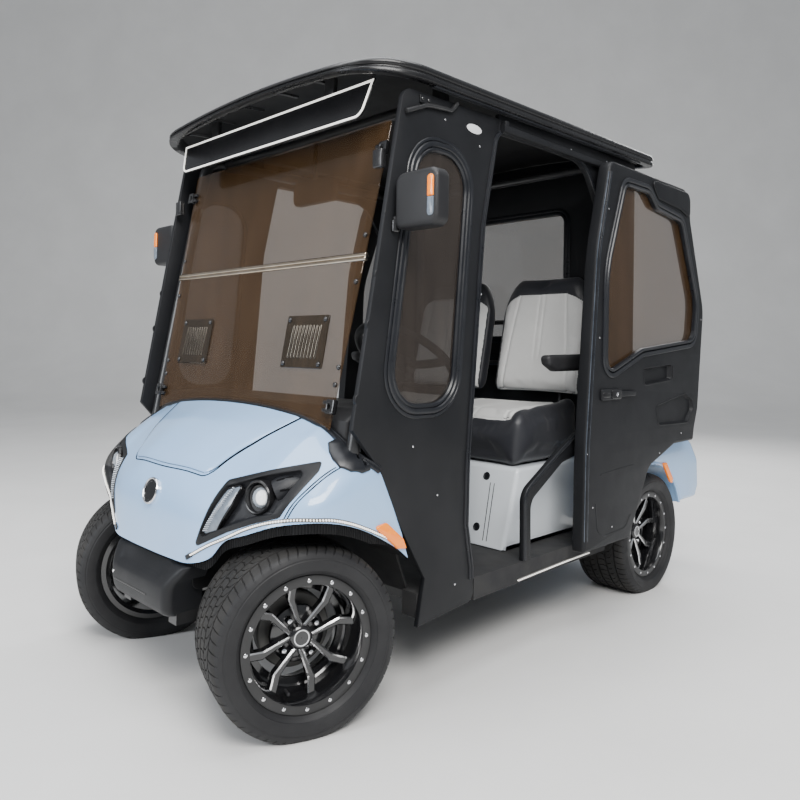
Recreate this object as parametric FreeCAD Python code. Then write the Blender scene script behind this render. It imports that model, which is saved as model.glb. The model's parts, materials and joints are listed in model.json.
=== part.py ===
import FreeCAD, Part
import math
import os

# Two-seat golf cart with a hard cab, sliding side doors and 12-inch wheels.
# Frame: +Z up, front of the cart towards -Y, driver's side towards +X, ground at Z = 0.

V = FreeCAD.Vector
X_AXIS = V(1, 0, 0)
Y_AXIS = V(0, 1, 0)
Z_AXIS = V(0, 0, 1)

# Overall sizes and axles
WHEELBASE = 1640.0
FRONT_OVERHANG = 243.0
REAR_OVERHANG = 497.0
FRONT_AXLE_Y = -(WHEELBASE + FRONT_OVERHANG + REAR_OVERHANG) / 2 + FRONT_OVERHANG
REAR_AXLE_Y = FRONT_AXLE_Y + WHEELBASE
FRONT_Y = FRONT_AXLE_Y - FRONT_OVERHANG
REAR_Y = REAR_AXLE_Y + REAR_OVERHANG
BODY_HALF = 560.0

# Wheels
TYRE_RADIUS = 238.5
TYRE_WIDTH = 215.0
TYRE_SHOULDER = 26.0
TREAD_DEPTH = 6.0
TREAD_GROOVE = 7.0
BEAD_RADIUS = 154.0
RIM_RADIUS = 167.5
RIM_WIDTH = 180.0
RIM_WALL = 9.0
RIM_RING = 26.0
RIM_DISC_DEPTH = 90.0
RIM_DISC_THICKNESS = 12.0
RIM_HUB_RADIUS = 52.0
CAP_RADIUS = 32.0
CAP_LENGTH = 44.0
SPOKE_PAIRS = 4
SPOKE_WIDTH = 17.0
SPOKE_DEPTH = 22.0
SPOKE_ANGLE = 21.0
LUG_COUNT = 4
LUG_CIRCLE = 101.6
LUG_RADIUS = 9.5
LUG_LENGTH = 26.0
RUNNING_GAP = 0.05
HUB_GAP = 0.3
CLEARANCE = 6.0

# Front axle and steering
KINGPIN_X = 368.0
KINGPIN_RADIUS = 11.0
KINGPIN_HEIGHT = 130.0
WHEEL_OFFSET = 45.0
STEER_LEFT = -18.5
STEER_RIGHT = -21.1
STEER_LOCK = 33.0
STEER_ARM = 75.0
STEER_ARM_DROP = 34.0
TIE_ROD_RADIUS = 8.0
AXLE_HALF_HEIGHT = 24.0
AXLE_HALF_DEPTH = 22.0
YOKE_RADIUS = 21.0
YOKE_THICKNESS = 18.0
HUB_RADIUS = 44.0

# Rear axle and drive
REAR_HALF_TRACK = 455.8
AXLE_TUBE_RADIUS = 36.0
SHAFT_RADIUS = 17.0
DRIVE_LENGTH = 430.0
DRIVE_AHEAD = 329.0
DRIVE_BOTTOM = 172.0
DRIVE_TOP = 392.0
SPRING_RADIUS = 26.0
SPRING_X = 250.0

# Chassis and floor
RAIL_X = 150.0
RAIL_WIDTH = 40.0
RAIL_HEIGHT = 60.0
FLOOR_Z = 300.0
FLOOR_THICKNESS = 12.0
RAIL_TOP = FLOOR_Z - FLOOR_THICKNESS
BUMPER_WALL = 40.0
SILL_BOTTOM = 234.0
SILL_FRONT = FRONT_AXLE_Y + 515.0
SILL_WIDTH = 70.0
FLOOR_FRONT = FRONT_AXLE_Y + 307.0
FLOOR_REAR = REAR_AXLE_Y - 341.0
TOE_TOP_Y = FRONT_AXLE_Y + 177.0
TOE_TOP_Z = 600.0

# Cab
CAB_REAR = REAR_AXLE_Y - 173.0
PANEL = 16.0
WINDSHIELD_HINGE_Y = FRONT_AXLE_Y + 143.0
WINDSHIELD_BAR_Z = 1197.0
WINDSHIELD_SLOPE = 0.195
WINDSHIELD_BOTTOM = 735.0
WINDSHIELD_TOP = 1570.0
WINDSHIELD_THICKNESS = 5.0
WINDSHIELD_BAR_RADIUS = 9.0
WINDSHIELD_SIDE = 66.0
WINDSHIELD_FLARE = 0.06
PILLAR_RADIUS = 19.0
PILLAR_GAP = 6.0
PILLAR_X = BODY_HALF - 44.0
PILLAR_TOP = 1636.0
PILLAR_FOOT_Z = 640.0
FRONT_CROSS_Y = FRONT_AXLE_Y + 337.0
ROOF_POSTS_Y = (FRONT_AXLE_Y + 387.0, REAR_AXLE_Y - 363.0)
GLASS = 5.0
GASKET = 22.0
GASKET_PROUD = 6.0

# Roof
ROOF_HALF = BODY_HALF + 32.0
ROOF_FRONT = FRONT_AXLE_Y + 67.0
ROOF_REAR = REAR_AXLE_Y - 43.0
ROOF_EDGE_Z = 1655.0
ROOF_RISE = 24.0
ROOF_EDGE = 46.0
ROOF_CROWN = 38.0
ROOF_SHELL = 10.0

# Doors
DOOR_INNER = BODY_HALF + 25.0
DOOR_THICKNESS = 46.0
DOOR_OUTER = DOOR_INNER + DOOR_THICKNESS
DOOR_BOTTOM = 292.0

# Seats and controls
SEAT_SIDE_ROOM = 105.0
SEAT_HALF = BODY_HALF - SEAT_SIDE_ROOM
SEAT_FRONT = REAR_AXLE_Y - 765.0
SEAT_BASE_TOP = 565.0
CUSHION_THICKNESS = 176.0
CUSHION_DEPTH = 410.0
SEAT_GAP = 0.3
BACK_GAP_HALF = 20.0
BACK_STEP_IN = 5.0
BACK_WIDTH = SEAT_HALF - BACK_GAP_HALF - BACK_STEP_IN
BACK_THICKNESS = 92.0
BACK_BOTTOM = 786.0
BACK_TOP = 1262.0
BACK_FRONT = REAR_AXLE_Y - 375.0
BACK_LEAN = 90.0
STEERING_X = 235.0
STEERING_Y = FRONT_AXLE_Y + 552.0
STEERING_Z = 925.0
STEERING_TILT = 52.0
STEERING_RADIUS = 172.0
STEERING_GRIP = 13.0
COLUMN_RADIUS = 24.0
COLUMN_LENGTH = 560.0


def box(x0, x1, y0, y1, z0, z1):
    """A block between two corners."""
    return Part.makeBox(x1 - x0, y1 - y0, z1 - z0, V(x0, y0, z0))


def rod(start, end, radius):
    """A round bar from one point to another."""
    return Part.makeCylinder(radius, (end - start).Length, start, end - start)


def fuse(shapes):
    """One solid from pieces that overlap or share faces."""
    joined = shapes[0].fuse(shapes[1:]) if len(shapes) > 1 else shapes[0]
    return joined.removeSplitter()


def mirrored(shape):
    """The same piece on the other side of the cart."""
    return shape.mirror(V(0, 0, 0), X_AXIS)


def both_sides(shape):
    """A piece and its mirror image as two solids."""
    return Part.Compound([shape, mirrored(shape)])


def turned(shape, centre, axis, degrees):
    """A copy turned about an axis through a point."""
    copy = shape.copy()
    copy.rotate(centre, axis, degrees)
    return copy


def corner_arc(before, corner, after, radius):
    """Start, middle and end of the arc that rounds a corner."""
    to_before = (before - corner).normalize()
    to_after = (after - corner).normalize()
    half = to_before.getAngle(to_after) / 2
    reach = radius / math.tan(half)
    room = 0.49 * min((before - corner).Length, (after - corner).Length)
    if reach > room:
        reach = room
        radius = reach * math.tan(half)
    middle = (to_before + to_after).normalize()
    centre_distance = radius / math.sin(half)
    return (corner + to_before * reach, corner + middle * (centre_distance - radius),
            corner + to_after * reach)


def rounded_wire(points, closed=True):
    """A wire of straight runs and tangent arcs. Each point is (vector, corner radius)."""
    count = len(points)
    runs = []
    for index, (corner, radius) in enumerate(points):
        is_end = not closed and index in (0, count - 1)
        if radius <= 0 or is_end:
            runs.append((corner, None, corner))
            continue
        before = points[index - 1][0]
        after = points[(index + 1) % count][0]
        runs.append(corner_arc(before, corner, after, radius))
    edges = []
    for index, (start, middle, end) in enumerate(runs):
        if middle is not None:
            edges.append(Part.Arc(start, middle, end).toShape())
        if index + 1 < count or closed:
            following = runs[(index + 1) % count][0]
            if (following - end).Length > 1e-4:
                edges.append(Part.LineSegment(end, following).toShape())
    return Part.Wire(edges)


def side_point(x, row):
    """A point of a side view at one X, from a row (y, z, radius)."""
    return (V(x, row[0], row[1]), row[2] if len(row) > 2 else 0)


def side_prism(outline, x0, x1):
    """A plate with a side-view outline of (y, z, radius) rows, between two X planes."""
    wire = rounded_wire([side_point(x0, row) for row in outline])
    return Part.Face(wire).extrude(V(x1 - x0, 0, 0))


def offset_prism(outline, distance, x0, x1):
    """A plate whose side-view outline is grown, or shrunk if negative, by a distance."""
    face = Part.Face(rounded_wire([side_point(x0, row) for row in outline]))
    return Part.Face(face.makeOffset2D(distance).Wires[0]).extrude(V(x1 - x0, 0, 0))


def front_prism(outline, y0, y1):
    """A plate with a front-view outline of (x, z, radius) rows, between two Y planes."""
    wire = rounded_wire([(V(row[0], y0, row[1]), row[2] if len(row) > 2 else 0) for row in outline])
    return Part.Face(wire).extrude(V(0, y1 - y0, 0))


def plan_prism(outline, z0, z1):
    """A plate with a plan-view outline of (x, y, radius) rows, between two heights."""
    wire = rounded_wire([(V(row[0], row[1], z0), row[2] if len(row) > 2 else 0) for row in outline])
    return Part.Face(wire).extrude(V(0, 0, z1 - z0))


def tube_along(points, radius):
    """A round tube along a route of straight runs and tangent arcs. Rows are (x, y, z, bend)."""
    route = rounded_wire([(V(row[0], row[1], row[2]), row[3]) for row in points], closed=False)
    start = V(*points[0][:3])
    heading = V(*points[1][:3]) - start
    profile = Part.Wire([Part.makeCircle(radius, start, heading)])
    return route.makePipeShell([profile], True, False)


def revolved(profile, centre, axis):
    """A ring or disc turned about a wheel's axis. Rows of the profile are (along the axis, radius)."""
    points = [V(row[0], row[1], 0) for row in profile]
    face = Part.Face(Part.makePolygon(points + [points[0]]))
    solid = face.revolve(V(0, 0, 0), X_AXIS, 360)
    solid.Placement = FreeCAD.Placement(centre, FreeCAD.Rotation(X_AXIS, axis))
    return solid


def from_axle(rows, axle_y):
    """The same outline with each y counted from an axle."""
    return [(axle_y + row[0], *row[1:]) for row in rows]


def windshield_y(z):
    """Where the sloped windshield plane stands at a height."""
    return WINDSHIELD_HINGE_Y + WINDSHIELD_SLOPE * (z - WINDSHIELD_BAR_Z)


# Wheel places
# name: (kingpin or hub centre X, axle Y, wheel offset along its own axis, rest turn about +Z)
WHEELS = {
    "front_left": (KINGPIN_X, FRONT_AXLE_Y, WHEEL_OFFSET, STEER_LEFT),
    "front_right": (-KINGPIN_X, FRONT_AXLE_Y, WHEEL_OFFSET, STEER_RIGHT),
    "rear_left": (REAR_HALF_TRACK, REAR_AXLE_Y, 0.0, 0.0),
    "rear_right": (-REAR_HALF_TRACK, REAR_AXLE_Y, 0.0, 0.0),
}


def wheel_axis(name):
    """The outward direction of a wheel's axle at rest."""
    pivot_x, _, _, turn = WHEELS[name]
    side = 1 if pivot_x > 0 else -1
    angle = math.radians(turn)
    return V(side * math.cos(angle), side * math.sin(angle), 0)


def wheel_centre(name):
    """The middle of a tyre at rest."""
    pivot_x, axle_y, offset, _ = WHEELS[name]
    return V(pivot_x, axle_y, TYRE_RADIUS) + wheel_axis(name) * offset


def make_tyre(name):
    """A tyre with round shoulders, bead flanks and tread grooves round its outside."""
    half = TYRE_WIDTH / 2
    groove = TREAD_GROOVE / 2
    lane = (half - TYRE_SHOULDER) / 2
    bead = RIM_WIDTH / 2 - RIM_WALL - HUB_GAP
    profile = [(-bead, BEAD_RADIUS), (-bead, RIM_RADIUS + HUB_GAP), (-half + 8, RIM_RADIUS + 6),
               (-half, TYRE_RADIUS - 45), (-half + 5, TYRE_RADIUS - 22),
               (-half + TYRE_SHOULDER, TYRE_RADIUS - 3)]
    for place in (-lane, 0.0, lane):
        profile += [(place - groove, TYRE_RADIUS), (place - groove, TYRE_RADIUS - TREAD_DEPTH),
                    (place + groove, TYRE_RADIUS - TREAD_DEPTH), (place + groove, TYRE_RADIUS)]
    profile += [(half - TYRE_SHOULDER, TYRE_RADIUS - 3), (half - 5, TYRE_RADIUS - 22),
                (half, TYRE_RADIUS - 45), (half - 8, RIM_RADIUS + 6),
                (bead, RIM_RADIUS + HUB_GAP), (bead, BEAD_RADIUS)]
    return revolved(profile, wheel_centre(name), wheel_axis(name))


def spoke_arm(side):
    """One bent arm of a spoke pair, pointing up from the hub. Side is +1 or -1."""
    knee = 0.62 * BEAD_RADIUS
    lean = math.radians(SPOKE_ANGLE) * side
    foot = V(0, 0, RIM_HUB_RADIUS * 0.6)
    bend = V(0, knee * math.sin(lean), knee * math.cos(lean))
    tip_angle = lean * 0.82
    reach = BEAD_RADIUS - RIM_WALL
    tip = V(0, reach * math.sin(tip_angle), reach * math.cos(tip_angle))
    pieces = []
    for start, end in ((foot, bend), (bend, tip)):
        along = end - start
        turn = math.degrees(math.atan2(along.y, along.z))
        bar = Part.makeBox(SPOKE_DEPTH, SPOKE_WIDTH, along.Length, V(0, -SPOKE_WIDTH / 2, 0))
        bar.rotate(V(0, 0, 0), X_AXIS, -turn)
        bar.translate(start)
        pieces.append(bar)
    pieces.append(Part.makeCylinder(SPOKE_WIDTH / 2, SPOKE_DEPTH, bend, X_AXIS))
    return fuse(pieces)


def make_rim(name):
    """A deep rim: barrel, outer ring, recessed disc, hub boss, spoke pairs and lug nuts."""
    half = RIM_WIDTH / 2
    barrel = [(-half, RIM_RADIUS), (-half, BEAD_RADIUS - RIM_WALL), (half, BEAD_RADIUS - RIM_RING),
              (half, RIM_RADIUS), (half - RIM_WALL, RIM_RADIUS), (half - RIM_WALL, BEAD_RADIUS - 0.3),
              (-half + RIM_WALL, BEAD_RADIUS - 0.3), (-half + RIM_WALL, RIM_RADIUS)]
    disc_face = half - RIM_DISC_DEPTH
    solid = [revolved(barrel, V(0, 0, 0), X_AXIS)]
    disc_back = V(disc_face - RIM_DISC_THICKNESS, 0, 0)
    solid.append(Part.makeCylinder(BEAD_RADIUS - 4, RIM_DISC_THICKNESS, disc_back, X_AXIS))
    solid.append(Part.makeCylinder(RIM_HUB_RADIUS, 24, V(disc_face - 2, 0, 0), X_AXIS))
    solid.append(Part.makeCylinder(CAP_RADIUS, CAP_LENGTH, V(disc_face, 0, 0), X_AXIS))
    for pair in range(SPOKE_PAIRS):
        for side in (1, -1):
            arm = spoke_arm(side)
            arm.translate(V(disc_face + 18, 0, 0))
            arm.rotate(V(0, 0, 0), X_AXIS, (pair + 0.5) * 360.0 / SPOKE_PAIRS)
            solid.append(arm)
    for lug in range(LUG_COUNT):
        nut = Part.makeCylinder(LUG_RADIUS, LUG_LENGTH, V(disc_face + 6, 0, LUG_CIRCLE / 2), X_AXIS)
        solid.append(turned(nut, V(0, 0, 0), X_AXIS, lug * 360.0 / LUG_COUNT))
    rim = fuse(solid)
    rim.Placement = FreeCAD.Placement(wheel_centre(name), FreeCAD.Rotation(X_AXIS, wheel_axis(name)))
    return rim


def tyre_sweep(side):
    """The space that a front wheel needs at any steering angle."""
    block = []
    pivot = V(side * KINGPIN_X, FRONT_AXLE_Y, TYRE_RADIUS)
    for step in range(7):
        angle = math.radians(-STEER_LOCK + step * STEER_LOCK / 3)
        axis = V(side * math.cos(angle), side * math.sin(angle), 0)
        low = pivot + axis * (WHEEL_OFFSET - TYRE_WIDTH / 2 - CLEARANCE)
        block.append(Part.makeCylinder(TYRE_RADIUS + 2 * CLEARANCE, TYRE_WIDTH + 2 * CLEARANCE, low, axis))
    return block


def rear_rail_start():
    """Where the rails step up to pass over the rear axle."""
    return FLOOR_REAR + 2.0


def make_chassis_frame():
    """Two rails that step up behind the floor, joined by cross members, with spring towers."""
    low = RAIL_TOP - RAIL_HEIGHT
    high = RAIL_TOP + RAIL_HEIGHT
    step = rear_rail_start()
    pieces = []
    for side in (1, -1):
        x0 = side * RAIL_X - (RAIL_WIDTH if side > 0 else 0)
        pieces.append(box(x0, x0 + RAIL_WIDTH, FRONT_Y + BUMPER_WALL, step + RAIL_HEIGHT, low, RAIL_TOP))
        pieces.append(box(x0, x0 + RAIL_WIDTH, step, REAR_Y - 90, RAIL_TOP, high))
        tower = REAR_AXLE_Y + 130
        pieces.append(box(x0, x0 + RAIL_WIDTH, tower, tower + RAIL_WIDTH, high, WELL_FLOOR))
    span = RAIL_X - RAIL_WIDTH / 2
    for place in (FRONT_Y + 70, FRONT_AXLE_Y + 150, FLOOR_FRONT + 340, FLOOR_REAR - 252):
        pieces.append(box(-span, span, place, place + RAIL_WIDTH, low, RAIL_TOP))
    pieces.append(box(-span, span, REAR_Y - 140, REAR_Y - 140 + RAIL_WIDTH, RAIL_TOP, high))
    sill = BODY_HALF - SILL_WIDTH
    for place in (FLOOR_FRONT + 60, FLOOR_REAR - 472, FLOOR_REAR - 90):
        pieces.append(box(-sill, sill, place, place + RAIL_WIDTH, low + 10, RAIL_TOP))
    beam = box(-KINGPIN_X, KINGPIN_X, FRONT_AXLE_Y - AXLE_HALF_DEPTH, FRONT_AXLE_Y + AXLE_HALF_DEPTH,
               TYRE_RADIUS - AXLE_HALF_HEIGHT, TYRE_RADIUS + AXLE_HALF_HEIGHT)
    return fuse(pieces).cut(beam)


def make_floor_pan():
    """Floor, sloped toe board and the two side sills under the door openings."""
    half = BODY_HALF - SILL_WIDTH
    floor = box(-half, half, FLOOR_FRONT, FLOOR_REAR, RAIL_TOP, FLOOR_Z)
    toe = [(FLOOR_FRONT, RAIL_TOP), (FLOOR_FRONT, FLOOR_Z), (TOE_TOP_Y + 8, TOE_TOP_Z),
           (TOE_TOP_Y - 6, TOE_TOP_Z)]
    toe_board = side_prism(toe, -half, half)
    behind_panel = box(half, BODY_HALF - PANEL - HUB_GAP, FLOOR_FRONT - 20, FLOOR_REAR, SILL_BOTTOM, FLOOR_Z)
    sill = side_prism([(SILL_FRONT, FLOOR_Z), (FLOOR_REAR, FLOOR_Z), (FLOOR_REAR, SILL_BOTTOM + 24, 20),
                       (FLOOR_REAR - 112, SILL_BOTTOM + 10), (SILL_FRONT, SILL_BOTTOM)], half, BODY_HALF - 2)
    return fuse([floor, toe_board, behind_panel, sill, mirrored(behind_panel), mirrored(sill)])


# Cowl sections across the cart, with X as drawn for a cowl of half width COWL_DRAWN_HALF
# and y from the front axle
# each row: (X, rear top (y, z), hood middle (y, z), brow (y, z), front (y, z), front low (y, z))
COWL_SECTIONS = [
    (0.0, (63, 790), (-53, 728), (-153, 640), (-203, 550), (-215, 398)),
    (205.0, (63, 783), (-48, 716), (-148, 624), (-199, 540), (-205, 402)),
    (320.0, (63, 772), (-38, 704), (-138, 618), (-185, 540), (-183, 440)),
    (425.0, (63, 748), (-18, 703), (-105, 632), (-157, 570), (-163, 520)),
    (505.0, (63, 712), (-8, 680), (-71, 624), (-123, 578), (-135, 552)),
    (540.0, (63, 690), (2, 662), (-55, 615), (-105, 572), (-117, 550)),
    (556.0, (63, 660), (17, 636), (-33, 600), (-83, 566), (-95, 548)),
]
COWL_DRAWN_HALF = 556.0
COWL_HALF = BODY_HALF - 4.0
COWL_STRETCH = COWL_HALF / COWL_DRAWN_HALF
COWL_SHELL = 5.0
COWL_REAR = FRONT_AXLE_Y + 71.0
COWL_LOW_FRONT = FRONT_AXLE_Y - 163.0
COWL_ROOM_REAR = FRONT_AXLE_Y + 447.0
ARCH_RADIUS = 291.0
# front edge of the side panel, (y from the front axle, z) from the top down
SIDE_FRONT_EDGE = [(FRONT_AXLE_Y + y, z)
                   for y, z in ((32, 755), (127, 650), (208, 489), (301, 341), (276, 217))]
HOOD_PANEL_FRONT = FRONT_AXLE_Y - 141.0
HOOD_PANEL_REAR = FRONT_AXLE_Y + 45.0
HOOD_PANEL = [(-215, HOOD_PANEL_FRONT, 40), (215, HOOD_PANEL_FRONT, 40), (318, HOOD_PANEL_REAR, 30),
              (-318, HOOD_PANEL_REAR, 30)]
HOOD_RAISE = 5.0
BADGE_RADIUS = 40.0
BADGE_CENTRE = V(0, FRONT_AXLE_Y - 185, 552)


def cowl_body(inset, through=0.0):
    """The hood and fenders as one closed form, grown or shrunk, and run on below and behind."""
    wires = []
    for x, *rows in COWL_SECTIONS:
        x_in = x * (COWL_HALF - inset) / COWL_DRAWN_HALF
        points = [V(x_in, FRONT_AXLE_Y + y + inset, z - inset) for y, z in rows]
        points[-1] = V(x_in, FRONT_AXLE_Y + rows[-1][0] + inset, rows[-1][1] - through)
        points.append(V(x_in, FLOOR_FRONT + through, FLOOR_Z - through))
        points.append(V(x_in, FLOOR_FRONT + through, rows[0][1] - 60 - inset))
        wires.append(Part.makePolygon(points + [points[0]]))
    half = Part.makeLoft(wires, True, True)
    return half.fuse(mirrored(half)).removeSplitter()


def make_front_cowl():
    """The painted hood and fender shell, open below and behind, cut for the wheels."""
    badge_axis = V(0, -1, 0.32)
    badge = Part.makeCylinder(BADGE_RADIUS, 16, BADGE_CENTRE, badge_axis)
    shell = cowl_body(0).cut(cowl_body(COWL_SHELL, 80.0)).fuse(badge)
    arch = Part.makeCylinder(ARCH_RADIUS, BODY_HALF, V(205, FRONT_AXLE_Y + 8, TYRE_RADIUS), X_AXIS)
    edge = [(y - 2, z) for y, z in SIDE_FRONT_EDGE]
    behind = side_prism(edge + [(COWL_ROOM_REAR, edge[-1][1]), (COWL_ROOM_REAR, 900), (edge[0][0], 900)],
                        BODY_HALF - 75, BODY_HALF + 50)
    rear_room = box(-BODY_HALF + 75, BODY_HALF - 75, COWL_REAR, COWL_ROOM_REAR, 200, 900)
    below = box(-BODY_HALF, BODY_HALF, COWL_LOW_FRONT, COWL_ROOM_REAR, 200, 394)
    tools = [arch, mirrored(arch), behind, mirrored(behind), rear_room, below]
    for side in (1, -1):
        tools += tyre_sweep(side)
    for side in (1, -1):
        tools.append(Part.makeCylinder(PILLAR_RADIUS + HUB_GAP, 400, pillar_foot(side), pillar_direction()))
    return shell.cut(tools)


def pillar_direction():
    """The front pillars' lean, parallel to the windshield."""
    return V(0, WINDSHIELD_SLOPE, 1).normalize()


def pillar_foot(side):
    """Where a front pillar's centre line starts."""
    return V(side * PILLAR_X, windshield_y(PILLAR_FOOT_Z) + PILLAR_RADIUS + PILLAR_GAP + 4, PILLAR_FOOT_Z)


def make_hood_panel():
    """The raised panel on the hood, lying on the cowl."""
    raised = cowl_body(-HOOD_RAISE).cut(cowl_body(0, 0.0))
    return raised.common(plan_prism(HOOD_PANEL, 500, 900))


# headlight outline and its upright light bar, front view (x as drawn, z, radius)
HEADLIGHT = [(232, 462, 10), (306, 618, 14), (500, 680, 6), (516, 648, 10), (470, 562, 20), (340, 505, 20)]
LIGHT_BAR = [(246, 484, 5), (308, 606, 5), (326, 612, 5), (270, 500, 5)]
HEADLIGHT_PROUD = 7.0
LIGHT_BAR_PROUD = 10.0
LAMP_CENTRE = V(398 * COWL_STRETCH, FRONT_AXLE_Y - 121, 590)
LAMP_AXIS = V(0.42, -0.9, 0.15)
LAMP_RADIUS = 40.0
LAMP_LENGTH = 34.0
LAMP_RING = 8.0
LENS_SET_BACK = 5.0


def make_headlights():
    """Black angular bezels that lie on the cowl, each with a light bar and a round lamp in its ring."""
    cowl = cowl_body(0)
    pieces = []
    for rows, proud in ((HEADLIGHT, HEADLIGHT_PROUD), (LIGHT_BAR, LIGHT_BAR_PROUD)):
        outline = [(x * COWL_STRETCH, z, radius) for x, z, radius in rows]
        skin = cowl_body(-proud).cut(cowl)
        pieces.append(skin.common(front_prism(outline, FRONT_Y - 60, HOOD_PANEL_REAR)))
    lamp = Part.makeCylinder(LAMP_RADIUS, LAMP_LENGTH, LAMP_CENTRE, LAMP_AXIS)
    axis = V(*LAMP_AXIS).normalize()
    front = LAMP_CENTRE + axis * (LAMP_LENGTH - LENS_SET_BACK)
    recess = Part.makeCylinder(LAMP_RADIUS - LAMP_RING, 2 * LENS_SET_BACK, front, axis)
    light = fuse(pieces + [lamp.cut([cowl, recess])])
    return both_sides(light)


# marker lamps on the fenders, side-view outlines (y from the nearer axle, z, radius)
MARKER_FRONT = [(121, 506, 4), (149, 530, 8), (205, 470, 6), (219, 436, 4), (191, 448, 6)]
MARKER_REAR = [(87, 512, 6), (119, 512, 8), (179, 440, 8), (173, 420, 6), (153, 430, 6)]
MARKER_PROUD = 8.0


def make_marker_lamps():
    """Amber lamps at the front and rear fenders of both sides."""
    front = side_prism(from_axle(MARKER_FRONT, FRONT_AXLE_Y), COWL_HALF, BODY_HALF + MARKER_PROUD)
    rear = side_prism(from_axle(MARKER_REAR, REAR_AXLE_Y), BODY_HALF, BODY_HALF + MARKER_PROUD)
    return Part.Compound([front, rear, mirrored(front), mirrored(rear)])


BUMPER_HALF = 166.0
BUMPER_DEPTH = 110.0
BUMPER_BOTTOM = 248.0
BUMPER_TOP = 392.0
BUMPER_SKIN = 8.0
# bumper side view, (y, z, radius)
BUMPER_SIDE = [(FRONT_Y + 40, BUMPER_TOP, 10), (FRONT_Y + 8, BUMPER_TOP - 8, 16), (FRONT_Y, 330, 60),
               (FRONT_Y + 6, BUMPER_BOTTOM + 18, 18), (FRONT_Y + 30, BUMPER_BOTTOM, 16),
               (FRONT_Y + BUMPER_DEPTH, BUMPER_BOTTOM, 10), (FRONT_Y + BUMPER_DEPTH, BUMPER_TOP, 6)]


def make_front_bumper():
    """A moulded front bumper with a groove and a set-back upper panel."""
    block = side_prism(BUMPER_SIDE, -BUMPER_HALF, BUMPER_HALF)
    rear = FRONT_Y + BUMPER_DEPTH
    plan = plan_prism([(-BUMPER_HALF, rear), (-BUMPER_HALF, FRONT_Y - 2, 46), (BUMPER_HALF, FRONT_Y - 2, 46),
                       (BUMPER_HALF, rear)], BUMPER_BOTTOM - 48, BUMPER_TOP + 28)
    groove = box(-BUMPER_HALF, BUMPER_HALF, FRONT_Y - 10, FRONT_Y + 10, 300, 308)
    hollow = box(-BUMPER_HALF + BUMPER_SKIN, BUMPER_HALF - BUMPER_SKIN, FRONT_Y + BUMPER_WALL, rear + 10,
                 BUMPER_BOTTOM - BUMPER_SKIN, BUMPER_TOP - BUMPER_SKIN)
    return block.common(plan).cut([groove, hollow])


def windshield_half(z):
    """Half the windshield's width at a height."""
    return PILLAR_X - WINDSHIELD_SIDE + (z - WINDSHIELD_BOTTOM) * WINDSHIELD_FLARE


def pane(z0, z1, inset=0.0, thickness=WINDSHIELD_THICKNESS, proud=0.0):
    """A flat piece in the windshield's plane between two heights."""
    corners = [(-1, z0), (1, z0), (1, z1), (-1, z1)]
    points = [V(side * (windshield_half(z) - inset), windshield_y(z) - proud, z) for side, z in corners]
    normal = V(0, -1, WINDSHIELD_SLOPE).normalize()
    return Part.Face(Part.makePolygon(points + [points[0]])).extrude(normal * thickness)


VENT_WIDTH = 182.0
VENT_X = PILLAR_X - 225.0
VENT_LOW = 898.0
VENT_HIGH = 1044.0
VENT_THICKNESS = 4.0
VENT_SLOTS = 9
VENT_PITCH = 14.5
VENT_SLOT_WIDTH = 5.0
VENT_SLOT_HEIGHT = 84.0


def windshield_bar(radius):
    """The bar that joins the windshield's panes."""
    half = windshield_half(WINDSHIELD_BAR_Z) + 6
    middle = V(0, windshield_y(WINDSHIELD_BAR_Z) - WINDSHIELD_THICKNESS / 2, WINDSHIELD_BAR_Z)
    return rod(middle - X_AXIS * half, middle + X_AXIS * half, radius)


def make_windshield():
    """Lower and upper panes, and two louvred vent plates on the lower pane."""
    bar = windshield_bar(WINDSHIELD_BAR_RADIUS + HUB_GAP)
    lower = pane(WINDSHIELD_BOTTOM, WINDSHIELD_BAR_Z - 1).cut([bar, cowl_body(-HUB_GAP)])
    upper = pane(WINDSHIELD_BAR_Z + 1, WINDSHIELD_TOP).cut(bar)
    normal = V(0, -1, WINDSHIELD_SLOPE).normalize()
    up = V(0, WINDSHIELD_SLOPE, 1).normalize()
    plates = []
    for side in (1, -1):
        middle = (VENT_LOW + VENT_HIGH) / 2
        centre = V(side * VENT_X, windshield_y(middle), middle) + normal * WINDSHIELD_THICKNESS
        rows = [(-1, -1), (1, -1), (1, 1), (-1, 1)]
        half_height = (VENT_HIGH - VENT_LOW) / 2
        points = [centre + X_AXIS * (a * VENT_WIDTH / 2) + up * (b * half_height) for a, b in rows]
        plate = Part.Face(Part.makePolygon(points + [points[0]])).extrude(normal * VENT_THICKNESS)
        slots = []
        for index in range(VENT_SLOTS):
            middle_x = (index - (VENT_SLOTS - 1) / 2) * VENT_PITCH
            low = centre + X_AXIS * (middle_x - VENT_SLOT_WIDTH / 2) - up * (VENT_SLOT_HEIGHT / 2)
            across = X_AXIS * VENT_SLOT_WIDTH
            slot = [low, low + across, low + across + up * VENT_SLOT_HEIGHT, low + up * VENT_SLOT_HEIGHT]
            slots.append(Part.Face(Part.makePolygon(slot + [slot[0]])).extrude(normal * VENT_THICKNESS))
        plates.append(plate.cut(slots))
    return Part.Compound([lower, upper] + plates)


def make_windshield_fittings():
    """The bar between the panes and the clips that hold them to the pillars."""
    pieces = [windshield_bar(WINDSHIELD_BAR_RADIUS)]
    for z in (1485.0, 803.0):
        x = windshield_half(z)
        y = windshield_y(z) - WINDSHIELD_THICKNESS - 4
        clip = box(x - 30, x + 12, y - 8, y + 1, z - 16, z + 16).cut(pane(WINDSHIELD_BOTTOM, WINDSHIELD_TOP))
        pieces += [clip, mirrored(clip)]
    return Part.Compound(pieces)


def below_roof(piece, roof):
    """The part of a piece that stands under the roof and meets it."""
    return min(piece.cut(roof).Solids, key=lambda solid: solid.BoundBox.ZMin)


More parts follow.
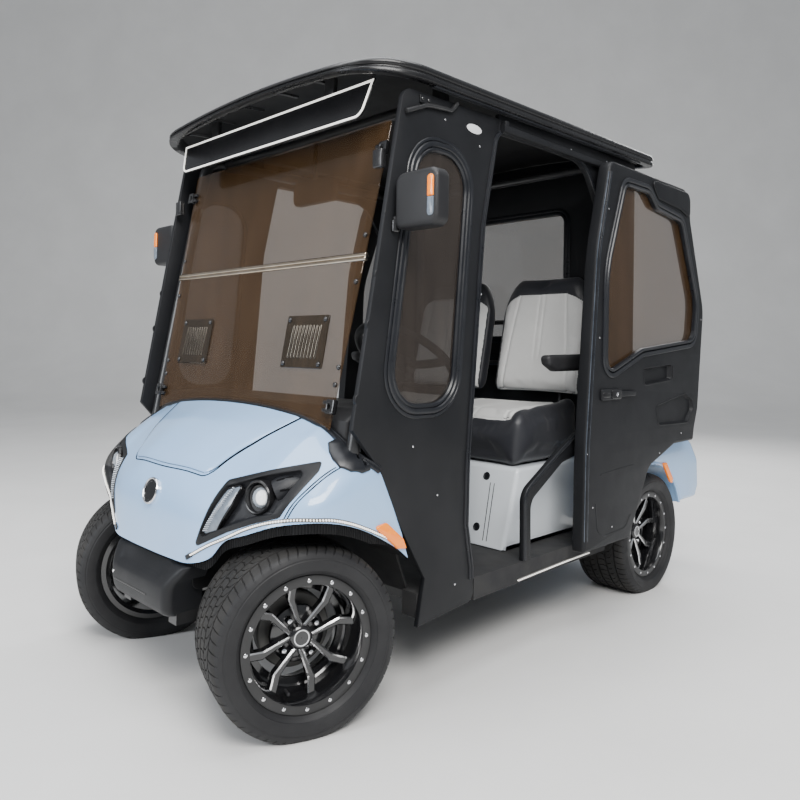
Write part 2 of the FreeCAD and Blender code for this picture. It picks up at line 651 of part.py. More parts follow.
def make_pillar_frame():
    """Two front pillars, roof side rails, rear posts and the cross tubes that join them."""
    foot = pillar_foot(1)
    low = (foot.x, foot.y, foot.z, 0)
    high = (foot.x, foot.y + WINDSHIELD_SLOPE * (PILLAR_TOP - foot.z), PILLAR_TOP, 70)
    rear_y = CAB_REAR - PANEL - PILLAR_RADIUS - 1
    back = (PILLAR_X, rear_y, PILLAR_TOP + 20, 90)
    end = (PILLAR_X, rear_y, REAR_BODY_TOP, 0)
    hoop = tube_along([low, high, back, end], PILLAR_RADIUS)
    pieces = [hoop, mirrored(hoop)]
    for y, z in ((FRONT_CROSS_Y, PILLAR_TOP + 2), (rear_y - 110, PILLAR_TOP + 18)):
        pieces.append(rod(V(-PILLAR_X, y, z), V(PILLAR_X, y, z), PILLAR_RADIUS - 3))
    roof = make_roof()
    for y in ROOF_POSTS_Y:
        post = box(PILLAR_X - 14, PILLAR_X + 14, y - 20, y + 20, PILLAR_TOP + 4, ROOF_EDGE_Z + 200)
        post = below_roof(post, roof)
        pieces += [post, mirrored(post)]
    return fuse(pieces)


DOORWAY_FRONT = FRONT_AXLE_Y + 482.0
DOORWAY_REAR = REAR_AXLE_Y - 358.0
DOORWAY_TOP = 1610.0
HEADER_FRONT = FRONT_AXLE_Y + 602.0


def doorway_y(share):
    """A place between the doorway's front and rear edges."""
    return DOORWAY_FRONT + share * (DOORWAY_REAR - DOORWAY_FRONT)


# side openings and outlines, side view (y, z, radius)
PILLAR_EDGE = from_axle([(485, 643), (540, 1320), (602, DOORWAY_TOP, 50)], FRONT_AXLE_Y)
DOORWAY = [(DOORWAY_FRONT, FLOOR_Z - 10), *PILLAR_EDGE, (REAR_AXLE_Y - 553, DOORWAY_TOP, 130),
           (REAR_AXLE_Y - 425, 1443, 260), (DOORWAY_REAR, 1140, 400), (REAR_AXLE_Y - 393, 770, 90),
           (doorway_y(0.58125), 622, 70), (doorway_y(0.34125), 515, 60), (doorway_y(0.34625), FLOOR_Z - 10)]
SIDE_PANEL = [*SIDE_FRONT_EDGE, *from_axle([(387, 226), (513, 236, 30), (508, 330)], FRONT_AXLE_Y),
              (DOORWAY_FRONT, 460), *PILLAR_EDGE, (HEADER_FRONT, 1650), (FRONT_AXLE_Y + 192, 1640, 40)]
SIDE_WINDOW = from_axle([(247, 1505, 95), (465, 1505, 110), (407, 800, 100), (147, 800, 100)], FRONT_AXLE_Y)


def make_side_panel():
    """The front side panel with its capsule window hole and double-bead gasket."""
    panel = side_prism(SIDE_PANEL, BODY_HALF - PANEL, BODY_HALF)
    hole = side_prism(SIDE_WINDOW, BODY_HALF - 2 * PANEL, BODY_HALF + 2 * PANEL)
    ring = offset_prism(SIDE_WINDOW, GASKET, BODY_HALF - PANEL / 2, BODY_HALF + GASKET_PROUD)
    return panel.fuse(ring).cut(hole).removeSplitter()


def make_side_windows():
    """The tinted panes of both capsule windows."""
    middle = BODY_HALF - PANEL / 2
    glass = offset_prism(SIDE_WINDOW, -0.2, middle - GLASS / 2, middle + GLASS / 2)
    return both_sides(glass)


TRACK_DEPTH = 18.0
TRACK_HIGH = (DOORWAY_TOP, DOORWAY_TOP + 22.0)
TRACK_Y = (FRONT_AXLE_Y + 607.0, REAR_AXLE_Y - 193.0)
HEADER_TOP = (ROOF_EDGE_Z + 9, ROOF_EDGE_Z + 27)


def make_door_frame():
    """The header, rear side panel and curved strut round a doorway, with the door's tracks."""
    front = HEADER_FRONT + HUB_GAP
    low = REAR_BODY_TOP + CLEARANCE
    outer = [(front, HEADER_TOP[0]), (CAB_REAR, HEADER_TOP[1], 40), (CAB_REAR, low, 60),
             (REAR_AXLE_Y - 363, low, 60), (doorway_y(0.61875), 586, 60), (doorway_y(0.39375), 482, 50),
             (doorway_y(0.39875), FLOOR_Z), (front, FLOOR_Z)]
    plate = side_prism(outer, BODY_HALF - PANEL, BODY_HALF)
    doorway = side_prism(DOORWAY, BODY_HALF - 2 * PANEL, BODY_HALF + 2 * PANEL)
    plate = plate.cut(doorway)
    track = box(BODY_HALF - 1, BODY_HALF + TRACK_DEPTH, *TRACK_Y, *TRACK_HIGH)
    return plate.fuse(track).removeSplitter()


# door outlines at rest, side view (y from the rear axle, z, radius)
DOOR = from_axle([(-638, DOOR_BOTTOM, 10), (-633, 640, 900), (-575, 1300, 900), (-488, 1622, 40),
                  (158, 1622, 70), (173, 1500, 60), (313, 1139, 160), (264, 730, 60), (233, 655, 20),
                  (221, 602, 8), (47, 600, 80), (-173, 530, 70), (-322, DOOR_BOTTOM, 10)], REAR_AXLE_Y)
DOOR_WINDOW = from_axle([(-391, 1560, 50), (-512, 1240, 400), (-516, 870, 50), (-245, 962, 80),
                         (213, 1006, 60), (236, 1169, 140), (82, 1490, 50), (-137, 1510, 60),
                         (-207, 1562, 50)], REAR_AXLE_Y)
DOOR_PAD = from_axle([(-193, 1606, 16), (-133, 1540, 26), (67, 1528, 30), (153, 1504, 20), (153, 1608, 40)],
                     REAR_AXLE_Y)
PAD_PROUD = 6.0
LATCH = (REAR_AXLE_Y - 549, REAR_AXLE_Y - 415, 793, 831)
LATCH_PROUD = 14.0
LEVER = (REAR_AXLE_Y - 420, REAR_AXLE_Y - 304, 802, 821)
LEVER_PROUD = 10.0
GRIP = from_axle([(-237, 900, 14), (5, 917, 14), (7, 852, 14), (-225, 836, 14)], REAR_AXLE_Y)
POCKET = from_axle([(-130, 758, 18), (132, 799, 40), (206, 772, 30), (214, 728, 30), (156, 677, 30),
                    (-104, 681, 22)], REAR_AXLE_Y)
POCKET_DEPTH = 9.0
GRIP_DEPTH = 14.0
HANGER_Y = (REAR_AXLE_Y - 443, REAR_AXLE_Y - 273)
HANGER_HALF = 20.0
HANGER_Z = (DOORWAY_TOP - 10, DOORWAY_TOP + 10)


def make_door_panel():
    """A sliding door with its window hole, gasket, raised top pad, latch, grip recess and hangers."""
    panel = side_prism(DOOR, DOOR_INNER, DOOR_OUTER)
    hole = side_prism(DOOR_WINDOW, DOOR_INNER - 5, DOOR_OUTER + 20)
    ring = offset_prism(DOOR_WINDOW, GASKET, DOOR_OUTER - 4, DOOR_OUTER + GASKET_PROUD)
    latch = box(DOOR_OUTER - 2, DOOR_OUTER + LATCH_PROUD, *LATCH)
    lever = box(DOOR_OUTER - 2, DOOR_OUTER + LEVER_PROUD, *LEVER)
    pad = side_prism(DOOR_PAD, DOOR_OUTER - 2, DOOR_OUTER + PAD_PROUD)
    hangers = []
    track_face = BODY_HALF + TRACK_DEPTH + HUB_GAP
    for y in HANGER_Y:
        hangers.append(box(track_face, DOOR_INNER + 2, y - HANGER_HALF, y + HANGER_HALF, *HANGER_Z))
    recess = side_prism(GRIP, DOOR_OUTER - GRIP_DEPTH, DOOR_OUTER + 1)
    pocket = side_prism(POCKET, DOOR_OUTER - POCKET_DEPTH, DOOR_OUTER + 1)
    return panel.fuse([ring, latch, lever, pad] + hangers).cut([hole, recess, pocket]).removeSplitter()


def make_door_window():
    """The tinted pane of a sliding door."""
    middle = (DOOR_INNER + DOOR_OUTER) / 2 + 8
    return offset_prism(DOOR_WINDOW, -0.2, middle - GLASS / 2, middle + GLASS / 2)


def roof_section(y, half, edge_z, rise, sink):
    """A closed roof cross-section at one Y: flat below, low sides and an arched top."""
    top = edge_z + ROOF_EDGE - sink
    points = (V(-half, y, edge_z), V(half, y, edge_z), V(half, y, top), V(0, y, top + rise), V(-half, y, top))
    edges = [Part.LineSegment(points[0], points[1]).toShape(),
             Part.LineSegment(points[1], points[2]).toShape(),
             Part.Arc(points[2], points[3], points[4]).toShape(),
             Part.LineSegment(points[4], points[0]).toShape()]
    return Part.Wire(edges)


# roof sections from front to rear: (y, half width, sink of the top edge)
ROOF_ROWS = [(ROOF_FRONT, ROOF_HALF - 162, 26.0), (ROOF_FRONT + 34, ROOF_HALF - 52, 8.0),
             (ROOF_FRONT + 90, ROOF_HALF, 0.0), (ROOF_REAR - 60, ROOF_HALF, 0.0),
             (ROOF_REAR, ROOF_HALF - 12, 12.0)]


def roof_edge_z(y):
    """Height of the roof's lower edge along the cart."""
    return ROOF_EDGE_Z + ROOF_RISE * (y - ROOF_FRONT) / (ROOF_REAR - ROOF_FRONT)


# ribs behind the roof's front lip
RIB_X = (430.0, 260.0, 90.0)
RIB_HALF = 6.0
RIB_LENGTH = 62.0
RIB_LIFT = 16.0


def make_roof():
    """A shallow arched roof moulding with a turned-down edge and ribs behind its front lip, open below."""
    outer = [roof_section(y, half, roof_edge_z(y), ROOF_CROWN, sink) for y, half, sink in ROOF_ROWS]
    inner = []
    for index, (y, half, sink) in enumerate(ROOF_ROWS):
        step = 26 if index == 0 else (-26 if index == len(ROOF_ROWS) - 1 else 0)
        section = roof_section(y + step, half - 30, roof_edge_z(y), ROOF_CROWN, sink + ROOF_SHELL)
        section.translate(V(0, 0, -0.01))
        inner.append(section)
    whole = Part.makeLoft(outer, True, True)
    shell = whole.cut(Part.makeLoft(inner, True, True))
    start = ROOF_FRONT + 34
    low = roof_edge_z(start) + RIB_LIFT
    ribs = []
    for x in RIB_X:
        rib = box(x - RIB_HALF, x + RIB_HALF, start, start + RIB_LENGTH, low, low + 2 * ROOF_EDGE)
        rib = rib.common(whole)
        ribs += [rib, mirrored(rib)]
    return shell.fuse(ribs).removeSplitter()


# visor corners, (y, z)
VISOR_TOP = (FRONT_AXLE_Y + 161.0, ROOF_EDGE_Z + 13.0)
VISOR_LOW = (FRONT_AXLE_Y + 135.0, ROOF_EDGE_Z - 93.0)
VISOR_HALF = ROOF_HALF - 102.0
VISOR_TAPER = 24.0
VISOR_CORNER = 34.0
VISOR_WALL = 6.0
VISOR_BRACKET_X = 300.0


def make_visor():
    """The dark panel under the roof's front lip."""
    top = VISOR_TOP
    low = VISOR_LOW
    points = [(V(-VISOR_HALF, top[0], top[1]), 0),
              (V(VISOR_TAPER - VISOR_HALF, low[0], low[1]), VISOR_CORNER),
              (V(VISOR_HALF - VISOR_TAPER, low[0], low[1]), VISOR_CORNER), (V(VISOR_HALF, top[0], top[1]), 0)]
    lean = (top[0] - low[0]) / (top[1] - low[1])
    panel = Part.Face(rounded_wire(points)).extrude(V(0, -VISOR_WALL, VISOR_WALL * lean))
    roof = make_roof()
    brackets = []
    for x in (-VISOR_BRACKET_X, VISOR_BRACKET_X):
        bracket = box(x - 20, x + 20, top[0] - 5, top[0] + 12, top[1] - 12, ROOF_EDGE_Z + 200)
        brackets.append(below_roof(bracket, roof))
    return fuse([panel] + brackets)


REAR_WINDOW_HALF = 275.0
REAR_WINDOW_Z = (1010.0, 1530.0)
REAR_WINDOW_CORNER = 45.0
REAR_GASKET = 17.0


def window_outline(grow):
    """The back window's outline, grown or shrunk, as (x, z, radius) rows."""
    half = REAR_WINDOW_HALF + grow
    low = REAR_WINDOW_Z[0] - grow
    high = REAR_WINDOW_Z[1] + grow
    corner = REAR_WINDOW_CORNER + grow
    return [(-half, low, corner), (half, low, corner), (half, high, corner), (-half, high, corner)]


def make_rear_panel():
    """The cab's back wall, up to the roof, with its window hole and the gasket round it."""
    half = BODY_HALF - PANEL - 0.2
    wall = box(-half, half, CAB_REAR - PANEL, CAB_REAR, REAR_BODY_TOP + HUB_GAP, ROOF_EDGE_Z + 200)
    wall = below_roof(wall, make_roof())
    ring = front_prism(window_outline(REAR_GASKET), CAB_REAR - PANEL / 2, CAB_REAR + GASKET_PROUD)
    hole = front_prism(window_outline(0), CAB_REAR - 3 * PANEL, CAB_REAR + 2 * PANEL)
    return wall.fuse(ring).cut(hole).removeSplitter()


def make_rear_window():
    """The tinted pane in the cab's back wall."""
    middle = CAB_REAR - PANEL / 2
    return front_prism(window_outline(-0.2), middle - GLASS / 2, middle + GLASS / 2)


SEAT_REAR = SEAT_FRONT + CUSHION_DEPTH
BASE_REAR = REAR_AXLE_Y - 348.0
POD_HOLE_X = 333.0
POD_HOLES_Z = (524.0, 358.0)
POD_HOLE_RADIUS = 10.0


def make_seat_base():
    """The painted pod under the seat, with round access holes in its front."""
    outline = [(SEAT_FRONT - 80, FLOOR_Z), (SEAT_FRONT + 4, SEAT_BASE_TOP, 16), (BASE_REAR, SEAT_BASE_TOP),
               (BASE_REAR, FLOOR_Z)]
    pod = side_prism(outline, -SEAT_HALF, SEAT_HALF)
    inner = offset_prism([row[:2] for row in outline], -8, -SEAT_HALF + 8, SEAT_HALF - 8)
    lid_room = box(-SEAT_HALF + 60, SEAT_HALF - 60, SEAT_FRONT + 60, BASE_REAR - 60, 400, 700)
    holes = []
    for x in (-POD_HOLE_X, POD_HOLE_X):
        for z in POD_HOLES_Z:
            holes.append(Part.makeCylinder(POD_HOLE_RADIUS, 100, V(x, SEAT_FRONT - 100, z), Y_AXIS))
    return pod.cut([inner, lid_room] + holes)


def make_seat_cushion():
    """The long seat cushion, which tips forward about its front edge."""
    z0 = SEAT_BASE_TOP + SEAT_GAP
    outline = [(SEAT_FRONT, z0, 14), (SEAT_FRONT + 8, z0 + CUSHION_THICKNESS, 50),
               (SEAT_REAR, z0 + CUSHION_THICKNESS + 26, 40), (SEAT_REAR, z0, 10)]
    return side_prism(outline, -SEAT_HALF, SEAT_HALF)


def make_seat_backs():
    """Two separate padded backs, leaning rearwards."""
    outline = [(BACK_FRONT, BACK_BOTTOM, 30), (BACK_FRONT + BACK_LEAN, BACK_TOP, 44),
               (BACK_FRONT + BACK_LEAN + BACK_THICKNESS, BACK_TOP, 20),
               (BACK_FRONT + BACK_THICKNESS + 14, BACK_BOTTOM, 20)]
    inner = BACK_GAP_HALF
    outer = BACK_GAP_HALF + BACK_WIDTH
    centre = (inner + outer) / 2
    crown = BACK_WIDTH * 0.36
    plan = front_prism([(inner, BACK_BOTTOM, 30), (outer, BACK_BOTTOM, 30), (outer, BACK_TOP - 170, 300),
                        (centre + crown, BACK_TOP, 70), (centre - crown, BACK_TOP, 70),
                        (inner, BACK_TOP - 170, 300)],
                       BACK_FRONT - 60, BACK_FRONT + 400)
    return both_sides(side_prism(outline, inner, outer).common(plan))


ARM_SIDE = 31.0
ARM_X = SEAT_HALF + ARM_SIDE
ARM_WIDTH = 44.0
ARM_Z = (886.0, 950.0)
ARM_TUBE_Z = 905.0
FRAME_RADIUS = 10.0
ARM_Y = (REAR_AXLE_Y - 669.0, REAR_AXLE_Y - 393.0)
POST_X = SEAT_HALF - 155.0
POST_TOP = 1110.0
POST_BAR_Z = 1080.0
POST_BAR_OVERHANG = 30.0


def back_rear_y(z):
    """Where the seat backs' rear face stands at a height."""
    low = BACK_FRONT + BACK_THICKNESS + 14
    lean = (BACK_LEAN - 14) / (BACK_TOP - BACK_BOTTOM)
    return low + lean * (z - BACK_BOTTOM)


def make_seat_frame():
    """Leaning posts and bars behind the seat backs, with the tubes that hold the arm rests."""
    def at(x, z):
        return V(x, back_rear_y(z) + FRAME_RADIUS + 1.6, z)
    pieces = []
    for side in (1, -1):
        foot = at(side * POST_X, REAR_BODY_TOP + 2.2)
        pieces.append(rod(foot, at(side * POST_X, POST_TOP), FRAME_RADIUS + 1))
        elbow = at(side * ARM_X, ARM_TUBE_Z)
        pieces.append(rod(V(elbow.x, ARM_Y[1] - 60, elbow.z), elbow, FRAME_RADIUS))
    for z, reach in ((ARM_TUBE_Z, ARM_X), (POST_BAR_Z, POST_X + POST_BAR_OVERHANG)):
        pieces.append(rod(at(-reach, z), at(reach, z), FRAME_RADIUS))
    return fuse(pieces)


def make_arm_rests():
    """Padded hip restraints at both ends of the seat."""
    outline = [(ARM_Y[0], ARM_Z[1] - 6, 20), (ARM_Y[0] + 10, ARM_Z[1] - 40, 14),
               (ARM_Y[0] + 60, ARM_Z[0], 20), (ARM_Y[1], ARM_Z[0] + 4, 10), (ARM_Y[1], ARM_Z[1], 10)]
    pad = side_prism(outline, ARM_X - ARM_WIDTH / 2, ARM_X + ARM_WIDTH / 2)
    start = V(ARM_X, ARM_Y[1] - 60 - HUB_GAP, ARM_TUBE_Z)
    sleeve = Part.makeCylinder(FRAME_RADIUS + HUB_GAP, 400, start, Y_AXIS)
    return both_sides(pad.cut(sleeve))


def steering_axis():
    """Direction of the steering column, towards the driver."""
    tilt = math.radians(STEERING_TILT)
    return V(0, math.cos(tilt), math.sin(tilt))


def steering_centre():
    """Middle of the steering wheel's rim."""
    return V(STEERING_X, STEERING_Y, STEERING_Z)


DASH_FACE_Y = FRONT_AXLE_Y + 347.0
# the dash's rounded top and face, (y from the front axle, z, radius)
DASH_TOP = [(117, 800, 20), (297, 806, 30), (341, 776, 26), (347, 676, 30)]
# round dials on the driver's side, (x, z, radius)
DIALS = [(128, 742, 17), (332, 742, 17), (60, 735, 11)]
DIAL_PROUD = 6.0


def make_dashboard():
    """The dash under the windshield, with the steering column's tube."""
    half = PILLAR_X - PILLAR_RADIUS - 8
    outline = [(COWL_REAR + 2, 730), (COWL_REAR + 6, 770, 6), *from_axle(DASH_TOP, FRONT_AXLE_Y),
               (DASH_FACE_Y - 40, TOE_TOP_Z, 10), (COWL_REAR + 2, TOE_TOP_Z)]
    dash = side_prism(outline, -half, half)
    pocket = box(-half + 40, -60, DASH_FACE_Y - 60, DASH_FACE_Y + 40, 700, 760)
    dials = [Part.makeCylinder(radius, DIAL_PROUD, V(x, DASH_FACE_Y - 4, z), Y_AXIS)
             for x, z, radius in DIALS]
    axis = steering_axis()
    top = steering_centre() - axis * 62
    column = rod(top - axis * COLUMN_LENGTH, top, COLUMN_RADIUS)
    ahead = side_prism([(FLOOR_FRONT, RAIL_TOP), (FLOOR_FRONT, FLOOR_Z), (TOE_TOP_Y + 8, TOE_TOP_Z),
                        (TOE_TOP_Y - 200, TOE_TOP_Z), (TOE_TOP_Y - 200, RAIL_TOP)], 0, BODY_HALF)
    return dash.cut(pocket).fuse(dials + [column.cut(ahead)]).removeSplitter()


def make_steering_wheel():
    """Rim, three spokes and boss of the steering wheel, with its stub in the column."""
    centre = steering_centre()
    axis = steering_axis()
    ring = Part.makeTorus(STEERING_RADIUS, STEERING_GRIP, V(0, 0, 0), Z_AXIS)
    boss = Part.makeCylinder(46, 40, V(0, 0, -48), Z_AXIS)
    neck = Part.makeCylinder(20, 22, V(0, 0, -62 + HUB_GAP), Z_AXIS)
    pieces = [ring, boss, neck]
    for angle in (0, 180, 270):
        spoke = box(30, STEERING_RADIUS, -16, 16, -20, -8)
        spoke.rotate(V(0, 0, 0), Y_AXIS, -4)
        pieces.append(turned(spoke, V(0, 0, 0), Z_AXIS, angle))
    wheel = fuse(pieces)
    wheel.Placement = FreeCAD.Placement(centre, FreeCAD.Rotation(Z_AXIS, axis))
    return wheel


def toe_y(z):
    """Where the toe board's upper face stands at a height."""
    return FLOOR_FRONT + (TOE_TOP_Y + 8 - FLOOR_FRONT) * (z - FLOOR_Z) / (TOE_TOP_Z - FLOOR_Z)


def make_pedals():
    """Accelerator and brake pedals on arms from the toe board."""
    pieces = []
    foot_z = FLOOR_Z + 45
    foot_y = toe_y(foot_z) + 6
    floor = make_floor_pan()
    for x, width in ((330, 60), (225, 90)):
        lean = [(foot_y, foot_z), (foot_y + 70, foot_z + 20), (foot_y + 22, foot_z + 150),
                (foot_y + 8, foot_z + 146), (foot_y + 46, foot_z + 30), (foot_y - 16, foot_z + 14)]
        pieces.append(side_prism(lean, x - width / 2, x + width / 2).cut(floor))
    return Part.Compound(pieces)


REAR_BODY_TOP = 640.0
REAR_ARCH = 276.0
WELL_FLOOR = 404.0
REAR_BODY_BOTTOM = 330.0
REAR_BODY_SKIN = 7.0
# rear body side view, (y, z, radius)
REAR_BODY = [(BASE_REAR + 1, REAR_BODY_BOTTOM), (BASE_REAR + 1, REAR_BODY_TOP, 10),
             *from_axle([(67, REAR_BODY_TOP, 200), (367, 590, 90), (447, 500, 60), (457, 380, 30),
                         (427, REAR_BODY_BOTTOM, 20)], REAR_AXLE_Y)]
WELL_HALF = 312.0
WELL_SHEET = 6.0
WELL_FRONT = REAR_AXLE_Y - 141.0
WELL_REAR = REAR_AXLE_Y + 399.0


def make_rear_body():
    """The painted rear body: fenders over the wheels and the open bag well between them."""
    body = side_prism(REAR_BODY, -BODY_HALF, BODY_HALF)
    room = BODY_HALF - REAR_BODY_SKIN
    inner = offset_prism(REAR_BODY, -REAR_BODY_SKIN, -room, room)
    outer = WELL_HALF + WELL_SHEET
    walls = box(-outer, outer, WELL_FRONT - WELL_SHEET, WELL_REAR + WELL_SHEET,
                WELL_FLOOR, REAR_BODY_TOP + 60)
    well = box(-WELL_HALF, WELL_HALF, WELL_FRONT, WELL_REAR, WELL_FLOOR + WELL_SHEET, REAR_BODY_TOP + 260)
    hollow = inner.cut(walls)
    under = box(-room, room, BASE_REAR + 1 + REAR_BODY_SKIN, WELL_REAR + 20, 200, WELL_FLOOR)
    cuts = [hollow, well, under]
    for side in (1, -1):
        low = V(side * (WELL_HALF + 10), REAR_AXLE_Y, TYRE_RADIUS)
        cuts.append(Part.makeCylinder(REAR_ARCH, BODY_HALF, low, V(side, 0, 0)))
    return body.cut(cuts)


REAR_BUMPER_HALF = 340.0
BUMPER_BAR = 34.0
BUMPER_BAR_HEIGHT = 80.0
HITCH_SPACING_X = 120.0
HITCH_SPACING_Z = 40.0
HITCH_HOLE_RADIUS = 5.25


def make_rear_bumper():
    """The rear bumper on two brackets from the chassis rails."""
    half = REAR_BUMPER_HALF
    front = REAR_Y - BUMPER_BAR
    outline = [(-half, front, 8), (-half, REAR_Y, 30), (half, REAR_Y, 30), (half, front, 8)]
    bar = plan_prism(outline, RAIL_TOP - 20, RAIL_TOP - 20 + BUMPER_BAR_HEIGHT)
    brackets = []
    for side in (1, -1):
        x = side * (RAIL_X - RAIL_WIDTH / 2)
        brackets.append(box(x - 12, x + 12, REAR_Y - 90, front + 4, RAIL_TOP - 10, RAIL_TOP + 30))
    holes = []
    for x in (-HITCH_SPACING_X / 2, HITCH_SPACING_X / 2):
        for z in (-HITCH_SPACING_Z / 2, HITCH_SPACING_Z / 2):
            low = V(x, REAR_Y - BUMPER_BAR - 20, RAIL_TOP + BUMPER_BAR_HEIGHT / 2 - 20 + z)
            holes.append(Part.makeCylinder(HITCH_HOLE_RADIUS, BUMPER_BAR + 40, low, Y_AXIS))
    return fuse([bar] + brackets).cut(holes)


TAIL_X = BODY_HALF - 120.0
TAIL_Z = 500.0
TAIL_RADIUS = 38.0
TAIL_LENGTH = 22.0
TAIL_FRONT = REAR_AXLE_Y + 435.0


def make_tail_lamps():
    """Round red lamps on the rear body."""
    lamps = []
    for side in (1, -1):
        start = V(side * TAIL_X, TAIL_FRONT, TAIL_Z)
        lamps.append(Part.makeCylinder(TAIL_RADIUS, TAIL_LENGTH, start, Y_AXIS))
    return Part.Compound([lamp.cut(side_prism(REAR_BODY, -BODY_HALF, BODY_HALF)) for lamp in lamps])


def make_rear_drive():
    """Engine and transaxle as one block, axle tubes, shafts and flanges for the rear wheels."""
    y0 = REAR_AXLE_Y - DRIVE_AHEAD
    half = RAIL_X - RAIL_WIDTH - 0.5
    block = box(-half, half, y0, y0 + DRIVE_LENGTH, DRIVE_BOTTOM, DRIVE_TOP)
    tube_end = REAR_HALF_TRACK - 70
    face = REAR_HALF_TRACK - RIM_DISC_THICKNESS - HUB_GAP
    pieces = [block]
    for end, radius in ((tube_end, AXLE_TUBE_RADIUS), (face, SHAFT_RADIUS)):
        pieces.append(rod(V(-end, REAR_AXLE_Y, TYRE_RADIUS), V(end, REAR_AXLE_Y, TYRE_RADIUS), radius))
    for side in (1, -1):
        low = V(side * (face - 14), REAR_AXLE_Y, TYRE_RADIUS)
        pieces.append(Part.makeCylinder(HUB_RADIUS + 20, 14, low, V(side, 0, 0)))
        spring = V(side * SPRING_X, REAR_AXLE_Y, TYRE_RADIUS + 20)
        pieces.append(rod(spring, V(spring.x, spring.y, WELL_FLOOR), SPRING_RADIUS))
    return fuse(pieces)


def make_front_axle():
    """Axle beam with a yoke at each kingpin and two spring struts up to the body."""
    z = TYRE_RADIUS
    beam_end = KINGPIN_X - YOKE_RADIUS
    beam = box(-beam_end, beam_end, FRONT_AXLE_Y - AXLE_HALF_DEPTH, FRONT_AXLE_Y + AXLE_HALF_DEPTH,
               z - AXLE_HALF_HEIGHT, z + AXLE_HALF_HEIGHT)
    pieces = [beam]
    for side in (1, -1):
        x = side * KINGPIN_X
        for low in (z + KINGPIN_HEIGHT / 2 - YOKE_THICKNESS, z - KINGPIN_HEIGHT / 2):
            eye = Part.makeCylinder(YOKE_RADIUS, YOKE_THICKNESS, V(x, FRONT_AXLE_Y, low))
            arm = box(min(x, x - side * 74), max(x, x - side * 74), FRONT_AXLE_Y - 16, FRONT_AXLE_Y + 16, low,
                      low + YOKE_THICKNESS)
            pieces += [eye, arm]
        back = box(min(x - side * 56, x - side * 74), max(x - side * 56, x - side * 74), FRONT_AXLE_Y - 16,
                   FRONT_AXLE_Y + 16, z - KINGPIN_HEIGHT / 2, z + KINGPIN_HEIGHT / 2)
        pieces.append(back)
    solid = fuse(pieces)
    bores = []
    for side in (1, -1):
        start = V(side * KINGPIN_X, FRONT_AXLE_Y, z - 200)
        bores.append(Part.makeCylinder(KINGPIN_RADIUS + RUNNING_GAP, 400, start))
        slot = box(side * KINGPIN_X - 40, side * KINGPIN_X + 40, FRONT_AXLE_Y - 60, FRONT_AXLE_Y + 60,
                   z - KINGPIN_HEIGHT / 2 + YOKE_THICKNESS, z + KINGPIN_HEIGHT / 2 - YOKE_THICKNESS)
        bores.append(slot)
    return solid.cut(bores)


def make_knuckle(name):
    """Kingpin, hub and steering arm that carry a front wheel."""
    side = 1 if name.endswith("left") else -1
    z = TYRE_RADIUS
    half = KINGPIN_HEIGHT / 2
    pin = Part.makeCylinder(KINGPIN_RADIUS, KINGPIN_HEIGHT + 8, V(0, 0, -half - 4))
    clear = half - YOKE_THICKNESS - 0.5
    body = Part.makeCylinder(YOKE_RADIUS + 3, 2 * clear, V(0, 0, -clear))
    face = WHEEL_OFFSET - RIM_DISC_THICKNESS - HUB_GAP
    hub = Part.makeCylinder(HUB_RADIUS, 12, V(face - 12, 0, 0), X_AXIS)
    spindle = Part.makeCylinder(20, face, V(0, 0, 0), X_AXIS)
    arm = box(-13, 13, 0, STEER_ARM, -STEER_ARM_DROP - 8, -STEER_ARM_DROP + 4)
    eye = Part.makeCylinder(13, 12, V(0, STEER_ARM, -STEER_ARM_DROP - 8))
    knuckle = fuse([pin, body, hub, spindle, arm, eye])
    if side < 0:
        knuckle = mirrored(knuckle)
    turn = STEER_LEFT if side > 0 else STEER_RIGHT
    knuckle.rotate(V(0, 0, 0), Z_AXIS, turn)
    knuckle.translate(V(side * KINGPIN_X, FRONT_AXLE_Y, z))
    return knuckle


def arm_end(side):
    """Where a steering arm's eye is at rest."""
    angle = math.radians(STEER_LEFT if side > 0 else STEER_RIGHT)
    height = TYRE_RADIUS - STEER_ARM_DROP - 8 - HUB_GAP
    reach = V(-math.sin(angle), math.cos(angle), 0) * STEER_ARM
    return V(side * KINGPIN_X, FRONT_AXLE_Y, height) + reach


def make_tie_rod():
    """The rod that joins the steering arms, running under them."""
    left = arm_end(1)
    right = arm_end(-1)
    y = (left.y + right.y) / 2
    z = left.z - 12
    bar = rod(V(right.x, y, z - 3), V(left.x, y, z - 3), TIE_ROD_RADIUS)
    ends = []
    for x in (left.x, right.x):
        ends.append(Part.makeCylinder(15, 12, V(x, y, z)))
    return fuse([bar] + ends)


MIRROR_CENTRE = V(BODY_HALF + 82, FRONT_AXLE_Y + 175, 1330)
MIRROR_HALF = 72.0
MIRROR_DEPTH = 24.0
MIRROR_LAMP_X = 19.0
MIRROR_LAMP_HALF = 10.0
MIRROR_LAMP_REACH = 52.0
MIRROR_LAMP_PROUD = 4.0


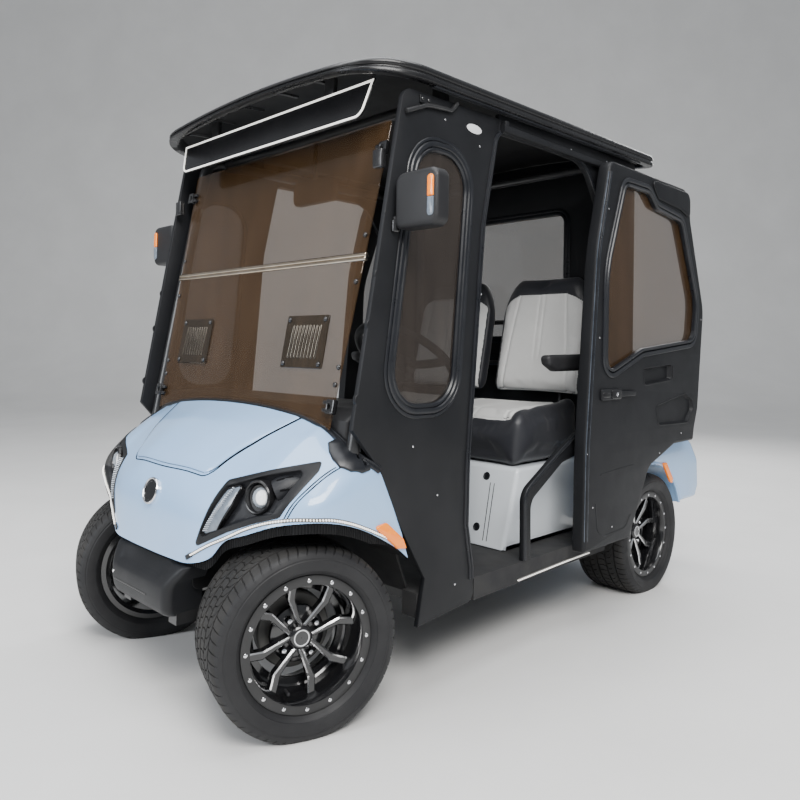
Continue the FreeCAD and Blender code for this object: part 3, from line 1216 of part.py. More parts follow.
def make_mirrors():
    """Square side mirrors on arms from the front pillars, and the cabin mirror on its stem."""
    c = MIRROR_CENTRE
    head = front_prism([(c.x - MIRROR_HALF, c.z - MIRROR_HALF, 22),
                        (c.x + MIRROR_HALF, c.z - MIRROR_HALF, 22),
                        (c.x + MIRROR_HALF, c.z + MIRROR_HALF, 22),
                        (c.x - MIRROR_HALF, c.z + MIRROR_HALF, 30)],
                       c.y - MIRROR_DEPTH, c.y + MIRROR_DEPTH)
    arm = box(BODY_HALF, c.x, c.y - 22, c.y - 4, c.z - 60, c.z - 40)
    lamp_x = c.x + MIRROR_HALF - MIRROR_LAMP_X
    corners = ((-1, -1), (1, -1), (1, 1), (-1, 1))
    lamp_rows = [(lamp_x + a * MIRROR_LAMP_HALF, c.z + b * MIRROR_LAMP_REACH, MIRROR_LAMP_HALF)
                 for a, b in corners]
    lamp = front_prism(lamp_rows, c.y - MIRROR_DEPTH - MIRROR_LAMP_PROUD, c.y - MIRROR_DEPTH + 1)
    pillar = make_pillar_frame()
    side = fuse([head, arm, lamp])
    cabin = front_prism([(-80, 1425, 20), (124, 1425, 20), (124, 1505, 20), (-80, 1505, 20)],
                        FRONT_CROSS_Y - 14, FRONT_CROSS_Y + 14)
    stem = rod(V(22, FRONT_CROSS_Y, 1500), V(22, FRONT_CROSS_Y, PILLAR_TOP), 7)
    return Part.Compound([side, mirrored(side), fuse([cabin, stem]).cut(pillar)])


def write(nodes):
    """Saves each piece under its node's name."""
    os.makedirs("parts", exist_ok=True)
    for name, shape in nodes.items():
        shape.exportStep("parts/" + name + ".step")


def main():
    """Builds every piece and saves it."""
    side_panel = make_side_panel()
    door = make_door_panel()
    door_window = make_door_window()
    nodes = {
        "chassis_frame": make_chassis_frame(),
        "floor_pan": make_floor_pan(),
        "front_cowl": make_front_cowl(),
        "hood_panel": make_hood_panel(),
        "headlights": make_headlights(),
        "marker_lamps": make_marker_lamps(),
        "front_bumper": make_front_bumper(),
        "windshield": make_windshield(),
        "windshield_fittings": make_windshield_fittings(),
        "pillar_frame": make_pillar_frame(),
        "side_panel_left": side_panel,
        "side_panel_right": mirrored(side_panel),
        "side_windows": make_side_windows(),
        "door_frames": both_sides(make_door_frame()),
        "door_left": door,
        "door_right": mirrored(door),
        "door_window_left": door_window,
        "door_window_right": mirrored(door_window),
        "roof": make_roof(),
        "visor": make_visor(),
        "rear_panel": make_rear_panel(),
        "rear_window": make_rear_window(),
        "seat_base": make_seat_base(),
        "seat_cushion": make_seat_cushion(),
        "seat_backs": make_seat_backs(),
        "seat_frame": make_seat_frame(),
        "arm_rests": make_arm_rests(),
        "dashboard": make_dashboard(),
        "steering_wheel": make_steering_wheel(),
        "pedals": make_pedals(),
        "rear_body": make_rear_body(),
        "rear_bumper": make_rear_bumper(),
        "tail_lamps": make_tail_lamps(),
        "rear_drive": make_rear_drive(),
        "front_axle": make_front_axle(),
        "knuckle_left": make_knuckle("left"),
        "knuckle_right": make_knuckle("right"),
        "tie_rod": make_tie_rod(),
        "mirrors": make_mirrors(),
    }
    for name in WHEELS:
        nodes["tyre_" + name] = make_tyre(name)
        nodes["rim_" + name] = make_rim(name)
    write(nodes)


main()
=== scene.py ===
"""Golf cart with a hard cab and sliding doors: the looks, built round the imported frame."""

from __future__ import annotations

import json
import logging
import math
from dataclasses import dataclass
from enum import Enum
from typing import Iterable, Optional, Sequence, Union

import bmesh
import bpy
from mathutils import Matrix, Vector
from mathutils.bvhtree import BVHTree
from mathutils.geometry import tessellate_polygon

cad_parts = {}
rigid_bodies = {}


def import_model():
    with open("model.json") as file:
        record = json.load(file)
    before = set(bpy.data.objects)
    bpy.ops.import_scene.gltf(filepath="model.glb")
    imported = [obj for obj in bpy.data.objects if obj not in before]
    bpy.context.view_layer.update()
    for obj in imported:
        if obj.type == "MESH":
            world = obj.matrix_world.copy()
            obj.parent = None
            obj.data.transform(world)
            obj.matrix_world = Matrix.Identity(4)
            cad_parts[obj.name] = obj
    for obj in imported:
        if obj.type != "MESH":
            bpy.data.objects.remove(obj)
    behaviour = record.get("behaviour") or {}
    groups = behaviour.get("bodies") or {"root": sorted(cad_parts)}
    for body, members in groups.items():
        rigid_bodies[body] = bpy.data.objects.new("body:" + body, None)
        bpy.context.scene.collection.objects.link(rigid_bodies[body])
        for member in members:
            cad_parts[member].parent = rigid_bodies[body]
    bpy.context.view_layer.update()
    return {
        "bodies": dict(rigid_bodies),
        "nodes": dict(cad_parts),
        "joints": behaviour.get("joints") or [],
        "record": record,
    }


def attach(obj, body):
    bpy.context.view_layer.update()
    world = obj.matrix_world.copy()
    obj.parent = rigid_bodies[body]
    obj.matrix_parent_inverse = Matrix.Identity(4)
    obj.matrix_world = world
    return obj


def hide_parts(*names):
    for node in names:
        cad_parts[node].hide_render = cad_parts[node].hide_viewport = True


log = logging.getLogger("golf_cart")
MM = 0.001
DOUBLES = 1e-6
DEGENERATE = 1e-7
OUT = Vector((1, 0, 0))
AHEAD = Vector((0, -1, 0))
BACKWARDS = Vector((0, 1, 0))
UP = Vector((0, 0, 1))
STEERING_CENTRE = (235.0, -395.0, 925.0)
COLUMN_TILT = 52.0
Row = Sequence[float]
Loop = list[Vector]


class Body(Enum):
    """The frame's bodies that pieces ride on."""

    CART = "cart"
    DOOR_LEFT = "door_left"
    DOOR_RIGHT = "door_right"
    SEAT_LID = "seat_lid"
    STEERING_WHEEL = "steering_wheel"
    WHEEL_FRONT_LEFT = "wheel_front_left"
    WHEEL_FRONT_RIGHT = "wheel_front_right"
    WHEEL_REAR_LEFT = "wheel_rear_left"
    WHEEL_REAR_RIGHT = "wheel_rear_right"


class Slot(Enum):
    """The record's material slots."""

    PAINT = "body_paint"
    CAB = "cab_black"
    ROOF = "roof_black"
    VISOR = "visor_black"
    DASH = "dash_black"
    MIRROR = "mirror_black"
    GLASS = "tinted_glass"
    HEADLIGHT = "headlight"
    AMBER = "amber_lens"
    BRIGHT = "bright_metal"
    VINYL = "seat_vinyl"
    FOAM = "arm_foam"
    RIM = "rim_black"
    TYRE = "tyre"


class Across(Enum):
    """The axis that a flat piece's thickness runs along."""

    X = "x"
    Y = "y"
    Z = "z"

    def place(self, a: float, b: float, w: float) -> Vector:
        """A flat piece's point (a, b) at a place along its thickness, in the frame."""
        if self is Across.X:
            return Vector((w, a, b))
        if self is Across.Y:
            return Vector((a, w, b))
        return Vector((a, b, w))


# Meshes


def new_piece(name: str, vertices: Iterable[Vector], faces: Iterable[Sequence[int]]) -> bpy.types.Object:
    """Makes an object from vertices and faces, with its faces turned outwards.

    Args:
        name: The piece's name.
        vertices: Places in metres.
        faces: Rows of vertex numbers.

    Returns:
        The new object, linked to the scene.
    """
    mesh = bpy.data.meshes.new(name)
    mesh.from_pydata([tuple(v) for v in vertices], [], [tuple(f) for f in faces])
    piece = bpy.data.objects.new(name, mesh)
    bpy.context.scene.collection.objects.link(piece)
    tidy(piece)
    return piece


def tidy(piece: bpy.types.Object) -> None:
    """Merges a mesh's doubles and turns its faces outwards."""
    work = bmesh.new()
    work.from_mesh(piece.data)
    bmesh.ops.remove_doubles(work, verts=work.verts, dist=DOUBLES)
    bmesh.ops.dissolve_degenerate(work, dist=DEGENERATE, edges=work.edges)
    bmesh.ops.recalc_face_normals(work, faces=work.faces)
    work.to_mesh(piece.data)
    work.free()


def smooth(piece: bpy.types.Object, degrees: float = 32.0) -> bpy.types.Object:
    """Shades a mesh smooth, with sharp edges where its faces turn further than an angle."""
    piece.data.shade_smooth()
    piece.data.set_sharp_from_angle(angle=math.radians(degrees))
    return piece


def joined(name: str, pieces: Sequence[bpy.types.Object]) -> bpy.types.Object:
    """Joins pieces into one, which keeps every material."""
    materials: list[bpy.types.Material] = []
    work = bmesh.new()
    for piece in pieces:
        own = list(piece.data.materials)
        table = {}
        for index, material in enumerate(own):
            if material not in materials:
                materials.append(material)
            table[index] = materials.index(material)
        before = len(work.faces)
        work.from_mesh(piece.data)
        work.faces.ensure_lookup_table()
        for face in work.faces[before:]:
            face.material_index = table.get(face.material_index, 0)
    mesh = bpy.data.meshes.new(name)
    work.to_mesh(mesh)
    work.free()
    for material in materials:
        mesh.materials.append(material)
    for piece in pieces:
        remove(piece)
    mesh.name = name
    result = bpy.data.objects.new(name, mesh)
    bpy.context.scene.collection.objects.link(result)
    return result


def remove(piece: bpy.types.Object) -> None:
    """Deletes an object and its mesh."""
    data = piece.data
    bpy.data.objects.remove(piece)
    if isinstance(data, bpy.types.Mesh) and data.users == 0:
        bpy.data.meshes.remove(data)


def mirrored(piece: bpy.types.Object, name: str) -> bpy.types.Object:
    """Copies a piece to the other side of the cart, with its faces outwards."""
    mesh = piece.data.copy()
    mesh.name = name
    copy = bpy.data.objects.new(name, mesh)
    bpy.context.scene.collection.objects.link(copy)
    return flipped(copy, -1, 1)


def flipped(piece: bpy.types.Object, x: float, y: float) -> bpy.types.Object:
    """Turns a piece into its mirror image along X or Y, with its faces outwards."""
    piece.data.transform(Matrix.Diagonal((x, y, 1, 1)))
    piece.data.flip_normals()
    return piece


def facing(piece: bpy.types.Object, way: Vector) -> bpy.types.Object:
    """Turns the faces of an open surface towards one direction."""
    if sum((f.normal * f.area for f in piece.data.polygons), Vector()).dot(way) < 0:
        piece.data.flip_normals()
    return piece


def subdivided(piece: bpy.types.Object, levels: int = 1) -> bpy.types.Object:
    """Subdivides a piece smoothly."""
    modifier = piece.modifiers.new("finer", "SUBSURF")
    modifier.levels = modifier.render_levels = levels
    return baked(piece)


def thickened(piece: bpy.types.Object, wall: float) -> bpy.types.Object:
    """Gives a surface a wall on its inner side, in metres."""
    modifier = piece.modifiers.new("wall", "SOLIDIFY")
    modifier.thickness = wall
    return baked(piece)


def with_mirror(piece: bpy.types.Object) -> bpy.types.Object:
    """Joins a piece with its mirror image."""
    name = piece.name
    return joined(name, [piece, mirrored(piece, name + "_other")])


def baked(piece: bpy.types.Object) -> bpy.types.Object:
    """Applies a piece's modifiers."""
    graph = bpy.context.evaluated_depsgraph_get()
    mesh = bpy.data.meshes.new_from_object(piece.evaluated_get(graph))
    old = piece.data
    piece.modifiers.clear()
    piece.data = mesh
    if old.users == 0:
        bpy.data.meshes.remove(old)
    return piece


def cut(piece: bpy.types.Object, tools: Sequence[bpy.types.Object]) -> bpy.types.Object:
    """Cuts tools out of a closed piece and deletes them."""
    for tool in tools:
        modifier = piece.modifiers.new("cut", "BOOLEAN")
        modifier.operation = "DIFFERENCE"
        modifier.solver = "EXACT"
        modifier.object = tool
        baked(piece)
        remove(tool)
    return piece


def rounded(rows: Sequence[Row], steps: int = 6) -> Loop:
    """A closed outline in metres, with round corners.

    Args:
        rows: Corners (a, b, radius) in millimetres, where the radius may be left out.
        steps: Runs in each round corner.

    Returns:
        The outline's points.
    """
    points: Loop = []
    for index, row in enumerate(rows):
        corner = Vector(row[:2])
        radius = row[2] if len(row) > 2 else 0.0
        back = Vector(rows[index - 1][:2]) - corner
        ahead = Vector(rows[(index + 1) % len(rows)][:2]) - corner
        if radius <= 0:
            points.append(corner * MM)
            continue
        half = back.angle(ahead) / 2
        reach = min(radius / math.tan(half), 0.49 * min(back.length, ahead.length))
        back.normalize()
        ahead.normalize()
        centre = corner + (back + ahead).normalized() * (reach / math.cos(half))
        start = corner + back * reach - centre
        end = corner + ahead * reach - centre
        turn = math.atan2(start.x * end.y - start.y * end.x, start.dot(end))
        for step in range(steps + 1):
            angle = turn * step / steps
            spun = Vector((start.x * math.cos(angle) - start.y * math.sin(angle),
                           start.x * math.sin(angle) + start.y * math.cos(angle)))
            points.append((centre + spun) * MM)
    return points


def rectangle(a0: float, b0: float, a1: float, b1: float, *radii: float) -> list[Row]:
    """A rectangle's corners for rounded, with one radius or one for each corner."""
    corners = ((a0, b0), (a1, b0), (a1, b1), (a0, b1))
    return [(*corner, radius) for corner, radius in zip(corners, radii * 4 if len(radii) == 1 else radii)]


def at_side(x: float, loop: Iterable[Vector]) -> list[Vector]:
    """A side-view line's points at one X in metres."""
    return [Vector((x, p.x, p.y)) for p in loop]


def grown(loop: Loop, distance: float) -> Loop:
    """Moves an outline's points outwards, or inwards if the distance is negative."""
    area = sum(p.x * q.y - q.x * p.y for p, q in zip(loop, loop[1:] + loop[:1]))
    side = -1.0 if area > 0 else 1.0
    points: Loop = []
    for index, here in enumerate(loop):
        before = (here - loop[index - 1]).normalized()
        after = (loop[(index + 1) % len(loop)] - here).normalized()
        across = Vector((-before.y - after.y, before.x + after.x))
        if across.length_squared < 1e-9:
            across = Vector((-before.y, before.x)) * 2
        points.append(here + across * (side * 2 * distance / across.length_squared))
    return points


def plate(name: str, outline: Loop, low: float, high: float, across: Across, holes: Sequence[Loop] = (),
          edge: float = 0.0, steps: int = 3, back_edge: Optional[float] = None) -> bpy.types.Object:
    """A flat piece with rounded edges.

    Args:
        name: The piece's name.
        outline: Its outline in metres.
        low: Where its thickness starts along the axis.
        high: Where its thickness ends.
        across: The axis of its thickness.
        holes: Outlines of the holes through it.
        edge: Radius of the edge at the high side.
        steps: Runs in each rounded edge.
        back_edge: Radius of the edge at the low side, if it differs.

    Returns:
        The new object.
    """
    other = edge if back_edge is None else back_edge
    rings = [(other * (1 - math.sin(math.pi / 2 * s / steps)),
              low + other * (1 - math.cos(math.pi / 2 * s / steps)))
             for s in range(steps + 1)] if other > 0 else [(0.0, low)]
    rings += [(edge * (1 - math.cos(math.pi / 2 * s / steps)),
               high - edge * (1 - math.sin(math.pi / 2 * s / steps)))
              for s in range(steps + 1)] if edge > 0 else [(0.0, high)]
    vertices: list[Vector] = []
    faces: list[Sequence[int]] = []
    caps: list[list[Loop]] = [[], []]
    starts: list[int] = []
    for number, loop in enumerate([outline, *holes]):
        sign = -1 if number == 0 else 1
        start = len(vertices)
        starts.append(start)
        size = len(loop)
        for inset, place in rings:
            ring = grown(loop, sign * inset) if inset > 1e-9 else loop
            vertices += [across.place(p.x, p.y, place) for p in ring]
            if (inset, place) == rings[0]:
                caps[0].append(ring)
            elif (inset, place) == rings[-1]:
                caps[1].append(ring)
        for level in range(len(rings) - 1):
            for i in range(size):
                j = (i + 1) % size
                a = start + level * size
                faces.append((a + i, a + j, a + size + j, a + size + i))
    for which, level in ((0, 0), (1, len(rings) - 1)):
        numbers = [starts[k] + level * len(loop) + i for k, loop in enumerate([outline, *holes])
                   for i in range(len(loop))]
        flat = [[Vector((p.x, p.y, 0)) for p in loop] for loop in caps[which]]
        for triangle in tessellate_polygon(flat):
            faces.append(tuple(numbers[t] for t in triangle))
    return new_piece(name, vertices, faces)


def spline(points: Sequence[Vector], per: int, closed: bool = False) -> list[Vector]:
    """Points on a smooth line through given points.

    Args:
        points: The points it passes.
        per: Runs between two of them.
        closed: Whether it ends where it starts.

    Returns:
        The line's points.
    """
    count = len(points)
    result: list[Vector] = []
    for index in range(count if closed else count - 1):
        if closed:
            p0, p1, p2, p3 = (points[(index + k) % count] for k in (-1, 0, 1, 2))
        else:
            p1, p2 = points[index], points[index + 1]
            p0 = points[index - 1] if index else p1 * 2 - p2
            p3 = points[index + 2] if index + 2 < count else p2 * 2 - p1
        for step in range(per):
            t = step / per
            result.append(0.5 * (2 * p1 + (p2 - p0) * t + (2 * p0 - 5 * p1 + 4 * p2 - p3) * t * t
                                 + (3 * p1 - p0 - 3 * p2 + p3) * t * t * t))
    if not closed:
        result.append(points[-1].copy())
    return result


def sheet(name: str, rows: Sequence[Sequence[Vector]], closed: bool = False,
          capped: bool = False) -> bpy.types.Object:
    """A surface through rows of points.

    Args:
        name: The piece's name.
        rows: Rows with the same number of points.
        closed: Whether each row is a ring.
        capped: Whether the first and last ring are filled.

    Returns:
        The new object.
    """
    width = len(rows[0])
    vertices = [point for row in rows for point in row]
    faces: list[Sequence[int]] = []
    for level in range(len(rows) - 1):
        for i in range(width if closed else width - 1):
            j = (i + 1) % width
            a = level * width
            faces.append((a + i, a + j, a + width + j, a + width + i))
    if capped:
        faces.append(tuple(range(width)))
        faces.append(tuple(range(len(vertices) - width, len(vertices))))
    return new_piece(name, vertices, faces)


def sweep(name: str, path: Sequence[Vector], profile: Sequence[Row], up: Union[Vector, Sequence[Vector]],
          closed: bool = False) -> bpy.types.Object:
    """A bead of a constant section along a path.

    Args:
        name: The piece's name.
        path: Points of the path, in metres.
        profile: Closed section as rows (side, height) in millimetres.
        up: The direction of the section's height, or one for each point.
        closed: Whether the path is a loop.

    Returns:
        The new object.
    """
    rows = []
    count = len(path)
    for index, here in enumerate(path):
        back = path[index - 1] if index or closed else here
        ahead = path[(index + 1) % count] if index + 1 < count or closed else here
        along = (ahead - back).normalized()
        height = (up if isinstance(up, Vector) else up[index]).normalized()
        side = along.cross(height).normalized()
        height = side.cross(along)
        bend = 1.0
        if (index or closed) and (index + 1 < count or closed):
            first = (here - back).normalized()
            bend = min(1.6, 1 / max(0.4, first.dot(along)))
        rows.append([here + side * (row[0] * MM * bend) + height * (row[1] * MM) for row in profile])
    if closed:
        rows.append(rows[0])
    return sheet(name, rows, closed=True, capped=not closed)


def disc_profile(radius: float, sides: int = 8) -> list[Row]:
    """A round section for sweep, in millimetres."""
    return [(radius * math.cos(2 * math.pi * k / sides), radius * math.sin(2 * math.pi * k / sides))
            for k in range(sides)]


def spun(name: str, profile: Sequence[Row], matrix: Matrix, segments: int = 64,
         closed: bool = True) -> bpy.types.Object:
    """A turned piece.

    Args:
        name: The piece's name.
        profile: Rows (along the axis, radius) in millimetres.
        matrix: Takes the axis (+X) and centre to their place.
        segments: Faces round the axis.
        closed: Whether the profile's ends are joined.

    Returns:
        The new object.
    """
    rows = []
    for place, radius in list(profile) + ([profile[0]] if closed else []):
        ring = []
        for k in range(segments):
            angle = 2 * math.pi * k / segments
            ring.append(matrix @ Vector((place * MM, radius * MM * math.cos(angle),
                                         radius * MM * math.sin(angle))))
        rows.append(ring)
    return sheet(name, rows, closed=True)


def axis_matrix(centre: Vector, axis: Vector, up: Vector = UP) -> Matrix:
    """A matrix that takes +X to an axis and the origin to a centre."""
    x = axis.normalized()
    y = up.cross(x).normalized()
    z = x.cross(y)
    return Matrix(((x.x, y.x, z.x, centre.x), (x.y, y.y, z.y, centre.y), (x.z, y.z, z.z, centre.z),
                   (0, 0, 0, 1)))


def on_surface(tree: BVHTree, start: Vector, way: Vector, lift: float = 0.0) -> tuple[Vector, Vector]:
    """Where a ray meets a surface, raised by a distance, and the surface's direction there."""
    place, normal, _, _ = tree.ray_cast(start, way.normalized())
    if place is None:
        place, normal, _, _ = tree.find_nearest(start)
    if normal.dot(way) > 0:
        normal = -normal
    return place + normal * lift, normal


def tree_of(piece: bpy.types.Object) -> BVHTree:
    """A search tree of a piece's faces."""
    mesh = piece.data
    return BVHTree.FromPolygons([v.co for v in mesh.vertices], [p.vertices for p in mesh.polygons])


# Repeats, made by Geometry Nodes


class Repeat(Enum):
    """How a repeated unit is laid out."""

    RING = "ring"
    PATH = "path"
    POINTS = "points"


@dataclass
class Repeater:
    """A Geometry Nodes tree that sets a unit many times."""

    kind: Repeat
    _tree: Optional[bpy.types.NodeTree] = None
    _sockets: Optional[dict[str, str]] = None

    def _build(self) -> None:
        """Builds the tree once."""
        tree = bpy.data.node_groups.new("repeat_" + self.kind.value, "GeometryNodeTree")
        tree.interface.new_socket("Geometry", in_out="INPUT", socket_type="NodeSocketGeometry")
        sockets = {}
        for label, kind in (("Count", "NodeSocketInt"), ("Radius", "NodeSocketFloat"),
                            ("Size", "NodeSocketFloat"),
                            ("Unit", "NodeSocketObject"), ("Material", "NodeSocketMaterial")):
            sockets[label] = tree.interface.new_socket(label, in_out="INPUT", socket_type=kind).identifier
        tree.interface.new_socket("Geometry", in_out="OUTPUT", socket_type="NodeSocketGeometry")
        nodes, link = tree.nodes, tree.links.new
        inputs = nodes.new("NodeGroupInput")
        output = nodes.new("NodeGroupOutput")
        unit = nodes.new("GeometryNodeObjectInfo")
        unit.inputs["As Instance"].default_value = True
        spread = nodes.new("GeometryNodeInstanceOnPoints")
        turn = nodes.new("FunctionNodeAlignRotationToVector")
        turn.axis = "Z"
        if self.kind is Repeat.RING:
            ring = nodes.new("GeometryNodeMeshCircle")
            link(inputs.outputs["Count"], ring.inputs["Vertices"])
            link(inputs.outputs["Radius"], ring.inputs["Radius"])
            link(ring.outputs["Mesh"], spread.inputs["Points"])
            outwards = nodes.new("GeometryNodeInputPosition")
            turn.axis = "X"
            link(outwards.outputs["Position"], turn.inputs["Vector"])
        elif self.kind is Repeat.PATH:
            curve = nodes.new("GeometryNodeMeshToCurve")
            even = nodes.new("GeometryNodeResampleCurve")
            tangent = nodes.new("GeometryNodeInputTangent")
            link(inputs.outputs["Geometry"], curve.inputs["Mesh"])
            link(curve.outputs["Curve"], even.inputs["Curve"])
            link(inputs.outputs["Count"], even.inputs["Count"])
            link(even.outputs["Curve"], spread.inputs["Points"])
            turn.axis = "X"
            link(tangent.outputs["Tangent"], turn.inputs["Vector"])
        else:
            facing = nodes.new("GeometryNodeInputNamedAttribute")
            facing.data_type = "FLOAT_VECTOR"
            facing.inputs["Name"].default_value = "facing"
            link(inputs.outputs["Geometry"], spread.inputs["Points"])
            link(facing.outputs["Attribute"], turn.inputs["Vector"])
        link(turn.outputs["Rotation"], spread.inputs["Rotation"])
        link(inputs.outputs["Unit"], unit.inputs["Object"])
        link(unit.outputs["Geometry"], spread.inputs["Instance"])
        link(inputs.outputs["Size"], spread.inputs["Scale"])
        real = nodes.new("GeometryNodeRealizeInstances")
        paint = nodes.new("GeometryNodeSetMaterial")
        link(spread.outputs["Instances"], real.inputs["Geometry"])
        link(real.outputs["Geometry"], paint.inputs["Geometry"])
        link(inputs.outputs["Material"], paint.inputs["Material"])
        link(paint.outputs["Geometry"], output.inputs["Geometry"])
        self._tree, self._sockets = tree, sockets

    def make(self, name: str, unit: bpy.types.Object, material: bpy.types.Material,
             points: Sequence[Vector] = (),
             facing: Sequence[Vector] = (), count: int = 1, radius: float = 0.0, size: float = 1.0,
             matrix: Matrix = Matrix.Identity(4)) -> bpy.types.Object:
        """Sets a unit at each place and turns the result into a plain mesh.

        Args:
            name: The piece's name.
            unit: The object that is repeated.
            material: Its material.
            points: The path's points, or the places.
            facing: The direction of each place.
            count: How many stand on a ring or path.
            radius: The ring's radius in metres.
            size: Scale of the unit.
            matrix: Takes the result to its place.

        Returns:
            The new object.
        """
        if self._tree is None:
            self._build()
        mesh = bpy.data.meshes.new(name + "_base")
        edges = [(i, i + 1) for i in range(len(points) - 1)] if self.kind is Repeat.PATH else []
        mesh.from_pydata([tuple(p) for p in points], edges, [])
        if facing:
            attribute = mesh.attributes.new("facing", "FLOAT_VECTOR", "POINT")
            attribute.data.foreach_set("vector", [c for way in facing for c in way])
        base = bpy.data.objects.new(name, mesh)
        bpy.context.scene.collection.objects.link(base)
        modifier = base.modifiers.new("repeat", "NODES")
        modifier.node_group = self._tree
        for label, value in (("Count", count), ("Radius", radius), ("Size", size), ("Unit", unit),
                             ("Material", material)):
            modifier[self._sockets[label]] = value
        baked(base)
        base.data.transform(matrix)
        remove(unit)
        return base


RING = Repeater(Repeat.RING)
PATH = Repeater(Repeat.PATH)
POINTS = Repeater(Repeat.POINTS)


def dome_unit(radius: float, height: float, sides: int = 10) -> bpy.types.Object:
    """A small dome head that faces +Z, sizes in millimetres."""
    profile = [(0.0, radius), (0.45 * height, 0.96 * radius), (0.8 * height, 0.72 * radius),
               (height, 0.3 * radius), (height, 0.001)]
    matrix = Matrix.Rotation(-math.pi / 2, 4, "Y")
    return spun("dome", [(-0.3 * height, 0.001), (-0.3 * height, radius)] + profile, matrix, sides,
                closed=False)


def block_unit(length: float, width: float, height: float, edge: float) -> bpy.types.Object:
    """A small block along +X with rounded edges, sizes in millimetres."""
    outline = rounded(rectangle(-length / 2, -width / 2, length / 2, width / 2, edge), 2)
    return plate("block", outline, -height / 2 * MM, height / 2 * MM, Across.Z, edge=edge * 0.6 * MM, steps=1)


# Finishes


class Shader:
    """A material under construction, with one Principled shader."""

    def __init__(self, name: str) -> None:
        """Starts an empty material."""
        self.material = bpy.data.materials.new(name)
        self.material.use_nodes = True
        self.tree = self.material.node_tree
        self.tree.nodes.clear()
        self.output = self.tree.nodes.new("ShaderNodeOutputMaterial")
        self.surface = self.tree.nodes.new("ShaderNodeBsdfPrincipled")
        self.link(self.surface.outputs["BSDF"], self.output.inputs["Surface"])
        self.place = self.tree.nodes.new("ShaderNodeTexCoord").outputs["Object"]

    def link(self, start: bpy.types.NodeSocket, end: bpy.types.NodeSocket) -> None:
        """Joins two sockets."""
        self.tree.links.new(start, end)

    def set(self, **values: Union[float, Sequence[float]]) -> "Shader":
        """Sets the shader's own sockets, named with _ for a space."""
        for key, value in values.items():
            socket = self.surface.inputs[key.replace("_", " ")]
            socket.default_value = (*value, 1.0) if isinstance(value, (tuple,
            list)) and len(value) == 3 else value
        return self

    def noise(self, scale: float, detail: float = 3.0, roughness: float = 0.5,
              stretch: Sequence[float] = (1, 1, 1)) -> bpy.types.NodeSocket:
        """A noise value over the surface; the scale is per metre."""
        node = self.tree.nodes.new("ShaderNodeTexNoise")
        node.inputs["Scale"].default_value = scale
        node.inputs["Detail"].default_value = detail
        node.inputs["Roughness"].default_value = roughness
        self.link(self.stretched(stretch), node.inputs["Vector"])
        return node.outputs["Fac"]

    def cells(self, scale: float) -> bpy.types.NodeSocket:
        """A cell distance over the surface."""
        node = self.tree.nodes.new("ShaderNodeTexVoronoi")
        node.inputs["Scale"].default_value = scale
        self.link(self.stretched((1, 1, 1)), node.inputs["Vector"])
        return node.outputs["Distance"]

    def stretched(self, stretch: Sequence[float]) -> bpy.types.NodeSocket:
        """Object coordinates, scaled along each axis."""
        node = self.tree.nodes.new("ShaderNodeMapping")
        node.inputs["Scale"].default_value = stretch
        self.link(self.place, node.inputs["Vector"])
        return node.outputs["Vector"]

    def ramp(self, value: bpy.types.NodeSocket, low: float, high: float, first: Sequence[float],
             second: Sequence[float]) -> bpy.types.NodeSocket:
        """A colour that goes from one to another as a value goes from low to high."""
        node = self.tree.nodes.new("ShaderNodeValToRGB")
        node.color_ramp.elements[0].position = low
        node.color_ramp.elements[0].color = (*first, 1)
        node.color_ramp.elements[1].position = high
        node.color_ramp.elements[1].color = (*second, 1)
        self.link(value, node.inputs["Fac"])
        return node.outputs["Color"]

    def between(self, value: bpy.types.NodeSocket, low: float, high: float) -> bpy.types.NodeSocket:
        """A number that goes from low to high as a value goes from 0 to 1."""
        node = self.tree.nodes.new("ShaderNodeMapRange")
        node.inputs["To Min"].default_value = low
        node.inputs["To Max"].default_value = high
        self.link(value, node.inputs["Value"])
        return node.outputs["Result"]

    def bump(self, height: bpy.types.NodeSocket, strength: float, distance: float) -> None:
        """Adds relief to the surface, on top of what is there."""
        node = self.tree.nodes.new("ShaderNodeBump")
        node.inputs["Strength"].default_value = strength
        node.inputs["Distance"].default_value = distance
        self.link(height, node.inputs["Height"])
        socket = self.surface.inputs["Normal"]
        if socket.is_linked:
            self.link(socket.links[0].from_socket, node.inputs["Normal"])
        self.link(node.outputs["Normal"], socket)

    def dust(self, base: Sequence[float], worn: Sequence[float], scale: float = 9.0) -> None:
        """Colours the surface with soft patches of a second tone."""
        self.link(self.ramp(self.noise(scale, 5.0, 0.6), 0.38, 0.72, base, worn),
                  self.surface.inputs["Base Color"])


@dataclass(frozen=True)
class GlossPaint:
    """Car paint: a clear coat over a fine flake and a faint orange peel."""

    name: str = "pale_blue_paint"
    colour: Row = (0.34, 0.545, 0.84)
    shade: Row = (0.31, 0.515, 0.82)
    roughness: float = 0.26
    peel: float = 0.06

    def build(self) -> bpy.types.Material:
        """Makes the material."""
        shader = Shader(self.name).set(Roughness=self.roughness, Coat_Weight=0.9, Coat_Roughness=0.06)
        shader.dust(self.colour, self.shade, 3.0)
        shader.bump(shader.noise(180.0, 2.0), self.peel, 0.0004)
        return shader.material


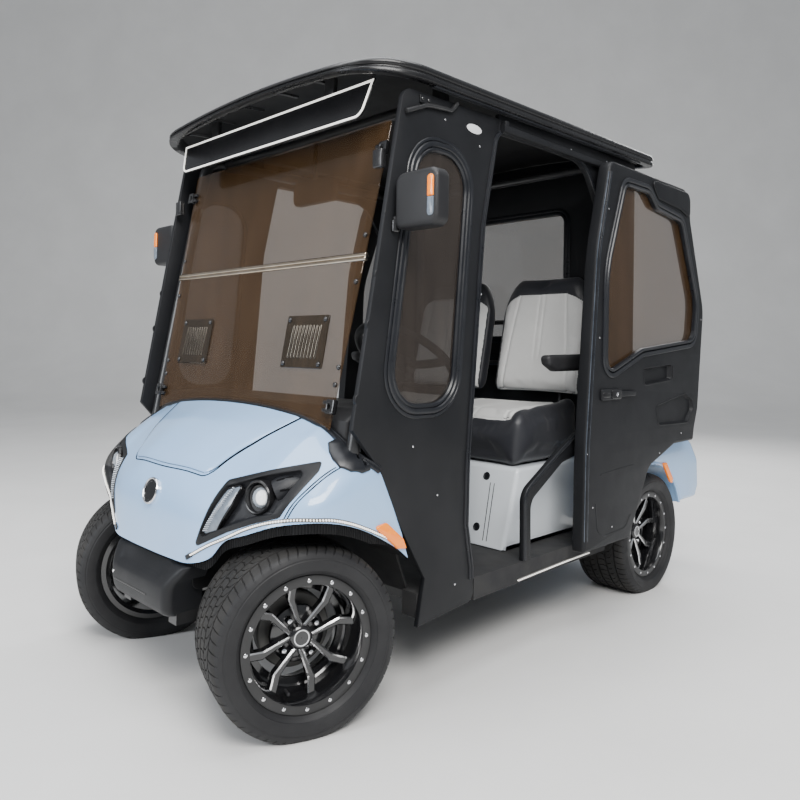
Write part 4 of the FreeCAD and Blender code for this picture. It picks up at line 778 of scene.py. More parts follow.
@dataclass(frozen=True)
class MouldedPlastic:
    """Black moulded plastic with a grain of small cells."""

    name: str
    colour: Row = (0.022, 0.023, 0.026)
    worn: Row = (0.034, 0.035, 0.038)
    roughness: float = 0.52
    grain: float = 900.0
    relief: float = 0.35
    depth: float = 0.0006
    specular: float = 0.4

    def build(self) -> bpy.types.Material:
        """Makes the material."""
        shader = Shader(self.name).set(Specular_IOR_Level=self.specular)
        shader.dust(self.colour, self.worn, 5.0)
        shader.link(shader.between(shader.noise(14.0, 4.0), self.roughness - 0.08, self.roughness + 0.1),
                    shader.surface.inputs["Roughness"])
        shader.bump(shader.cells(self.grain), self.relief, self.depth)
        shader.bump(shader.noise(60.0, 3.0), 0.05, 0.001)
        return shader.material


@dataclass(frozen=True)
class Rubber:
    """Dull rubber with fine noise and lighter dust."""

    name: str
    colour: Row = (0.018, 0.018, 0.019)
    worn: Row = (0.04, 0.038, 0.036)
    roughness: float = 0.72
    scale: float = 320.0

    def build(self) -> bpy.types.Material:
        """Makes the material."""
        shader = Shader(self.name).set(Specular_IOR_Level=0.42)
        shader.dust(self.colour, self.worn, 11.0)
        shader.link(shader.between(shader.noise(26.0, 3.0), self.roughness - 0.1, self.roughness + 0.12),
                    shader.surface.inputs["Roughness"])
        shader.bump(shader.noise(self.scale, 4.0, 0.6), 0.22, 0.0006)
        return shader.material


@dataclass(frozen=True)
class Metal:
    """Bare or plated metal with fine marks."""

    name: str
    colour: Row = (0.78, 0.78, 0.8)
    worn: Row = (0.66, 0.66, 0.68)
    roughness: float = 0.16
    metallic: float = 1.0
    marks: float = 240.0
    relief: float = 0.05

    def build(self) -> bpy.types.Material:
        """Makes the material."""
        shader = Shader(self.name).set(Metallic=self.metallic)
        shader.dust(self.colour, self.worn, 20.0)
        shader.link(shader.between(shader.noise(self.marks, 3.0, 0.5, (1, 1, 6)), self.roughness * 0.7,
                                   self.roughness * 1.4), shader.surface.inputs["Roughness"])
        shader.bump(shader.noise(self.marks * 2, 2.0), self.relief, 0.0004)
        return shader.material


@dataclass(frozen=True)
class CoatedMetal:
    """Painted or powder-coated metal."""

    name: str
    colour: Row = (0.012, 0.012, 0.013)
    worn: Row = (0.025, 0.025, 0.026)
    roughness: float = 0.35
    coat: float = 0.3
    relief: float = 0.12
    scale: float = 420.0

    def build(self) -> bpy.types.Material:
        """Makes the material."""
        shader = Shader(self.name).set(Coat_Weight=self.coat, Coat_Roughness=0.12)
        shader.dust(self.colour, self.worn, 8.0)
        shader.link(shader.between(shader.noise(30.0, 3.0), self.roughness - 0.06, self.roughness + 0.08),
                    shader.surface.inputs["Roughness"])
        shader.bump(shader.noise(self.scale, 3.0), self.relief, 0.0005)
        return shader.material


@dataclass(frozen=True)
class TintedPane:
    """Tinted acrylic: dark and partly clear, with faint streaks."""

    name: str
    colour: Row = (0.055, 0.03, 0.013)
    streak: Row = (0.075, 0.042, 0.02)
    alpha: float = 0.5
    roughness: float = 0.02

    def build(self) -> bpy.types.Material:
        """Makes the material."""
        shader = Shader(self.name).set(Roughness=self.roughness, Alpha=self.alpha, IOR=1.5)
        value = shader.noise(22.0, 3.0, 0.6, (1.0, 1.0, 0.12))
        shader.link(shader.ramp(value, 0.35, 0.7, self.colour, self.streak),
                    shader.surface.inputs["Base Color"])
        return shader.material


@dataclass(frozen=True)
class Lens:
    """A coloured lamp lens with fine ribs."""

    name: str
    colour: Row
    glow: float = 0.0
    alpha: float = 1.0
    roughness: float = 0.16
    ribs: float = 420.0

    def build(self) -> bpy.types.Material:
        """Makes the material."""
        shader = Shader(self.name).set(Roughness=self.roughness, Coat_Weight=0.6, Alpha=self.alpha,
                                       Emission_Strength=self.glow)
        shader.set(Emission_Color=self.colour)
        bright = tuple(min(1.0, c * 1.25) for c in self.colour)
        shader.link(shader.ramp(shader.noise(60.0, 2.0), 0.4, 0.7, self.colour, bright),
                    shader.surface.inputs["Base Color"])
        shader.bump(shader.cells(self.ribs), 0.25, 0.0008)
        return shader.material


@dataclass(frozen=True)
class Vinyl:
    """Sewn vinyl with a leather grain."""

    name: str
    colour: Row
    worn: Row
    roughness: float = 0.5
    grain: float = 520.0

    def build(self) -> bpy.types.Material:
        """Makes the material."""
        shader = Shader(self.name).set(Sheen_Weight=0.12, Sheen_Roughness=0.5)
        shader.dust(self.colour, self.worn, 7.0)
        shader.link(shader.between(shader.noise(18.0, 3.0), self.roughness - 0.08, self.roughness + 0.08),
                    shader.surface.inputs["Roughness"])
        shader.bump(shader.cells(self.grain), 0.3, 0.0007)
        shader.bump(shader.noise(90.0, 3.0), 0.12, 0.0012)
        return shader.material


class Finish:
    """Every material of the cart, made when first asked for."""

    _made: dict[str, bpy.types.Material] = {}
    RECIPES = {
        "paint": GlossPaint(),
        "abs": MouldedPlastic("grained_black_panel", (0.0065, 0.007, 0.0085), (0.011, 0.0115, 0.0135), 0.5,
                              900.0, 0.3, specular=0.28),
        "bumper": MouldedPlastic("bumper_plastic", (0.0085, 0.009, 0.0105), (0.014, 0.0145, 0.0165), 0.44,
                                 1200.0, 0.2, specular=0.28),
        "roof": MouldedPlastic("satin_roof_black", (0.006, 0.006, 0.007), (0.010, 0.010, 0.011), 0.27, 700.0,
                               0.06),
        "liner": MouldedPlastic("arch_liner_black", (0.004, 0.004, 0.0045), (0.008, 0.008, 0.009), 0.62,
                                500.0, 0.3, specular=0.25),
        "facet": Lens("bar_facet", (0.55, 0.6, 0.66), 0.05, 1.0, 0.06, 500.0),
        "ceiling": MouldedPlastic("ceiling_black", (0.005, 0.005, 0.0055), (0.009, 0.009, 0.010), 0.7, 600.0,
                                  0.3),
        "dash": MouldedPlastic("dash_plastic", (0.012, 0.012, 0.013), (0.02, 0.02, 0.022), 0.5, 800.0, 0.3),
        "gloss": MouldedPlastic("gloss_black_plastic", (0.008, 0.008, 0.009), (0.012, 0.012, 0.013), 0.2,
                                500.0, 0.03),
        "lamp_fill": MouldedPlastic("lamp_inner_black", (0.008, 0.0085, 0.011), (0.016, 0.017, 0.02), 0.34,
                                    1400.0, 0.4),
        "mirror_case": MouldedPlastic("mirror_case_black", (0.011, 0.011, 0.0125), (0.018, 0.018, 0.0195),
                                      0.45),
        "mat": Rubber("floor_mat_rubber", (0.016, 0.016, 0.018), (0.03, 0.0295, 0.029), 0.75),
        "gasket": Rubber("gasket_rubber", (0.008, 0.009, 0.012), (0.014, 0.015, 0.018), 0.3, 600.0),
        "tyre": Rubber("tyre_rubber", (0.009, 0.009, 0.0105), (0.017, 0.017, 0.018), 0.6, 260.0),
        "tread": Rubber("tread_rubber", (0.013, 0.0128, 0.013), (0.029, 0.0275, 0.026), 0.75, 200.0),
        "grip": Rubber("grip_foam", (0.016, 0.016, 0.018), (0.028, 0.028, 0.03), 0.6, 700.0),
        "chrome": Metal("chrome_plate", (0.82, 0.82, 0.84), (0.72, 0.72, 0.74), 0.09),
        "machined": Metal("machined_edge", (0.86, 0.86, 0.87), (0.74, 0.74, 0.75), 0.22),
        "bar": Metal("bronze_bar", (0.62, 0.53, 0.42), (0.5, 0.42, 0.33), 0.16),
        "mirror": Metal("mirror_glass", (0.9, 0.92, 0.94), (0.86, 0.88, 0.9), 0.03, relief=0.0),
        "rim": CoatedMetal("gloss_black_rim", (0.006, 0.006, 0.007), (0.010, 0.010, 0.011), 0.16, 0.8, 0.03),
        "ring": CoatedMetal("satin_black_ring", (0.012, 0.012, 0.0125), (0.02, 0.02, 0.021), 0.4, 0.1, 0.2),
        "frame": CoatedMetal("powder_coat_black"),
        "drive": CoatedMetal("casting_grey", (0.07, 0.07, 0.068), (0.12, 0.115, 0.105), 0.6, 0.0, 0.5, 120.0),
        "bolt": CoatedMetal("black_bolt", (0.01, 0.01, 0.011), (0.02, 0.02, 0.021), 0.22, 0.4),
        "pane": TintedPane("bronze_pane"),
        "side_pane": TintedPane("side_pane", (0.03, 0.024, 0.02), (0.05, 0.04, 0.034), 0.62),
        "vent": TintedPane("vent_acrylic", (0.022, 0.015, 0.009), (0.035, 0.024, 0.014), 0.86),
        "amber": Lens("amber_lens", (1.0, 0.22, 0.0), 0.25),
        "red": Lens("red_lens", (0.5, 0.008, 0.008), 0.05),
        "lamp_lens": Lens("projector_lens", (0.55, 0.62, 0.7), 0.04, 0.4, 0.03, 80.0),
        "vent_lip": Metal("vent_slot_edge", (0.22, 0.2, 0.17), (0.15, 0.135, 0.115), 0.3),
        # seal_bright: pale bluish grey rubber for the thin seal lines on the door's front edge
        "seal_bright": Rubber("worn_seal", (0.035, 0.045, 0.06), (0.09, 0.105, 0.13), 0.26, 500.0),
        "pod": GlossPaint("pale_pod", (0.66, 0.7, 0.74), (0.6, 0.64, 0.69), 0.4, 0.1),
        "clear": Lens("clear_lens", (0.15, 0.18, 0.22), 0.03, 1.0, 0.08, 300.0),
        "led": Lens("led_bead", (1.0, 0.97, 0.9), 1.1, 1.0, 0.3, 600.0),
        # led_tape: the tape's own colour, darkened in part as painted shadow between the beads
        "led_tape": Lens("led_tape", (0.075, 0.07, 0.063), 0.0, 1.0, 0.45, 600.0),
        "blank_plate": Vinyl("blank_white_plate", (0.78, 0.79, 0.8), (0.7, 0.71, 0.72), 0.35, 200.0),
        "vinyl_light": Vinyl("light_grey_vinyl", (0.66, 0.66, 0.65), (0.6, 0.6, 0.59)),
        "vinyl_dark": Vinyl("black_vinyl", (0.014, 0.015, 0.02), (0.024, 0.025, 0.03), 0.44),
        # seam: near-black strips of painted shadow, standing for the shade in seams, grooves and slots
        "seam": MouldedPlastic("seam_shadow", (0.002, 0.0022, 0.0028), (0.004, 0.0042, 0.005), 0.85, 700.0,
                               0.1, specular=0.1),
    }

    @classmethod
    def get(cls, key: str) -> bpy.types.Material:
        """The material of one name."""
        if key not in cls._made:
            cls._made[key] = cls.RECIPES[key].build()
        return cls._made[key]


def painted(piece: bpy.types.Object, *keys: str) -> bpy.types.Object:
    """Gives a piece its materials in order."""
    piece.data.materials.clear()
    for key in keys:
        piece.data.materials.append(Finish.get(key))
    return piece


def strip(key: str, name: str, path: Sequence[Vector], profile: Sequence[Row],
          up: Union[Vector, Sequence[Vector]],
          closed: bool = False) -> bpy.types.Object:
    """A sweep with one finish."""
    return painted(sweep(name, path, profile, up, closed), key)


def turned(key: str, name: str, profile: Sequence[Row], matrix: Matrix, segments: int = 64,
           closed: bool = True) -> bpy.types.Object:
    """A turned piece with one finish."""
    return painted(spun(name, profile, matrix, segments, closed), key)


def slab(key: str, name: str, outline: Loop, low: float, high: float, across: Across,
         holes: Sequence[Loop] = (),
         edge: float = 0.0, steps: int = 3, back_edge: Optional[float] = None) -> bpy.types.Object:
    """A plate with one finish."""
    return painted(plate(name, outline, low, high, across, holes, edge, steps, back_edge), key)


def studs(name: str, unit: bpy.types.Object, key: str, places: Sequence[Vector],
          out: Vector) -> bpy.types.Object:
    """Units of one finish at places that all face one way."""
    return POINTS.make(name, unit, Finish.get(key), places, [out] * len(places))


def window_beads(loop: Loop, x: float, rows: Sequence[tuple[float, Sequence[Row]]]) -> list[bpy.types.Object]:
    """Rubber beads round a window at X in millimetres, each with its distance outwards and its section."""
    return [strip("gasket", "bead", at_side(x * MM, grown(loop, distance * MM)), profile, OUT, closed=True)
            for distance, profile in rows]


def mount(piece: bpy.types.Object, body: Body = Body.CART, replaces: Sequence[str] = (),
          angle: float = 32.0) -> bpy.types.Object:
    """Shades a finished piece and puts it on its body.

    Args:
        piece: The piece, in place.
        body: The body it rides on.
        replaces: The frame's nodes it stands for.
        angle: Where its shading turns sharp, in degrees.

    Returns:
        The same piece.
    """
    smooth(piece, angle)
    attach(piece, body.value)
    if replaces:
        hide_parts(*replaces)
    log.info("%s: %d faces on %s", piece.name, len(piece.data.polygons), body.value)
    return piece


# Wheels


@dataclass
class Wheel:
    """A wide road tyre on a deep black rim with machined edges. Lengths in millimetres."""

    corner: str
    body: Body
    centre: Vector
    axis: Vector
    tread_radius: float = 238.2
    pitches: int = 60
    groove: float = 6.0
    slit: float = 3.5
    ring_face: float = 89.6
    ring_outer: float = 167.0
    ring_inner: float = 143.0
    barrel_back: float = 134.0
    rivets: int = 16
    rivet_circle: float = 154.6
    lugs: int = 4
    lug_circle: float = 50.8
    cap_radius: float = 31.0
    cap_face: float = 43.5
    arm_width: float = 15.0
    arm_side: float = 25.0
    arm_knee: float = 96.0
    arm_tip: Row = (131.0, 60.0)
    arm_turn: float = 34.0
    tread_bow: float = 0.00028
    tread_edge: float = 228.5
    screw_circle: float = 26.2

    def matrix(self) -> Matrix:
        """Takes the wheel's own axis (+X) to its place."""
        return axis_matrix(self.centre, self.axis)

    def tread_rows(self) -> list[tuple[float, float, float, float]]:
        """The tyre's section.

        Returns:
            Rows (place, radius, depth of the slits there, lean of the pattern there).
        """
        low = self.tread_radius
        flank = ((80, 158), (84, 166), (92, 172), (98, 177), (99.5, 179.5), (101.5, 180.5), (104.5, 190),
                 (106.5, 200), (107, 207), (105.4, 209), (105.4, 211), (105.8, 213), (103, 221))
        rows: list[tuple[float, float, float, float]] = [(-place, radius, 0, 0) for place, radius in flank]
        rows += [(-101.5, 223, 1.5, 0.1), (-97, 229, 2.6, 0.2), (-90, 233.4, self.slit, 0.3),
                 (-82, 235.6, self.slit, 0.4), (-76.5, 236.2, self.slit, 0.5)]
        grooves = (-73.0, -40.0, -6.0, 30.0, 66.0)
        width = 3.2
        for number, place in enumerate(grooves):
            phase = 0.5 * (number % 2)
            radius = low - self.tread_bow * place * place
            rows.append((place - width, radius, self.slit, 0.55 + phase))
            rows.append((place - width + 0.6, radius - self.groove, 0, 0.55 + phase))
            rows.append((place + width - 0.6, radius - self.groove, 0, 1.05 + phase))
            rows.append((place + width, radius, self.slit, 1.05 + phase))
            if number + 1 < len(grooves):
                middle = (place + grooves[number + 1]) / 2
                rows.append((middle, low - self.tread_bow * middle * middle, self.slit, 0.9 + phase))
        rows += [(82, 235.6, self.slit, 1.15), (90, 233.4, self.slit, 1.2), (97, 229, 2.6, 1.3),
                 (101.5, 223, 1.5, 1.4)]
        rows += [(place, radius, 0, 1.4) for place, radius in reversed(flank)]
        return rows

    def tyre(self) -> bpy.types.Object:
        """Builds the tyre with tread blocks cut by grooves and slits."""
        matrix = self.matrix()
        stops = ((0.0, 0.0), (0.03, 1.0), (0.14, 1.0), (0.17, 0.0), (0.58, 0.0))
        rows = []
        for place, radius, depth, lean in self.tread_rows():
            ring = []
            for pitch in range(self.pitches):
                for part, share in stops:
                    angle = 2 * math.pi * (pitch + part + lean) / self.pitches
                    r = (radius - depth * share) * MM
                    ring.append(matrix @ Vector((place * MM, r * math.cos(angle), r * math.sin(angle))))
            rows.append(ring)
        rows.append(rows[0])
        piece = sheet("tyre_" + self.corner + "_rubber", rows, closed=True)
        painted(piece, "tyre", "tread")
        axis = self.axis.normalized()
        for face in piece.data.polygons:
            offset = face.center - self.centre
            radial = (offset - axis * offset.dot(axis)).length
            face.material_index = 1 if radial > self.tread_edge * MM else 0
        return mount(piece, self.body, ("tyre_" + self.corner,), 28)

    def barrel(self) -> bpy.types.Object:
        """The rim's rolled ring, barrel and recessed disc."""
        face, outer, inner, back = self.ring_face, self.ring_outer, self.ring_inner, self.barrel_back
        profile = [(80, 158), (82, outer - 1), (face - 2.5, outer), (face - 0.6, outer - 0.8),
                   (face, outer - 2.5), (face, inner + 3.5), (face - 0.8, inner + 1.2), (face - 3, inner),
                   (60, back + 3), (20, back), (4, back - 1), (0, back - 6), (0, 112), (-10, 112),
                   (-10, back - 8), (-30, back - 2), (-82, back + 6), (-90, inner + 8), (-90, outer - 2),
                   (-86, outer - 1), (-80, 158)]
        piece = spun("barrel", profile, self.matrix(), 96)
        painted(piece, "rim", "ring")
        axis = self.axis.normalized()
        for polygon in piece.data.polygons:
            offset = polygon.center - self.centre
            along = offset.dot(axis) * 1000
            radial = (offset - axis * along * MM).length * 1000
            polygon.material_index = 1 if along > face - 3 and radial > inner + 2 else 0
        return piece

    def arms(self) -> list[bpy.types.Object]:
        """Eight bent arms in four pairs, each black with a machined edge."""
        pieces = []
        tip, side = self.arm_tip, self.arm_side
        half = self.arm_width / 2
        for pair in range(self.lugs):
            for hand in (-1, 1):
                middle = [(22.0, side * 0.62), (self.arm_knee, side + 6), tip]
                outline = []
                for point in (0, 1, 2):
                    outline.append((middle[point][1] - half * (0.95 if point else 0.7), middle[point][0]
                                    + (6 if point == 1 else 0), 3))
                for point in (2, 1, 0):
                    outline.append((middle[point][1] + half * (1.15 if point else 0.7), middle[point][0]
                                    - (6 if point == 1 else 0), 3))
                outline[2] = (tip[1] - 9.5, tip[0] + 5.0, 2)
                outline[3] = (tip[1] + 6.0, tip[0] - 6.5, 2)
                loop = rounded([(hand * a, b, r) for a, b, r in outline], 2)
                core = plate("arm", loop, 0.012, 0.036, Across.X, edge=0.0034, steps=1, back_edge=0.0)
                painted(core, "rim", "machined")
                for polygon in core.data.polygons:
                    if 0.2 < abs(polygon.normal.x) < 0.96:
                        polygon.material_index = 1
                for vertex in core.data.vertices:
                    reach = math.hypot(vertex.co.y, vertex.co.z)
                    vertex.co.x += 0.016 * max(0.0, min(1.0, (reach - 0.06) / 0.08))
                angle = math.radians(90 * pair + self.arm_turn)
                core.data.transform(self.matrix() @ Matrix.Rotation(angle, 4, "X"))
                pieces.append(core)
        return pieces

    def hub(self) -> list[bpy.types.Object]:
        """The hub plate, the cap with its blank face and the brake drum behind."""
        matrix = self.matrix()
        plate_disc = spun("hub_plate", [(-8, 1), (-8, 62), (2, 72), (10, 70), (16, 58), (18, 40), (18, 1)],
                          matrix, 48)
        painted(plate_disc, "rim")
        face = self.cap_face
        cap = spun("cap", [(10, 1), (10, self.cap_radius + 5), (16, self.cap_radius + 4),
                           (20, self.cap_radius), (face - 6, self.cap_radius - 1.5),
                           (face - 2, self.cap_radius - 5), (face, self.cap_radius - 9),
                           (face, self.cap_radius - 9.5), (face - 1, 1)], matrix, 40)
        painted(cap, "rim")
        trim = spun("cap_ring", [(face - 2, 21.2), (face + 0.4, 20.2), (face + 0.4, 17.6), (face - 2, 17)],
                    matrix, 40)
        painted(trim, "chrome")
        drum = spun("drum", [(-60, 1), (-60, 92), (-56, 96), (-24, 96), (-20, 92), (-20, 1)], matrix, 48)
        painted(drum, "drive")
        return [plate_disc, cap, trim, drum]

    def fasteners(self) -> list[bpy.types.Object]:
        """Ring rivets, lug nuts and cap screws, each set round a ring."""
        matrix = self.matrix()
        unit_turn = Matrix.Rotation(math.pi / 2, 4, "Y")
        rivet = dome_unit(5.2, 2.6, 12)
        rings = [RING.make("rivets", rivet, Finish.get("chrome"), count=self.rivets,
                           radius=self.rivet_circle * MM,
                           matrix=matrix @ Matrix.Translation((self.ring_face * MM, 0, 0)) @ unit_turn)]
        nut = spun("nut", [(-12, 1), (-12, 9.6), (0, 9.6), (2, 8.4), (10, 8.0), (14, 6), (16, 2.4),
                           (16.4, 0.1)],
                   Matrix.Rotation(-math.pi / 2, 4, "Y"), 12, closed=False)
        rings.append(RING.make("lug_nuts", nut, Finish.get("chrome"), count=self.lugs,
                               radius=self.lug_circle * MM,
                               matrix=matrix @ Matrix.Rotation(math.radians(self.arm_turn), 4, "X")
                               @ Matrix.Translation((0.022, 0, 0)) @ unit_turn))
        screw = dome_unit(4.2, 3.5, 8)
        rings.append(RING.make("cap_screws", screw, Finish.get("bolt"), count=8,
                               radius=self.screw_circle * MM,
                               matrix=matrix @ Matrix.Translation(((self.cap_face - 7) * MM, 0, 0))
                               @ unit_turn))
        return rings

    def valve(self) -> bpy.types.Object:
        """The air valve on the barrel."""
        turn = Matrix.Rotation(math.radians(160), 4, "X")
        place = self.matrix() @ turn @ Matrix.Translation((0.048, 0, 0.125))
        profile = [(0, 0.1), (0, 4), (18, 3.4), (18, 4.2), (27, 4.2), (28, 3), (28, 0.1)]
        return turned("tyre", "valve", profile, place, 12)

    def build(self) -> None:
        """Builds the whole wheel on its body."""
        self.tyre()
        rim = joined("rim_" + self.corner + "_dressed",
                     [self.barrel(), *self.arms(), *self.hub(), *self.fasteners(), self.valve()])
        mount(rim, self.body, ("rim_" + self.corner,), 30)


def wheels(joints: Sequence[dict]) -> list[Wheel]:
    """The four wheels, at their joints' places."""
    found = []
    for joint in joints:
        if joint["name"].startswith("wheel_"):
            corner = joint["name"][len("wheel_"):]
            found.append(Wheel(corner, Body(joint["child"]), Vector(joint["pos_m"]), Vector(joint["axis"])))
    return found


# Body


def dense(loop: Sequence[Vector], step: float, closed: bool = True) -> list[Vector]:
    """Divides an outline's long runs, with the step in metres."""
    points: list[Vector] = []
    for index, here in enumerate(loop):
        if index + 1 == len(loop) and not closed:
            points.append(here)
            break
        ahead = loop[(index + 1) % len(loop)]
        count = max(1, math.ceil((ahead - here).length / step))
        points += [here.lerp(ahead, k / count) for k in range(count)]
    return points


def even(loop: Sequence[Vector], count: int) -> list[Vector]:
    """Points at even steps round an outline."""
    ends = [*loop[1:], loop[0]]
    lengths = [(q - p).length for p, q in zip(loop, ends)]
    step = sum(lengths) / count
    points: list[Vector] = []
    index, before = 0, 0.0
    for k in range(count):
        while before + lengths[index] < k * step:
            before += lengths[index]
            index += 1
        points.append(loop[index].lerp(ends[index], (k * step - before) / max(lengths[index], 1e-9)))
    return points


def from_above(tree: BVHTree, x: float, y: float, lift: float = 0.0) -> tuple[Vector, Vector]:
    """A surface's point and direction under a plan place, in millimetres."""
    return on_surface(tree, Vector((x * MM, y * MM, 1.3)), Vector((0, 0, -1)), lift * MM)


def from_ahead(tree: BVHTree, x: float, z: float, lift: float = 0.0) -> tuple[Vector, Vector]:
    """A surface's point and direction behind a front-view place, in millimetres."""
    return on_surface(tree, Vector((x * MM, -1.7, z * MM)), BACKWARDS, lift * MM)


def draped(name: str, tree: BVHTree, outline: Sequence[Row], rings: Sequence[Row]) -> bpy.types.Object:
    """A form that follows the cowl's front.

    Args:
        name: The piece's name.
        tree: The cowl's surface.
        outline: Front-view corners (x, z, radius) in millimetres.
        rings: Rows (inset, scale about the middle, height over the surface) in millimetres.

    Returns:
        The new object.
    """
    loop = dense(rounded(outline, 5), 0.008)
    middle = sum(loop, Vector((0, 0))) / len(loop)
    rows = []
    for inset, scale, height in rings:
        ring = grown(loop, -inset * MM) if inset else loop
        spots = [middle + (p - middle) * scale for p in ring]
        rows.append([from_ahead(tree, p.x / MM, p.y / MM, height)[0] for p in spots])
    return facing(sheet(name, rows, closed=True), AHEAD)


@dataclass
class Cowl:
    """The painted hood and fenders, their raised panel, badge, lamps and rubber trim.

    Lengths in millimetres.
    """

    columns: Sequence[Sequence[Row]] = (
        ((0, -884, 790), (0, -1000, 728), (0, -1100, 640), (0, -1150, 550), (0, -1161, 400)),
        ((110, -884, 788), (110, -999, 726), (110, -1099, 637), (110, -1149, 548), (110, -1159, 400)),
        ((205, -884, 783), (205, -995, 717), (205, -1092, 626), (205, -1144, 540), (205, -1152, 403)),
        ((320, -884, 772), (318, -983, 706), (308, -1080, 620), (290, -1127, 534), (272, -1131, 425)),
        ((385, -884, 758), (382, -972, 706), (372, -1064, 630), (345, -1112, 548), (318, -1116, 474)),
        ((425, -884, 748), (427, -958, 704), (424, -1042, 640), (412, -1088, 576), (392, -1103, 502)),
        ((500, -880, 706), (508, -938, 678), (506, -1000, 630), (496, -1050, 586), (470, -1081, 532)),
        ((535, -866, 682), (546, -910, 654), (549, -960, 618), (546, -1004, 584), (530, -1040, 544)),
        ((552, -846, 666), (557, -878, 640), (559, -910, 608), (559, -945, 576), (557, -980, 540)),
        ((558, -822, 650), (560, -842, 622), (560, -862, 592), (560, -885, 562), (560, -910, 521)),
        ((558, -796, 604), (560, -806, 580), (560, -816, 554), (560, -826, 526), (560, -838, 490)),
        ((558, -765, 541), (560, -767, 522), (560, -767, 500), (560, -762, 474), (560, -755, 442)),
        ((557, -740, 489), (560, -737, 476), (560, -731, 458), (560, -723, 436), (560, -713, 410)),
    )
    across: int = 6
    down: int = 8
    wall: float = 4.5
    panel_front: float = -1110.0
    panel_rear: float = -889.0
    panel_half: Row = (208.0, 325.0)
    panel_rise: Row = (8.0, 3.0)
    panel_corner: float = 24.0
    panel_bow: float = 15.0
    badge_place: Row = (0.0, 556.0)
    badge_radius: float = 37.0
    headlight: Sequence[Row] = ((226, 446, 6), (257, 524, 120), (284, 618, 9), (400, 653, 200),
                                (494, 678, 10), (504, 655, 8),
                                (497, 598, 80), (480, 553, 12), (416, 533, 60), (329, 499, 60))
    opening: Sequence[Row] = ((242, 472, 6), (262, 526, 100), (290, 605, 9), (400, 641, 180), (468, 657, 10),
                              (480, 646, 8), (474, 600, 60), (462, 561, 10), (404, 544, 50), (329, 513, 50))
    light_bar: Sequence[Row] = ((248, 480, 5), (266, 530, 60), (292, 600, 6), (333, 614, 6), (327, 566, 50),
                                (292, 496, 8))
    lamp_centre: Row = (392.5, -1074.0, 588.7)
    lamp_axis: Row = (0.2, -0.97, 0.12)
    lamp_radius: float = 41.0
    housing: Sequence[Row] = ((402, -1052, 587), (476, -962, 642))
    slots: Sequence[Sequence[Row]] = (((430, 631), (453, 641)), ((449, 610), (462, 614)))
    strip: Sequence[Row] = ((218, 427), (274, 460), (327, 486), (385, 514), (444, 536), (498, 549),
                            (524, 552))
    strip_side: Sequence[Row] = ((546, -1012, 551), (557, -969, 546), (560, -912, 529), (560, -852, 504),
                                 (560, -797, 478))
    beads: int = 82
    fender_seam: Sequence[Row] = ((496, 548), (506, 582), (514, 610), (522, 640), (530, 660), (537, 677))
    boot: Sequence[Row] = ((464, -912), (486, -927), (508, -934), (530, -930), (547, -908), (555, -878),
                           (556, -852), (536, -838), (500, -850), (470, -872))
    boot_middle: Row = (512, -868)
    facet_line: Sequence[Row] = ((262, 494), (280, 530), (302, 575), (314, 604))
    facets: int = 23
    inner_wall: Sequence[Row] = ((-1118, 318, 20), (-1122, 430, 30), (-1085, 545, 40), (-770, 545, 60),
                                 (-705, 470, 40), (-705, 318, 20))
    inner_wall_x: Row = (0.170, 0.174)
    skirt_drop: float = 26.0

    def skin(self) -> bpy.types.Object:
        """The smooth painted surface, one sheet from wheel arch to wheel arch."""
        right = [[Vector(p) * MM for p in column] for column in self.columns]
        left = [[Vector((-p.x, p.y, p.z)) for p in column] for column in reversed(right[1:])]
        every = left + right
        lines = [spline([column[row] for column in every], self.across) for row in range(len(every[0]))]
        rows = [spline([line[i] for line in lines], self.down) for i in range(len(lines[0]))]
        piece = sheet("front_cowl_shell", rows)
        inner = Vector((0, -0.7, 0.4))
        if sum(f.normal.dot(f.center - inner) * f.area for f in piece.data.polygons) < 0:
            piece.data.flip_normals()
        return piece

    def edge(self, row: int, first: int, last: int, lift: float) -> tuple[list[Vector], list[Vector]]:
        """A line along one edge of the net, from a column of the right side to its mirror image or end.

        Args:
            row: 0 at the windshield, -1 at the lip.
            first: The column where it starts; a negative one is on the left side.
            last: The column where it ends.
            lift: Height over the surface.

        Returns:
            Its points and the surface's directions there.
        """
        spots = []
        for number in range(first, last + 1):
            x, y, z = self.columns[abs(number)][row]
            spots.append(Vector((x if number >= 0 else -x, y, z)) * MM)
        line = spline(spots, 6)
        points, ups = [], []
        for spot in line:
            _, normal, _, _ = self.tree.find_nearest(spot)
            points.append(spot + normal * (lift * MM))
            ups.append(normal)
        return points, ups

